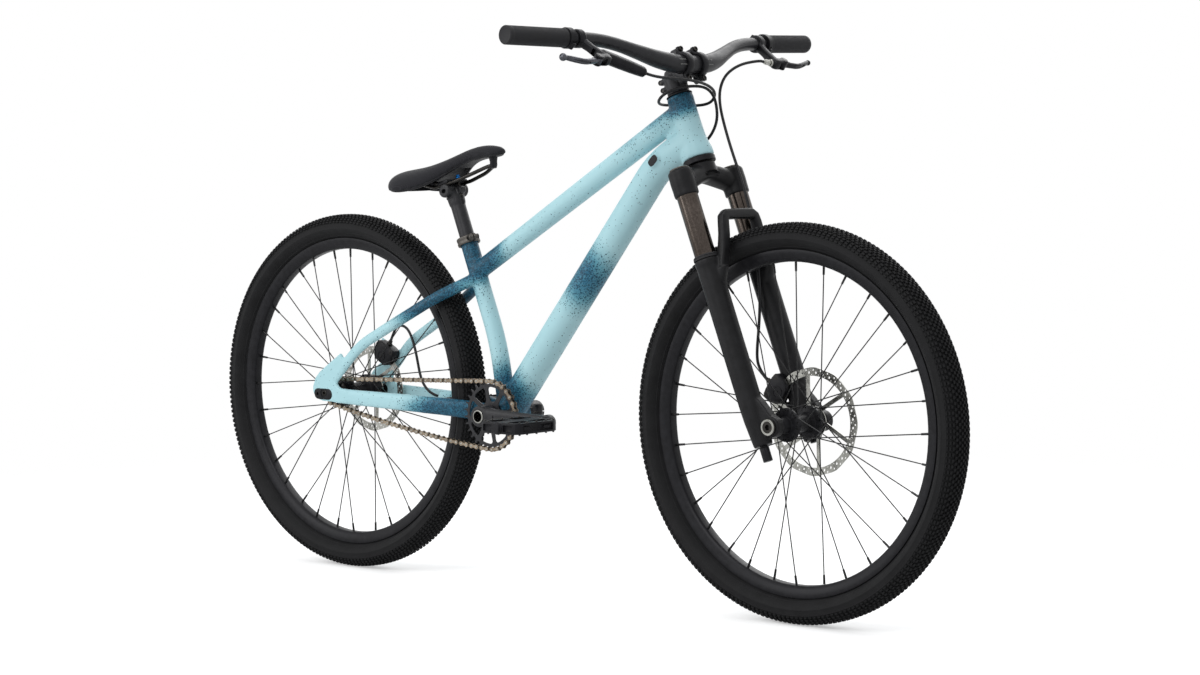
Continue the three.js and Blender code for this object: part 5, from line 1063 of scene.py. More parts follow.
def crown_piece():
    """Forged crown: arched beam melted into the leg clamps, with the steerer and bearing seat."""
    bm = bmesh.new()
    places = []
    for k in range(25):
        share = mix(-1, 1, k / 24)
        high = -9.6 - 15.4 * abs(share) ** 1.6
        low = -39.5 - 24 * abs(share) ** 1.3
        centre = steer(LEG_OFFSET * share**2, LEG * share, (high + low) / 2)
        places.append(ring_place(centre, STEER_AHEAD, STEER_UP, mix(19.5, 16, share**2), (high - low) / 2))
    skin(bm, places, 32, 0.82)
    for _, y in LEGS:
        on_leg(y, [(0, -65.6), (20.2, -65.6), (20.9, -64.8), (20.9, -56), (21.4, -40), (20.9, -23),
                   (20.3, -20.9), (19.3, -20.2), (0, -20.2)], bm)
    turned(bm, [(0, -30), (24, -30), (24, -8.8), (23.2, -8.1), (0, -8.1)], STEERING, 40)
    body = fused(as_object(bm, "fork_crown"), 1.7, 5)
    bm = bmesh.new()
    for _, y in LEGS:
        on_leg(y, [(0, -80), (18.3, -80), (18.3, -22.6), (0, -22.6)], bm)
    skin(bm, [ring_place(steer(x, 0, z), Y_AXIS, STEER_UP, w, h)
              for x, z, w, h in ((27, -33, 23, 7.4), (19, -32, 19.5, 5.6), (15.6, -31.4, 16, 4))], 28, 0.8)
    without(body, bm)
    bm = bmesh.new()
    turned(bm, [(11.8, -34), (14.3, -34), (14.3, 151.8), (13.5, 152.6), (11.8, 152.6)], STEERING, 36, closed=True)
    return joined(body, as_object(bm, "steerer_tube"))


def stanchion_piece(name, y):
    bm = bmesh.new()
    on_leg(y, [(15.8, -349), (17.2, -350), (18, -349.2), (18, -25), (17.4, -24.4), (15.8, -24.4)],
           bm, 56, closed=True)
    return as_object(bm, "stanchion_tube_" + name)


def fork_cap_piece(name, y):
    """Threaded top cap: bevelled rim, hexagon and a small valve cover or dial."""
    bm = bmesh.new()
    on_leg(y, [(0, -19.7), (16.6, -19.7), (17, -19.3), (17, -18), (16, -16.9), (12.5, -16.8), (12.2, -17.3),
               (9, -17.3), (0, -17.3)], bm)
    place = shifted(STEERING, LEG_OFFSET, y)
    prism(bm, circle(0, 0, 7.4, 6), place, -17.4, -14.9, 0.4)
    turned(bm, [(0, -15), (4.4, -15), (4.4, -14.6), (3.8, -14.3), (0, -14.3)], place, 24)
    return as_object(bm, "leg_cap_" + name)


def seal_piece(name, y):
    bm = bmesh.new()
    on_leg(y, [(18.4, -176.7), (21.2, -176.7), (21.5, -176.3), (21.5, -173.9), (20.7, -173.3), (20.7, -172.6),
               (21.3, -172.1), (21, -171.2), (19.4, -169.7), (18.4, -169.9)], bm, 48, closed=True)
    return as_object(bm, "dust_seal_" + name)


def lowers_piece():
    """Cast lowers: two tapered legs, the angular arch with its ribbed back, axle lugs and disc mount."""
    bm = bmesh.new()
    for _, y in LEGS:
        on_leg(y, [(0, -177.2), (20.9, -177.2), (21.4, -178), (21.4, -186), (20.6, -190), (20.4, -230),
                   (20.2, -330), (20, -430), (19.2, -455), (16.4, -492), (15.6, -499.2), (0, -499.6)], bm)
    half = [(16, 65, -221), (26, 58, -196), (34, 50.5, -169), (40, 45.5, -145),
            (43, 43, -128), (44.3, 40.5, -117.5), (44.5, 34.5, -113.3), (44.5, 20, -112.8), (44.5, 0, -112.5)]
    points = [steer(x, -y, z) for x, y, z in half] + [steer(x, y, z) for x, y, z in half[-2::-1]]
    tube(bm, points, lambda s: (mix(9.4, 7.6, math.sin(math.pi * s)), mix(10.2, 8.6, math.sin(math.pi * s))),
         28, STEER_AHEAD, 0.5)
    for side in (-1, 1):
        skin(bm, [ring_place(steer(x, side * y, z), STEER_AHEAD, Y_AXIS, w, h)
                  for x, y, z, w, h in ((6, 62, -232, 15, 14), (14, 62, -214, 17, 13), (25, 60, -198, 14, 11))], 20,
                  0.9)
    lug = arc(34.5, -475.8, 17.8, -150, 62, 16)
    lug += [(30, -430), (18, -409), (-2, -409), (-2, -497), (14, -498)]
    for side in (-1, 1):
        low, high = sorted((side * 55.8, side * 74.8))
        prism(bm, lug, basis(STEERING.translation, STEER_AHEAD, STEER_UP, -Y_AXIS), -high, -low, 2, 2)
    centre = STEERING @ FORK_AXLE
    tab = radial(centre, FRONT_BRAKE[2])
    prism(bm, [(74, -31), (78, -34), (98, -34), (102, -30), (102, 30), (98, 34), (78, 34), (74, 31)],
          tab, -58, -53.2)
    for reach in (-25, 25):
        skin(bm, [ring_place(tab @ Vector((r, reach * s, -56.5)), Y_AXIS, tab.col[1].xyz, w, 9)
                  for r, s, w in ((88, 1, 3.2), (74, 0.95, 5), (58, 0.8, 6))], 16, 0.8)
    body = fused(as_object(bm, "lower_legs"), 1.6, 3)
    bm = bmesh.new()
    for _, y in LEGS:
        on_leg(y, [(0, -452.8), (18.3, -452.8), (18.3, -170), (0, -170)], bm)
    for side in (-1, 1):
        pocket = [(41, 46, -159), (47, 42.6, -141), (49, 38, -126), (50, 30, -119), (50.5, 22, -117)]
        tube(bm, [steer(x - 17, side * y, z) for x, y, z in pocket], lambda s: (5.4, 5.8), 16,
             STEER_AHEAD, 0.6)
    plug(bm, 10.3, -90, 90, wheel_place(centre), 40)
    plug(bm, 14.3, -90, -75, wheel_place(centre), 40)
    without(body, bm)
    bm = bmesh.new()
    place = shifted(STEERING, LEG_OFFSET, -LEG)
    fluted = [polar(8 - 0.7 * (k % 2), math.pi * k / 12) for k in range(24)]
    prism(bm, fluted, place, -525.4, -502, 0.5)
    plug(bm, 6.2, -503, -498.8, place, 24)
    on_leg(LEG, [(0, -504.6), (5.6, -504.6), (6.2, -504), (6.2, -498.8), (0, -498.8)], bm, 24)
    return body, as_object(bm, "leg_dial_and_bolt")


def axle_piece(name, centre, radius, low, high, head=None):
    """Axle with a hexagon in its right end, a bore in its left end and maybe a wider head."""
    bm = bmesh.new()
    place = wheel_place(centre)
    wide = head or radius
    profile = [(0, low), (wide - 1, low), (wide, low + 1)]
    if head:
        profile += [(head, low + 4.4), (radius, low + 4.7)]
    turned(bm, profile + [(radius, high - 1), (radius - 1, high), (0, high)], place, 40)
    axle = as_object(bm, name)
    bm = bmesh.new()
    prism(bm, circle(0, 0, radius * 0.52, 6), place, low - 2, low + 5)
    plug(bm, radius * 0.55, high - 6, high + 2, place, 24)
    return without(axle, bm)


def caliper_piece(name, axle, brake, leg):
    """Two-half caliper: softened body, piston bores, slot over the disc, bolts, fitting and pads."""
    radius, plane, degrees = brake
    place = radial(axle + Y_AXIS * plane, degrees)

    def clear_of_leg(obj):
        """Cuts away what would stand in the bore of the fork leg beside the caliper."""
        if leg:
            bm = bmesh.new()
            on_leg(leg, [(0, -500), (19.9, -500), (19.9, -340), (0, -340)], bm)
            without(obj, bm, False)

    bm = bmesh.new()
    r0, r1 = radius - 21.8, radius + 15.8
    half = [(r0, -12), (r0 + 5, -19.5), (r0 + 14, -23), (r1 - 9, -24.8), (r1 - 2, -21), (r1, -12)]
    prism(bm, mirrored(half), place, -9.9, 9.9, 2.2, 3)
    for side in (-1, 1):
        turned(bm, [(0, 8), (12.2, 8), (12.2, 9.95), (11.4, 9.97), (0, 9.97)],
               shifted(place, r0 + 13) @ Matrix.Scale(side, 4, Z_AXIS), 32)
    body = as_object(bm, name)
    bm = bmesh.new()
    prism(bm, oblong(r0 - 4, r0 + 23.4, 40), place, -1.5, 1.5)
    prism(bm, oblong(r0 + 1, r0 + 23.4, 9.5), place, -3.4, 3.4)
    prism(bm, oblong(r0 + 21, r1 + 4, 7), place, -2.6, 2.6)
    for side in (-1, 1):
        ring = shifted(place, r0 + 13) @ Matrix.Scale(side, 4, Z_AXIS)
        turned(bm, [(8.2, 9.1), (9.4, 9.1), (9.4, 11), (8.2, 11)], ring, 28, closed=True)
        prism(bm, circle(0, 0, 3, 6), ring, 8.6, 11)
    without(body, bm)
    clear_of_leg(body)
    bm = bmesh.new()
    for t in (-17.5, 17.5):
        spot = shifted(place, r1 - 6.5, t)
        turned(bm, [(0, -9.5), (4.6, -9.5), (4.6, 9.98), (3.8, 10), (2.6, 10), (2.4, 8.6), (0, 8.6)], spot, 20)
    bolts = as_object(bm, name + "_bolts")
    clear_of_leg(bolts)
    bm = bmesh.new()
    tip = place @ Vector((radius + 24.8, 0, 0))
    root = place @ Vector((radius + 13, 0, 0))
    rod(bm, root, tip, 4.4, 3.9, steps=24, lip=0.5)
    prism(bm, circle(0, 0, 5.4, 6), standing(root.lerp(tip, 0.25), (tip - root).normalized()), 0, 3.6, 0.4)
    nipple = as_object(bm, name + "_fitting")
    bm = bmesh.new()
    for side in (-1, 1):
        low, high = sorted((side * 1.45, side * 3.3))
        prism(bm, [(r0 + 2, -8.8), (r0 + 20, -8.8), (r0 + 23, -6), (r0 + 23, 6), (r0 + 20, 8.8), (r0 + 2, 8.8)],
              place, low, high)
    pads = as_object(bm, name + "_pads")
    return body, bolts, nipple, pads


def build_fork():
    finished(crown_piece(), "fork_black", "steering_body", ["fork_crown_and_steerer"], 50)
    lowers, dials = lowers_piece()
    finished(lowers, "fork_black", "lowers_body", ["fork_lowers"], 50)
    finished(dials, "black_alloy", "lowers_body", ["fork_lowers"])
    for name, y in LEGS:
        finished(stanchion_piece(name, y), "stanchion_coat", "steering_body", ["stanchion_" + name])
        finished(fork_cap_piece(name, y), "grey_alloy", "steering_body", ["fork_cap_" + name])
        finished(seal_piece(name, y), "soft_rubber", "lowers_body", ["wiper_seal_" + name])
    front = axle_piece("thru_axle", STEERING @ FORK_AXLE, 9.98, -79.9, 74.9, 13.95)
    finished(front, "dark_steel", "lowers_body", ["front_axle"])
    bm = bmesh.new()
    turned(bm, [(9.8, -80.3), (12.9, -80.3), (13.4, -79.8), (13.4, -79), (9.8, -79)], wheel_place(STEERING @ FORK_AXLE),
           40, closed=True)
    finished(as_object(bm, "axle_end_ring"), "silver_steel", "lowers_body", ())


def build_brakes():
    for name, axle, brake, body, leg in (
        ("front", STEERING @ FORK_AXLE, FRONT_BRAKE, "lowers_body", LEG),
        ("rear", REAR_AXLE, REAR_BRAKE, "frame_body", None),
    ):
        caliper, bolts, fitting, pads = caliper_piece(name + "_brake_body", axle, brake, leg)
        finished(caliper, "black_alloy", body, [name + "_caliper"])
        finished(bolts, "dark_steel", body, [name + "_caliper"])
        finished(fitting, "dark_steel", body, [name + "_caliper"])
        finished(pads, "pad_metal", body, [name + "_caliper"])


# Cockpit, in the steering frame


CLAMP_X, CLAMP_Z = 40.6, 155.1
BAR_BEND, BAR_TIP = (20, 172, 204.4), (2.3, 385, 216.2)
STEM_BOLTS = (132.5, 146.5)


def bar_points():
    half = [BAR_TIP, BAR_BEND, (CLAMP_X, 50, CLAMP_Z)]
    return rounded([steer(x, -y, z) for x, y, z in half] + [steer(*p) for p in half[::-1]], 42, 14)


def grip_run(side):
    """Both ends of the bar's straight end."""
    return [steer(x, side * y, z) for x, y, z in (BAR_BEND, BAR_TIP)]


def on_grip(side, from_centre):
    start, end = grip_run(side)
    return start.lerp(end, (from_centre - BAR_BEND[1]) / (BAR_TIP[1] - BAR_BEND[1]))


def grip_way(side):
    start, end = grip_run(side)
    return (end - start).normalized()


def lever_place(side):
    """Lever frame: X outboard, Y toward the grip, Z along the pivot."""
    pull = Vector((-35, 0, 52)).normalized()
    out = Vector((0, side, 0))
    return STEERING @ basis(Vector((49.3, side * 240, 156.2)), out, pull, out.cross(pull))


def bar_piece():
    """Swept and risen bar, thick at the clamp and drawn down toward the grips."""
    bm = bmesh.new()

    def thick(share):
        span = abs(2 * share - 1)
        slim = min(1, max(0, (span - 0.1) / 0.3))
        return (mix(15.9, 11.1, slim * slim * (3 - 2 * slim)),) * 2

    points = bar_points()
    fine = []
    for a, b in zip(points, points[1:]):
        pieces = max(1, round((b - a).length / 9))
        fine += [a.lerp(b, k / pieces) for k in range(pieces)]
    tube(bm, [*fine, points[-1]], thick, 36, STEER_AHEAD)
    return as_object(bm, "riser_bar")


def bar_marks():
    """Fine alignment ticks painted beside the clamp."""
    bm = bmesh.new()
    for side in (-1, 1):
        for k in range(7):
            for turn in (-0.35, 0.2, 0.75):
                place = steer(CLAMP_X, side * (27 + 2.4 * k), CLAMP_Z)
                out = STEERING.to_3x3() @ Vector((math.cos(turn), 0, math.sin(turn)))
                block(bm, basis(place + out * 15.86, out, Y_AXIS, out.cross(Y_AXIS)), (0.12, 0.28, 0.9))
    return as_object(bm, "bar_ticks")


def stem_piece():
    """Forged stem: steerer clamp with its slot, waisted arm and the rear half of the bar clamp."""
    bm = bmesh.new()
    plug(bm, 19.5, 124.8, 154.5, STEERING, 40, lip=0.7)
    stations = ((0, 139.6, 15.5, 12.5), (13, 144.5, 15.5, 12.2), (24, 150.5, 20, 12), (34, 155.1, 25.6, 12.5))
    skin(bm, [ring_place(steer(x, 0, z), Y_AXIS, STEER_UP, w, h) for x, z, w, h in stations], 32, 0.62)
    face = side_steer(CLAMP_X, CLAMP_Z)
    turned(bm, [(0, -26), (21.2, -26), (21.8, -25.4), (21.8, -6.6), (19.6, -4.6), (19.6, 4.6), (21.8, 6.6),
                (21.8, 25.4), (21.2, 26), (0, 26)], face, 40)
    for side in (-1, 1):
        for end in (-1, 1):
            height = CLAMP_Z + end * 24
            rod(bm, steer(26, side * 19, height), steer(41.5, side * 19, height), 6.4)
        for z in STEM_BOLTS:
            rod(bm, steer(-19.5, side * 6, z), steer(-19.5, side * 16, z), 5)
    body = fused(as_object(bm, "stem_body"), 1.3, 4)
    bm = bmesh.new()
    plug(bm, 16.3, -40, 40, face, 48)
    block(bm, shifted(STEERING, 60.3, 0, 155), (20, 40, 50))
    plug(bm, 14.6, 100, 170, STEERING, 40)
    block(bm, shifted(STEERING, -22, 0, 140), (12, 1, 30))
    block(bm, shifted(STEERING, 24.5, 0, 149.5), (7, 8.5, 20), 2.5)
    for z in STEM_BOLTS:
        for side in (-1, 1):
            rod(bm, steer(-19.5, side * 12.5, z), steer(-19.5, side * 30, z), 3.3, steps=16)
    without(body, bm)
    bm = bmesh.new()
    for z in STEM_BOLTS:
        for side in (-1, 1):
            rod(bm, steer(-19.5, side * 11, z), steer(-19.5, side * 14.6, z), 3.1, steps=16, lip=0.4)
    return body, as_object(bm, "stem_bolts")


def side_steer(x, z):
    """Place at a point of the steering frame, its Z axis along the bike's Y axis."""
    return shifted(STEERING, x, 0, z) @ Z_TO_Y


def strap_piece(name, y):
    """Half-ring strap with an ear and a socket bolt at each end."""
    place = side_steer(CLAMP_X, CLAMP_Z)
    outline = ([(0.4, -30.2), (5.6, -30.2), (6.1, -27), (5, -24.6), (4.8, -22.2)]
               + arc(0, 0, 21.8, -74, 74, 19)
               + [(4.8, 22.2), (5, 24.6), (6.1, 27), (5.6, 30.2), (0.4, 30.2)]
               + arc(0, 0, 16.3, 88.6, -88.6, 21))
    bm = bmesh.new()
    prism(bm, outline, place, y - 6.4, y + 6.4, 1.1, 2)
    body = as_object(bm, name)
    bm = bmesh.new()
    for end in (-1, 1):
        centre = steer(44.6, y, CLAMP_Z + end * 26.2)
        place = standing(centre, STEER_AHEAD)
        turned(bm, [(0, 0), (4.6, 0), (4.6, 3.4), (3.9, 4.2), (2.3, 4.2), (2.3, 2), (0, 2)], place, 20)
    return body, as_object(bm, name + "_bolts")


def grip_piece(name, side):
    """Soft sleeve with fine ribs between an inner lock ring and a domed end."""
    place = standing(grip_run(side)[1] - grip_way(side) * 137, grip_way(side))
    profile = [(11.7, 12.4), (15, 12.4), (15.6, 13), (15.6, 17)]
    for h in range(18, 131, 2):
        profile += [(15.6, h), (15.3, h + 0.5), (15.3, h + 1), (15.6, h + 1.5)]
    profile += [(15.6, 133), (15.6, 138.2), (14.9, 139.4), (13.6, 140), (12.8, 139.5), (0, 139.3),
                (0, 137.6), (11.7, 137.3)]
    bm = bmesh.new()
    turned(bm, profile, place, 56)
    rims = [e for e in bm.edges if e.is_boundary]
    inner = [e for e in rims if abs((place.inverted() @ e.verts[0].co).z - 12.4) < 0.2]
    bmesh.ops.bridge_loops(bm, edges=inner + [e for e in rims if e not in inner])
    sleeve = as_object(bm, name)
    bm = bmesh.new()
    turned(bm, [(11.6, 0), (16.8, 0), (17.4, 0.6), (17.4, 11.2), (16.8, 12), (11.6, 12)], place, 48, closed=True)
    ear = shifted(place, 0, 0, 6)
    drop = (ear.inverted().to_3x3() @ (STEERING.to_3x3() @ Vector((0.35, 0, -0.94)))).normalized()
    out = ear.to_3x3() @ drop
    across = out.cross(grip_way(side)).normalized()
    centre = ear.translation + out * 15.8
    rod(bm, centre - across * 6.5, centre + across * 6.5, 4.4, steps=20, lip=0.5)
    lock = as_object(bm, name + "_lock_ring")
    bm = bmesh.new()
    rod(bm, centre + across * 4, centre + across * 9, 2.2, steps=12)
    without(lock, bm)
    return sleeve, lock


def lever_piece(name, side, ball):
    """Short two-finger blade: hooked, hollowed on its outer face, with its pivot boss."""
    place = lever_place(side)
    bm = bmesh.new()
    stations = ((-2, 0, 5.4, 6.2), (8, -1.6, 5.3, 5.4), (20, -4.6, 5, 4.2), (32, -6.4, 5, 3.7), (42, -5.4, 5, 3.6),
                (54, -1.8, 5, 3.5), (64, 1.6, 4.8, 3.4), (72, 4.2, 4.2, 3.2), (78, 5.6, 3.4, 3))
    places = []
    for i, (x, y, wide, thick) in enumerate(stations):
        a, b = stations[max(i - 1, 0)], stations[min(i + 1, len(stations) - 1)]
        way = Vector((b[0] - a[0], b[1] - a[1], 0)).normalized()
        turn = place.to_3x3()
        up = turn @ Vector((-way.y, way.x, 0))
        places.append(ring_place(place @ Vector((x, y, 0)), turn @ Z_AXIS, up, wide, thick))
    skin(bm, places, 24, 0.75)
    plug(bm, 7.8, -5.4, 5.4, place, 32, lip=0.6)
    bmesh.ops.create_icosphere(bm, subdivisions=3, radius=ball, matrix=shifted(place, 78, 5.6))
    body = fused(as_object(bm, name), 0.9, 3)
    bm = bmesh.new()
    plug(bm, 2.7, -9, 9, place, 20)
    pocket = ((26, -10.6, 2.4), (36, -10.2, 2.9), (48, -7.4, 2.9), (60, -3.4, 2.4))
    skin(bm, [ring_place(place @ Vector((x, y, 0)), place.col[2].xyz, place.col[1].xyz, w, 2.2) for x, y, w in pocket],
         16, 0.8)
    for x in (12.5, 18.5):
        spot = shifted(place, x, -2.4)
        plug(bm, 1.7, -9, 9, spot, 14)
    return without(body, bm)


def perch_piece(name, side):
    """Lever perch: split clamp round the bar, neck, two ears and the pivot bolt."""
    place = lever_place(side)
    line = grip_way(side)
    centre = on_grip(side, 232)
    pivot_axis, pull = place.col[2].xyz, place.col[1].xyz
    out = Vector((0, side, 0))
    bm = bmesh.new()
    rod(bm, centre - line * 6.8, centre + line * 6.8, 15.6, steps=40, lip=0.8)
    near = place @ Vector((-20, 0, 0))
    skin(bm, [ring_place(centre.lerp(near, s), out, pivot_axis, w, h)
              for s, w, h in ((0, 6.8, 9), (0.45, 6.2, 7.4), (0.8, 6.6, 8.4), (1, 7, 9.2))], 24, 0.6)
    skin(bm, [ring_place(place @ Vector((x, 0, 0)), pull, pivot_axis, w, h)
              for x, w, h in ((-26, 6.6, 8), (-19, 8, 9.2), (-8, 7.9, 9.2), (0, 7.8, 9.2))], 24, 0.62)
    plug(bm, 7.8, -9.2, 9.2, place, 28, lip=0.6)
    back = (centre - near).normalized()
    tail = centre + back * 15.5
    across = back.cross(line).normalized()
    rod(bm, tail - across * 7.5, tail + across * 7.5, 4.4, steps=20)
    if side < 0:
        start, end = place @ Vector((-20, 14, 0)), place @ Vector((-106, -20, 11))
        way = (end - start).normalized()
        up = (pull - way * pull.dot(way)).normalized()
        stations = ((-3, 8, 8.5), (2, 10.4, 10.8), (30, 10.4, 10.8), (62, 9.9, 10), (80, 9, 9.2), (88, 8.4, 8.4),
                    (90, 7.2, 7.2))
        skin(bm, [ring_place(start + way * d, way.cross(up), up, w, h) for d, w, h in stations], 32, 0.85)
        lid = ((6, 6.2, 1.2), (14, 7.6, 3.4), (34, 7.6, 4.6), (56, 6.8, 4), (76, 5.2, 1.4))
        skin(bm, [ring_place(start + way * d + up * (8.6 + h * 0.2), way.cross(up), up, w, h) for d, w, h in lid], 24,
             0.6)
    else:
        start, end = place @ Vector((-20, 0, 0)), place @ Vector((-46, 6, 0))
        way = (end - start).normalized()
        rod(bm, start, start + way * 9, 5.6, steps=20)
    body = fused(as_object(bm, name), 1.1, 4)
    bm = bmesh.new()
    rod(bm, centre - line * 20, centre + line * 20, 11.5, steps=48)
    room = shifted(place, 2.2)
    block(bm, room, (16.6, 26, 5.9))
    rod(bm, tail - across * 20, tail - across * 4.5, 3, steps=16)
    gap = basis(centre + back * 18, back, line, across)
    block(bm, gap, (6, 9, 0.7))
    without(body, bm)
    bm = bmesh.new()
    turned(bm, [(0, -9.4), (3.3, -9.4), (3.5, -9.2), (2.3, -8.6), (2.3, 8.6), (3.5, 9.2), (3.3, 9.4), (0, 9.4)], place,
           20)
    rod(bm, tail - across * 6.6, tail - across * 3.5, 2.8, steps=16, lip=0.4)
    pins = as_object(bm, name + "_bolts")
    bm = bmesh.new()
    if side < 0:
        rod(bm, end - way * 6, end - way * 0.1, 5.4, 4.6, steps=6, lip=0.3)
        rod(bm, end - way * 3, end, 4.2, 3.6, steps=20, lip=0.4)
        spot = start + way * 34 + up * 13.4
        prism(bm, circle(0, 0, 2.6, 20), standing(spot, up), -1.2, 0.3, 0.2)
    else:
        rod(bm, start + way * 8, end - way * 0.2, 3.2, steps=20, lip=0.3)
        for a, b, r in ((9.2, 12.4, 6.2), (13.4, 24, 4.7)):
            flutes = [polar(r if j % 2 else r - 0.5, math.pi * j / 12) for j in range(24)]
            prism(bm, flutes, standing(start, way), a, b, 0.3, 1)
    return body, pins, as_object(bm, name + "_fitting")


# Headset and stem cap, each with its node, finish and profile round the steering axis
HEADSET = (
    ("top_cap", "stem_top_cap", "satin_black", 40,
     [(0, 155), (14, 155), (14.5, 155.6), (14.5, 158), (13, 160.6), (6, 160.8), (5.6, 160.2), (5.4, 157.6),
      (0, 157.6)]),
    ("spacer", "headset_spacer", "black_alloy", 40,
     [(14.7, 119.4), (18.6, 119.4), (19, 119.8), (19, 123.8), (18.6, 124.2), (14.7, 124.2)]),
    ("upper_bearing_cover", "headset_upper_cup", "black_alloy", 44,
     [(14.7, 115.4), (22.2, 115.4), (22.5, 115.8), (22.3, 116.8), (19.2, 118.9), (14.7, 118.9)]),
    ("lower_bearing_cup", "headset_lower_cup", "black_alloy", 44,
     [(24.6, -7.6), (26.6, -7.6), (27.4, -6.6), (27.4, 0.9), (26.9, 1.6), (18.4, 1.6), (18.4, -6.8), (24.6, -6.8)]),
)


def build_cockpit():
    body = "steering_body"
    finished(bar_piece(), "satin_black", body, ["handlebar"], 60)
    finished(bar_marks(), "pale_paint", body, ())
    stem, bolts = stem_piece()
    finished(stem, "satin_black", body, ["stem"], 45)
    finished(bolts, "dark_steel", body, ["stem"])
    for name, side in SIDES:
        strap, bolts = strap_piece("face_strap_" + name, side * 19)
        finished(strap, "black_alloy", body, ["stem_strap_" + name])
        finished(bolts, "dark_steel", body, ["stem_strap_" + name])
        sleeve, lock = grip_piece("sleeve_" + name, side)
        finished(sleeve, "soft_rubber", body, ["grip_" + name], 50)
        finished(lock, "black_alloy", body, ["grip_" + name])
    for name, side, ball, perch, alloy, slot in (
        ("right", -1, 6.6, "brake_master_right", "gunmetal", "dark_steel"),
        ("left", 1, 5, "brake_perch_left", "black_alloy", "black_alloy"),
    ):
        lever = lever_piece("blade_" + name, side, ball)
        finished(lever, alloy, "lever_%s_body" % name, ["brake_lever_" + name], 50)
        clamp, pins, fitting = perch_piece("perch_" + name, side)
        finished(clamp, "black_alloy", body, [perch], 50)
        finished(pins, "dark_steel", body, [perch])
        finished(fitting, "dark_steel" if side < 0 else "silver_steel", body, [perch])
    for name, node, look, steps, profile in HEADSET:
        bm = bmesh.new()
        turned(bm, profile, STEERING, steps, closed=profile[0][0] > 0)
        rides = "frame_body" if "bearing" in name else body
        finished(as_object(bm, name), look, rides, [node])
    bm = bmesh.new()
    turned(bm, [(0, 157.6), (3.9, 157.6), (3.9, 159.4), (3.4, 160), (2.1, 160), (2.1, 158.4), (0, 158.4)], STEERING, 24)
    finished(as_object(bm, "top_cap_bolt"), "dark_steel", body, ())


# Hoses: knots in the steering frame, from the rear axle, and in the steering frame again

UPPER_HOSE = ((51, -95, 126), (53, -48, 124), (52, 2, 118), (43, 36, 112), (32, 53, 104), (14, 57, 97), (-7, 50, 101),
              (-24, 32, 108), (-33, 8, 112), (-30, -19, 112), (-15, -39, 113), (6, -44, 117), (26, -30, 119),
              (37, -4, 118), (41, 22, 114), (39, 39, 101), (32, 47, 82), (22, 50, 62), (7, 49, 47), (-9, 45, 37),
              (-31, 31, 31.4), (-44, 22, 29))
LOWER_HOSE = ((186.5, 50, -9), (178.5, 45, -5), (161, 37, 5), (147, 38, 17), (134.5, 42, 34), (124, 47, 55),
              (115, 50, 77), (106, 51, 98), (95.5, 51, 114.5), (82.4, 51, 121.5), (70, 51, 120.5), (61.2, 51, 114.3))
HOUSING = ((40, 171, 163), (33, 143, 160), (24, 110, 146), (19, 89, 122), (19, 77, 98), (22, 67, 69),
           (27, 58, 20), (33, 51, -19), (36, 48, -78), (30, 46, -138), (22, 39, -200), (8, 37.5, -250),
           (-13, 38.5, -294),
           (-33, 41, -328), (-41, 42.3, -351))


def lead(start, end):
    """Two points straight out of a fitting's open end."""
    way = (end - start).normalized()
    return [end + way * 0.4, end + way * 9]


def caliper_lead(axle, brake):
    radius, plane, degrees = brake
    out = radial(axle, degrees).col[0].xyz
    root = axle + Y_AXIS * plane + out * (radius + 16)
    return lead(root, root + out * 9)


def build_hoses(sizes):
    right, left = lever_place(-1), lever_place(1)
    upper = [steer(*p) for p in UPPER_HOSE]
    lower = [REAR_AXLE + Vector(p) for p in LOWER_HOSE]
    routes = (
        ("rear_hose_upper", "rear_brake_hose_front",
         ("steering_body", "frame_body", steer(0, 0, 96) / 1000, steer(0, 0, 36) / 1000),
         lead(right @ Vector((-20, 14, 0)), right @ Vector((-106, -20, 11))) + upper[:-2]
         + lead(upper[-1], upper[-2])[::-1]),
        ("rear_hose_lower", "rear_brake_hose_rear", "frame_body",
         lead(lower[0], lower[1]) + lower[2:]
         + caliper_lead(REAR_AXLE, REAR_BRAKE)[::-1]),
        ("front_cable_housing", "front_brake_housing",
         ("steering_body", "lowers_body", steer(0, 0, 20) / 1000, steer(0, 0, -340) / 1000),
         lead(left @ Vector((-20, 0, 0)), left @ Vector((-46, 6, 0))) + [steer(*p) for p in HOUSING]
         + caliper_lead(STEERING @ FORK_AXLE, FRONT_BRAKE)[::-1]),
    )
    for name, node, body, knots in routes:
        path = eased(curved(knots, 8), 18, 6)
        bm = bmesh.new()
        way = (path[1] - path[0]).normalized()
        reference = way.orthogonal().normalized()
        places = []
        for i, p in enumerate(path):
            way = (path[min(i + 1, len(path) - 1)] - path[max(i - 1, 0)]).normalized()
            reference = (reference - way * reference.dot(way)).normalized()
            places.append(ring_place(p, reference, way.cross(reference), sizes.hose * 500, sizes.hose * 500))
        skin(bm, places, 16)
        hose = finished(as_object(bm, name), "hose_skin", body, [node], 60)


# Seat

RAIL = 21
# Share along from tail to nose, half width of 67, crown and lower edge of 52
SADDLE_STATIONS = (
    (0, 0.42, 0.6, 0.5), (0.012, 0.62, 0.74, 0.4), (0.04, 0.82, 0.85, 0.28), (0.09, 0.95, 0.9, 0.18),
    (0.16, 1, 0.89, 0.1), (0.26, 0.95, 0.84, 0.05), (0.37, 0.8, 0.82, 0.1), (0.5, 0.57, 0.87, 0.27),
    (0.62, 0.39, 0.95, 0.46), (0.72, 0.31, 1, 0.55), (0.83, 0.28, 0.98, 0.54), (0.9, 0.27, 0.91, 0.5),
    (0.95, 0.24, 0.82, 0.48), (0.985, 0.18, 0.74, 0.49), (1, 0.11, 0.68, 0.5))


def seat_point(x, y, z):
    return SADDLE @ Vector((x, y, z))


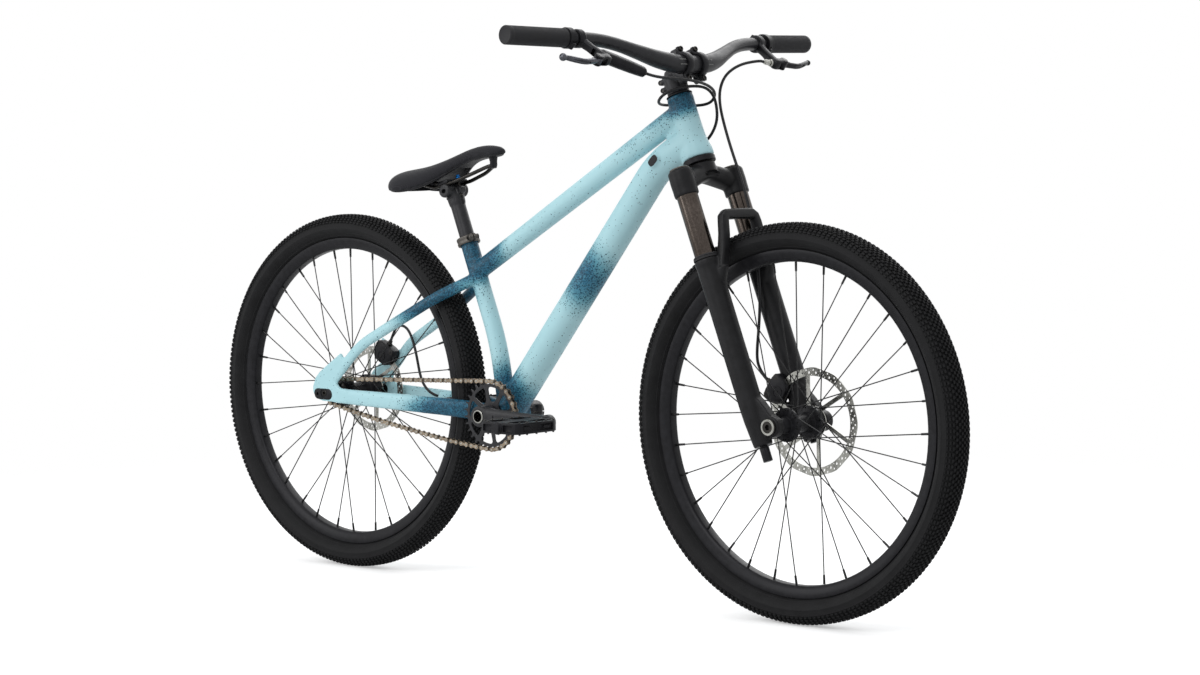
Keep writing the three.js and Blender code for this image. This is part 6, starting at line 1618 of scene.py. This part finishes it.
def saddle_vault(bm, rows, inset, drop, rise, belly):
    """Closed vault through saddle stations: its crown and its belly are shares of the full height."""
    places = []
    for along, width, crown, edge in curved([Vector(row) for row in rows], 4):
        low = edge * 52 - drop
        places.append(ring_place(
            seat_point(mix(inset - 124, 140 - inset, along), 0, low), Y_AXIS, SADDLE_UP,
            max(2.5, width * 67 - inset), crown * 52 - low))
    skin(bm, places, 56, 0.86, rise, belly)


def hollowed_vault(name, inset, drop, rise, wall, hollow):
    """Saddle vault with its wide part hollowed from below, so that the rails run inside it."""
    bm = bmesh.new()
    saddle_vault(bm, SADDLE_STATIONS, inset, drop, rise, 0.04)
    vault = as_object(bm, name)
    bm = bmesh.new()
    saddle_vault(bm, SADDLE_STATIONS[2:9], inset + wall, drop, hollow, 1)
    return without(vault, bm, False)


def seat_pad(puff):
    """Foam under a stretched knit cover: a long vault puffed a little by pressure, its base held."""
    pad = hollowed_vault("seat_pad", 1, 0, 1, 8, 0.5)
    fused(pad, 4, 7, 0.0006)
    puffed(pad, puff)
    modified(pad, "SUBSURF", levels=1, render_levels=1)
    return pad


def puffed(obj, most):
    """Swells a closed piece by cloth pressure, its underside held, and caps each point's way."""
    up = SADDLE.to_3x3() @ Z_AXIS
    mesh = obj.data
    start = [v.co.copy() for v in mesh.vertices]
    held = obj.vertex_groups.new(name="held")
    for v in mesh.vertices:
        held.add([v.index], 1 if v.normal.dot(up) < -0.12 else 0, "REPLACE")
    cloth = obj.modifiers.new("Cloth", "CLOTH")
    for key, value in {
        "quality": 4, "mass": 0.3, "tension_stiffness": 12, "compression_stiffness": 12, "bending_stiffness": 2,
        "use_pressure": True, "uniform_pressure_force": 4, "vertex_group_mass": "held",
    }.items():
        setattr(cloth.settings, key, value)
    cloth.settings.effector_weights.gravity = 0
    cloth.collision_settings.use_collision = False
    last = 20
    cloth.point_cache.frame_start = 1
    cloth.point_cache.frame_end = last
    for moment in range(1, last + 1):
        bpy.context.scene.frame_set(moment)
    graph = bpy.context.evaluated_depsgraph_get()
    ends = [v.co.copy() for v in obj.evaluated_get(graph).data.vertices]
    obj.modifiers.clear()
    for v, a, b in zip(mesh.vertices, start, ends):
        way = b - a
        v.co = a + way * min(1, most / max(way.length, 1e-9))
    obj.vertex_groups.clear()
    bpy.context.scene.frame_set(1)


def seat_shell():
    """Nylon shell that shows as a lip under the pad, with its rail sockets behind and nose bracket."""
    shell = hollowed_vault("seat_shell", 5.5, 0.6, 0.55, 4, 0.42)
    bm = bmesh.new()
    for side in (-1, 1):
        skin(bm, [ring_place(seat_point(x, side * RAIL, z), Y_AXIS, SADDLE_UP, w, h)
                  for x, z, w, h in ((-88, 20, 5, 5), (-80, 17.5, 7, 6.5), (-68, 16, 6.2, 6.2), (-64, 15.6, 5, 5))],
             24, 0.8)
        block(bm, shifted(SADDLE, -76, side * RAIL, 24), (4, 3, 7), 1.2)
    skin(bm, [ring_place(seat_point(x, 0, z), Y_AXIS, SADDLE_AHEAD, w, h)
              for x, z, w, h in ((106.5, 5.6, 6.4, 3.4), (107.5, 10, 7.6, 4.8), (109, 17, 7.4, 4.6), (111, 31, 9, 8))],
         28, 0.75)
    return joined(shell, as_object(bm, "rail_sockets"))


def rail_bores(bm):
    for side in (-RAIL, RAIL):
        rod(bm, seat_point(-40, side, 0), seat_point(40, side, 0), 3.8, steps=28)


def rail_piece():
    half = [(x, RAIL, z) for x, z in ((-70, 16), (-61, 15.4), (-43, 7.5), (-26, 0.4), (-19.5, 0), (0, 0), (19.5, 0))]
    half += [(28, 20.8, 0.2), (50, 18.6, 2.4), (72, 15.75, 5), (99, 7, 10)]
    knots = [seat_point(*p) for p in half] + [seat_point(108, 0, 10)] + [seat_point(x, -y, z) for x, y, z in half[::-1]]
    bm = bmesh.new()
    tube(bm, curved(knots, 5), lambda s: (3.5, 3.5), 18, SADDLE_UP)
    return as_object(bm, "seat_rails")


def post_piece():
    """Seatpost: drawn tube, forged head that flares into the rail cradle, and its two bolt ears."""
    head = Vector((-256.8, 0, 705.4))
    foot = on_seat_tube(75)
    bm = bmesh.new()
    rod(bm, foot, head, 13.6, steps=44)
    ahead = Y_AXIS.cross(SEAT_UP)
    low = head - SEAT_UP * 28
    skin(bm, [ring_place(low.lerp(head, s), Y_AXIS, ahead, w, h)
              for s, w, h in ((0, 13.6, 13.6), (0.12, 14.2, 14.4), (0.5, 14.8, 15), (0.8, 19, 13.6), (1, 25, 12))],
         32, 0.8)
    rod(bm, seat_point(0, -26.4, -11), seat_point(0, 26.4, -11), 12.8, steps=40, lip=0.6)
    for end in (-1, 1):
        rod(bm, seat_point(end * 17.5, -7, -13.5), seat_point(end * 17.5, 7, -13.5), 7.4, steps=28)
        skin(bm, [ring_place(seat_point(x * end, 0, -12.5), Y_AXIS, SADDLE_UP, 6.8, 7) for x in (0, 17.5)], 20, 0.6)
    body = fused(as_object(bm, "post_with_head"), 1.4, 4)
    bm = bmesh.new()
    block(bm, shifted(SADDLE, 0, 0, 19.7), (40, 40, 20))
    rail_bores(bm)
    for end in (-1, 1):
        rod(bm, seat_point(end * 17.5, 0, -40), seat_point(end * 17.5, 0, 10), 3, steps=20)
    skin(bm, [ring_place(seat_point(0, side, -12), SADDLE_AHEAD, SADDLE_UP, 5.5, 4)
              for side in (-40, 40)], 24)
    return without(body, bm)


def rail_clamp_piece():
    """Upper clamp bar over both rails, with two long bolts and their barrel nuts."""
    bm = bmesh.new()
    outline = [(-12.6, -26), (-9, -26.4), (9, -26.4), (12.6, -26), (12.6, -15), (9, -8), (17, -6), (22, 0),
               (17, 6), (9, 8), (12.6, 15), (12.6, 26), (9, 26.4), (-9, 26.4), (-12.6, 26), (-12.6, 15),
               (-9, 8), (-17, 6), (-22, 0), (-17, -6), (-9, -8), (-12.6, -15)]
    prism(bm, outline, SADDLE, 0.5, 7, 1, 2)
    body = as_object(bm, "rail_clamp_bar")
    bm = bmesh.new()
    rail_bores(bm)
    without(body, bm)
    bm = bmesh.new()
    front = shifted(SADDLE, 15.5)
    turned(bm, [(0, 6.4), (4.2, 6.4), (4.4, 6.8), (4.4, 9.8), (3.4, 10.8), (3.2, 14), (1.8, 14), (1.8, 11.5),
                (0, 11.5)], front, 28)
    blue = as_object(bm, "front_clamp_nut")
    bm = bmesh.new()
    rear = shifted(SADDLE, -15.5)
    turned(bm, [(0, 6.4), (4.2, 6.4), (4.4, 6.8), (4.4, 10.2), (3.8, 11), (2.2, 11), (2.2, 9), (0, 9)], rear, 28)
    for place in (front, rear):
        plug(bm, 2.3, -24.4, 6.6, place, 20)
        turned(bm, [(0, -24.6), (4, -24.6), (4.2, -24.2), (4.2, -21.4), (0, -21)], place, 24)
    return body, blue, as_object(bm, "clamp_bolts")


def collar_piece():
    """Split seat collar with its ears, cross bolt and milled ring groove."""
    turn = math.radians(-23.3)
    ahead = Vector((SEAT_UP.z, 0, -SEAT_UP.x))
    out = ahead * math.cos(turn) + Y_AXIS * math.sin(turn)
    place = basis(on_seat_tube(195.7), out, SEAT_UP.cross(out), SEAT_UP)
    bm = bmesh.new()
    turned(bm, [(16.5, -7), (20, -7), (20.7, -6.3), (20.7, -1.8), (20.1, -1.2), (20.1, 1.2), (20.7, 1.8), (20.7, 6.3),
                (20, 7), (16.5, 7)], place, 60, closed=True)
    block(bm, shifted(place, 22), (4.6, 5.4, 6.4), 1)
    ring = shifted(place, 22.9) @ Z_TO_Y
    plug(bm, 5, -9, 9, ring, 28, lip=0.6)
    body = fused(as_object(bm, "seat_collar_ring"), 0.9, 3)
    bm = bmesh.new()
    block(bm, shifted(place, 24), (9, 0.9, 12))
    plug(bm, 16.7, -10, 10, place, 60)
    plug(bm, 2.6, -12, -6.6, ring, 16)
    without(body, bm)
    bm = bmesh.new()
    turned(bm, [(0, -8.8), (4.2, -8.8), (4.2, -9.8), (3.6, -10.9), (2.2, -10.9), (2.2, -9.6), (0, -9.6)], ring, 24)
    turned(bm, [(0, 9.2), (3.8, 9.2), (4.6, 9.8), (4.6, 10.6), (3.8, 10.95), (0, 10.95)], ring, 24)
    return body, as_object(bm, "collar_bolt")


def build_seat(sizes):
    body = "seat_body"
    pad = finished(seat_pad(sizes.puff), "saddle_skin", body, ["saddle_cover"], 60)
    finished(seat_shell(), "black_plastic", body, ["saddle_shell"], 60)
    finished(rail_piece(), "dark_steel", body, ["saddle_rails"], 60)
    finished(post_piece(), "satin_black", body, ["seatpost"], 45)
    bar, blue, bolts = rail_clamp_piece()
    finished(bar, "black_alloy", body, ["rail_clamp"])
    finished(blue, "blue_alloy", body, ["rail_clamp"])
    finished(bolts, "dark_steel", body, ["rail_clamp"])
    ring, bolt = collar_piece()
    finished(ring, "grey_alloy", "frame_body", ["seat_collar"], 40)
    finished(bolt, "dark_steel", "frame_body", ["seat_collar"])


# Cranks and pedals


def crank_piece(name, side, inner):
    """Forged crank arm: rounded beam that thins toward the pedal eye, with a shallow outer flute."""
    forward = -side
    middle = (inner + 77) / 2
    bm = bmesh.new()
    stations = ((0, 16.5, 9, 0), (14, 16.2, 8.4, 0.1), (42, 14.6, 7.9, 0.25), (90, 13.2, 7.6, 0.53),
                (140, 12.2, 7.4, 0.82),
                (170, 12, 7.4, 1))
    skin(bm, [ring_place(BRACKET + Vector((forward * x, side * mix(middle + 4, 79.5, s), 0)), Y_AXIS, Z_AXIS, w, h)
              for x, h, w, s in stations], 32, 0.62)
    place = wheel_place(BRACKET)

    def boss(at, profile, steps=48):
        turned(bm, [(r, side * h) for r, h in profile], Matrix.Translation(Vector((at, 0, 0))) @ place, steps)

    boss(0, [(0, inner), (17.6, inner), (18.6, inner + 1), (18.9, inner + 8), (18.9, 75.4), (17.8, 76.9), (0, 76.9)])
    boss(forward * CRANK, [(0, 72.1), (13.2, 72.1), (13.9, 72.8), (13.9, 86.2), (13, 86.9), (0, 86.9)])
    if side > 0:
        behind = BRACKET + Vector((-forward * 19, side * middle, 0))
        rod(bm, behind - Z_AXIS * 14, behind + Z_AXIS * 14, 6.8, steps=24, lip=0.6)
    body = fused(as_object(bm, name), 1.6, 4)
    bm = bmesh.new()
    boss(0, [(0, 30), (12.35, 30), (12.35, 90), (0, 90)])
    boss(forward * CRANK, [(0, 60), (6.8, 60), (6.8, 95), (0, 95)])
    flute = [(34, 0.2, 4), (60, 0.35, 5.6), (100, 0.59, 5), (146, 0.86, 3.4)]
    skin(bm, [ring_place(BRACKET + Vector((forward * x, side * (mix(middle + 4, 79.5, s) + 8.3), 0)), Y_AXIS, Z_AXIS,
                         1.5, h)
              for x, s, h in flute], 20)
    if side > 0:
        slot = BRACKET + Vector((-forward * 20, side * middle, 0))
        block(bm, Matrix.Translation(slot), (9, 30, 0.9))
        rod(bm, slot + Vector((forward, 0, 7)), slot + Vector((forward, 0, 30)), 3.4, steps=16)
    return without(body, bm)


def pedal_piece(name, side):
    """Moulded platform: hexagonal frame and barrel, thin ribs in its windows, edge pockets and pins."""
    place = Matrix.Translation(BRACKET - X_AXIS * side * CRANK) @ Matrix.Diagonal((1, side, 1, 1))
    barrel = place @ Z_TO_Y
    bm = bmesh.new()
    outline = [(-31, 97.3), (31, 97.3), (38, 101), (43.8, 112), (43.8, 193), (38.5, 203.5), (31, 206.8), (-31, 206.8),
               (-38.5, 203.5), (-43.8, 193), (-43.8, 112), (-38, 101)]
    prism(bm, outline, place, -9.6, 9.6, 1.4, 2)
    body = as_object(bm, name)
    bm = bmesh.new()
    for x in (-1, 1):
        for y in (-1, 1):
            centre = 152 + y * 25.2
            window = [(x * 13.2, centre - 19), (x * 13.2, centre + 19), (x * 15, centre + 20.6),
                      (x * 33.5, centre + 20.6),
                      (x * 36, centre + 17), (x * 36, centre - 17), (x * 33.5, centre - 20.6), (x * 15, centre - 20.6)]
            prism(bm, window, place, -12, 12)
    for x in (-1, 1):
        block(bm, shifted(place, x * 45, 152), (5.4, 37, 6), 1.6)
    for x in (-1, 1):
        for y in (97, 207):
            block(bm, shifted(place, x * 23.4, y), (10.4, 5.4, 6), 1.4)
    without(body, bm)
    bm = bmesh.new()
    for x in (-1, 1):
        for y in (-1, 1):
            centre = 152 + y * 25.2
            for k in (-1, 0, 1):
                block(bm, shifted(place, x * 24.6, centre + k * 10.2), (11.6, 1.3, 5.6))
            block(bm, shifted(place, x * 40.6, centre), (1.4, 9, 2.6))
    turned(bm, [(0, 97.4), (10.2, 97.4), (10.8, 98), (10.8, 207.6), (10.2, 208.4), (9, 208.6), (8.6, 212),
                (8, 212.9), (0, 213)], barrel, 40)
    ribs = as_object(bm, name + "_ribs")
    bm = bmesh.new()
    plug(bm, 6.8, 90, 207.2, barrel, 32)
    without(ribs, bm)
    bm = bmesh.new()
    plug(bm, 7.4, 90, 206, barrel, 32)
    without(body, bm)
    joined(body, ribs)
    bm = bmesh.new()
    spots = [(x, y) for x in (-40.2, 40.2) for y in (110, 128.5, 152, 175.5, 194)]
    spots += [(x, y) for x in (-24, 0, 24) for y in (100.4, 203.4)]
    for x, y in spots:
        for face in (-1, 1):
            spot = shifted(place, x, y) @ Matrix.Diagonal((1, 1, face, 1))
            turned(bm, [(0, 8.6), (1.9, 8.6), (1.9, 10.7), (1.5, 11.4), (0.8, 11.5), (0, 11.5)], spot, 10)
    return body, as_object(bm, name + "_pins")


def cup_piece(name, side):
    """Threaded bearing cup with its notched rim."""
    place = sided(BRACKET, side)
    notches = 16
    notched = [polar(21.9 if k % 4 < 2 else 20.7, math.tau * k / (4 * notches)) for k in range(4 * notches)]
    bm = bmesh.new()
    prism(bm, notched, place, 36.9, 42.2, 0.3, 1)
    turned(bm, [(0, 18.4), (17.6, 18.4), (17.6, 36.9), (20, 36.9), (20, 42.6), (18.6, 43.6), (0, 43.6)], place, 44)
    cup = as_object(bm, name)
    bm = bmesh.new()
    plug(bm, 12.6, 10, 50, place, 40)
    return without(cup, bm)


def insert_piece(name, side):
    """Block in a dropout's slot, bored for the axle, with a socket for its adjusting screw."""
    place = sided(REAR_AXLE, side)
    bm = bmesh.new()
    prism(bm, arc(12.2, 2, 9.8, -90, 90, 12) + arc(-16.2, 2, 9.8, 90, 270, 12), place, 69.9, 75.4, 0.8, 2)
    insert = as_object(bm, name)
    bm = bmesh.new()
    plug(bm, 6.3, 60, 90, place, 32)
    plug(bm, 9, 74.4, 90, place, 32)
    prism(bm, circle(-17.5, 2, 3.2, 6), place, 71.5, 90)
    return without(insert, bm)


def build_cranks():
    for name, side in SIDES:
        arm = crank_piece("crank_beam_" + name, side, 46.4 if side < 0 else 44.1)
        finished(arm, "satin_black", "crankset", ["crank_arm_" + name], 45)
        bm = bmesh.new()
        turned(bm, [(0, 72.2), (3.4, 72.2), (3.4, 74), (6.4, 74), (6.4, 87.3), (8.6, 87.4), (8.9, 87.8), (8.9, 96.2),
                    (8.4, 96.6), (6.4, 96.7), (6.4, 206.6), (0, 206.9)], sided(BRACKET - X_AXIS * side * CRANK, side),
                    28)
        finished(as_object(bm, "pedal_spindle_" + name), "dark_steel", "crankset", ["pedal_axle_" + name])
        platform, pins = pedal_piece("platform_" + name, side)
        finished(platform, "black_plastic", "pedal_%s_body" % name, ["pedal_" + name])
        finished(pins, "dark_steel", "pedal_%s_body" % name, ())
        cup = cup_piece("bearing_cup_" + name, side)
        finished(cup, "black_alloy", "frame_body", ["bottom_bracket_cup_" + name])
        insert = insert_piece("axle_block_" + name, side)
        finished(insert, "black_alloy", "frame_body", ["axle_insert_" + name])
    bm = bmesh.new()
    turned(bm, [(9.6, -78.4), (11.3, -78.4), (11.95, -77.8), (11.95, 77.8), (11.3, 78.4), (9.6, 78.4)],
           wheel_place(BRACKET), 48, closed=True)
    finished(as_object(bm, "hollow_spindle"), "silver_steel", "crankset", ["crank_spindle"])
    rear = axle_piece("rear_bolt_axle", REAR_AXLE, 5.95, -75.4, 75.4)
    finished(rear, "dark_steel", "frame_body", ["rear_axle"])


# Settings, operators and panel


def colour_setting(name, description, code):
    return bpy.props.FloatVectorProperty(
        name=name, description=description, subtype="COLOR", size=4, min=0.0, max=1.0, default=linear(code))


def length_setting(name, description, default, least, most):
    return bpy.props.FloatProperty(
        name=name, description=description, default=default, min=least, max=most, subtype="DISTANCE", unit="LENGTH")


def power_setting(name, description, default):
    return bpy.props.FloatProperty(name=name, description=description, default=default, min=0.0, unit="POWER")


class BikePaint(bpy.types.PropertyGroup):
    """Colours of the frame's speckle fade."""

    aqua: colour_setting("Aqua", "Paint where no spatter falls", "#ABD3DA")
    teal: colour_setting("Teal", "Paint halfway into a dark zone", "#5A95A6")
    deep: colour_setting("Deep blue", "Paint in the middle of a dark zone", "#1E5268")
    speck: colour_setting("Speck", "Single specks of the spatter", "#12384A")


class BikeSizes(bpy.types.PropertyGroup):
    """Sizes of the fine pieces."""

    knobs: bpy.props.IntProperty(
        name="Knobs", description="Knobs in each row round a tyre", default=216, min=60, max=400)
    spoke: length_setting("Spoke radius", "Radius of a spoke", 0.001, 0.0005, 0.002)
    sag: length_setting("Chain sag", "How far the chain's lower run hangs, before it is shared out", 0.024, 0.0, 0.06)
    hose: length_setting("Hose thickness", "Diameter of the hoses and the housing", 0.005, 0.003, 0.008)
    puff: length_setting("Saddle puff", "Most that the saddle's cover moves under pressure", 0.005, 0.0, 0.016)


class BikeStage(bpy.types.PropertyGroup):
    """Lamps and background."""

    key: power_setting("Key lamp", "Power of the main lamp", 84.0)
    fill: power_setting("Fill lamp", "Power of the lamp at the rear wheel's side", 46.0)
    back: power_setting("Back lamp", "Power of the lamp behind", 50.0)
    top: power_setting("Top lamp", "Power of the lamp above", 42.0)
    air: bpy.props.FloatProperty(
        name="Soft light", description="Strength of the light from all round", default=0.46, min=0.0, max=2.0)


class BIKE_OT_stage(bpy.types.Operator):
    """Set the floor, the lamps, the background and the camera"""

    bl_idname = "bike.stage"
    bl_label = "Stage"

    def execute(self, context):
        build_stage(context.scene.bike_stage)
        return {"FINISHED"}


class BIKE_OT_nodes(bpy.types.Operator):
    """Give the model's own nodes their finishes"""

    bl_idname = "bike.nodes"
    bl_label = "Model nodes"

    def execute(self, context):
        dress_nodes()
        return {"FINISHED"}


class BIKE_OT_wheels(bpy.types.Operator):
    """Build the tyres, rims, hubs, spokes and discs"""

    bl_idname = "bike.wheels"
    bl_label = "Wheels"

    def execute(self, context):
        build_wheels(context.scene.bike_sizes)
        return {"FINISHED"}


class BIKE_OT_frame(bpy.types.Operator):
    """Build the welded frame and its port plug"""

    bl_idname = "bike.frame"
    bl_label = "Frame"

    def execute(self, context):
        build_frame()
        return {"FINISHED"}


class BIKE_OT_chain(bpy.types.Operator):
    """Build the chain, link by link"""

    bl_idname = "bike.chain"
    bl_label = "Chain"

    def execute(self, context):
        build_chain(context.scene.bike_sizes)
        return {"FINISHED"}


class BIKE_OT_sprockets(bpy.types.Operator):
    """Build the chainring and the cog"""

    bl_idname = "bike.sprockets"
    bl_label = "Sprockets"

    def execute(self, context):
        build_sprockets(context.scene.bike_sizes)
        return {"FINISHED"}


class BIKE_OT_fork(bpy.types.Operator):
    """Build the fork's crown, legs, caps, seals and axle"""

    bl_idname = "bike.fork"
    bl_label = "Fork"

    def execute(self, context):
        build_fork()
        return {"FINISHED"}


class BIKE_OT_brakes(bpy.types.Operator):
    """Build the two calipers"""

    bl_idname = "bike.brakes"
    bl_label = "Brakes"

    def execute(self, context):
        build_brakes()
        return {"FINISHED"}


class BIKE_OT_cockpit(bpy.types.Operator):
    """Build the bar, stem, grips, levers and headset"""

    bl_idname = "bike.cockpit"
    bl_label = "Cockpit"

    def execute(self, context):
        build_cockpit()
        return {"FINISHED"}


class BIKE_OT_hoses(bpy.types.Operator):
    """Build the two rear hoses and the front housing"""

    bl_idname = "bike.hoses"
    bl_label = "Hoses"

    def execute(self, context):
        build_hoses(context.scene.bike_sizes)
        return {"FINISHED"}


class BIKE_OT_seat(bpy.types.Operator):
    """Build the saddle, its rails and clamp, the seatpost and the collar"""

    bl_idname = "bike.seat"
    bl_label = "Seat"

    def execute(self, context):
        build_seat(context.scene.bike_sizes)
        return {"FINISHED"}


class BIKE_OT_cranks(bpy.types.Operator):
    """Build the cranks, pedals, bearing cups and rear axle"""

    bl_idname = "bike.cranks"
    bl_label = "Cranks and pedals"

    def execute(self, context):
        build_cranks()
        return {"FINISHED"}


OPERATORS = (
    BIKE_OT_stage, BIKE_OT_nodes, BIKE_OT_wheels, BIKE_OT_frame, BIKE_OT_chain, BIKE_OT_sprockets, BIKE_OT_fork,
    BIKE_OT_brakes, BIKE_OT_cockpit, BIKE_OT_hoses, BIKE_OT_seat, BIKE_OT_cranks,
)


class BIKE_PT_pieces(bpy.types.Panel):
    """Lists the bike's settings and pieces"""

    bl_idname = "BIKE_PT_pieces"
    bl_label = "Dirt jump bike"
    bl_space_type = "VIEW_3D"
    bl_region_type = "UI"
    bl_category = "Bike"

    def draw(self, context):
        scene = context.scene
        for group in (scene.bike_paint, scene.bike_sizes, scene.bike_stage):
            box = self.layout.box()
            for key in group.__annotations__:
                box.prop(group, key)
        for operator in OPERATORS:
            self.layout.operator(operator.bl_idname)


CLASSES = (BikePaint, BikeSizes, BikeStage, *OPERATORS, BIKE_PT_pieces)


def register():
    for kind in CLASSES:
        bpy.utils.register_class(kind)
    bpy.types.Scene.bike_paint = bpy.props.PointerProperty(type=BikePaint)
    bpy.types.Scene.bike_sizes = bpy.props.PointerProperty(type=BikeSizes)
    bpy.types.Scene.bike_stage = bpy.props.PointerProperty(type=BikeStage)


def unregister():
    del bpy.types.Scene.bike_stage
    del bpy.types.Scene.bike_sizes
    del bpy.types.Scene.bike_paint
    for kind in reversed(CLASSES):
        bpy.utils.unregister_class(kind)


def main():
    register()
    bpy.ops.bike.stage()
    bpy.ops.bike.nodes()
    bpy.ops.bike.wheels()
    bpy.ops.bike.frame()
    bpy.ops.bike.chain()
    bpy.ops.bike.sprockets()
    bpy.ops.bike.fork()
    bpy.ops.bike.brakes()
    bpy.ops.bike.cockpit()
    bpy.ops.bike.hoses()
    bpy.ops.bike.seat()
    bpy.ops.bike.cranks()


if __name__ == "__main__":
    main()
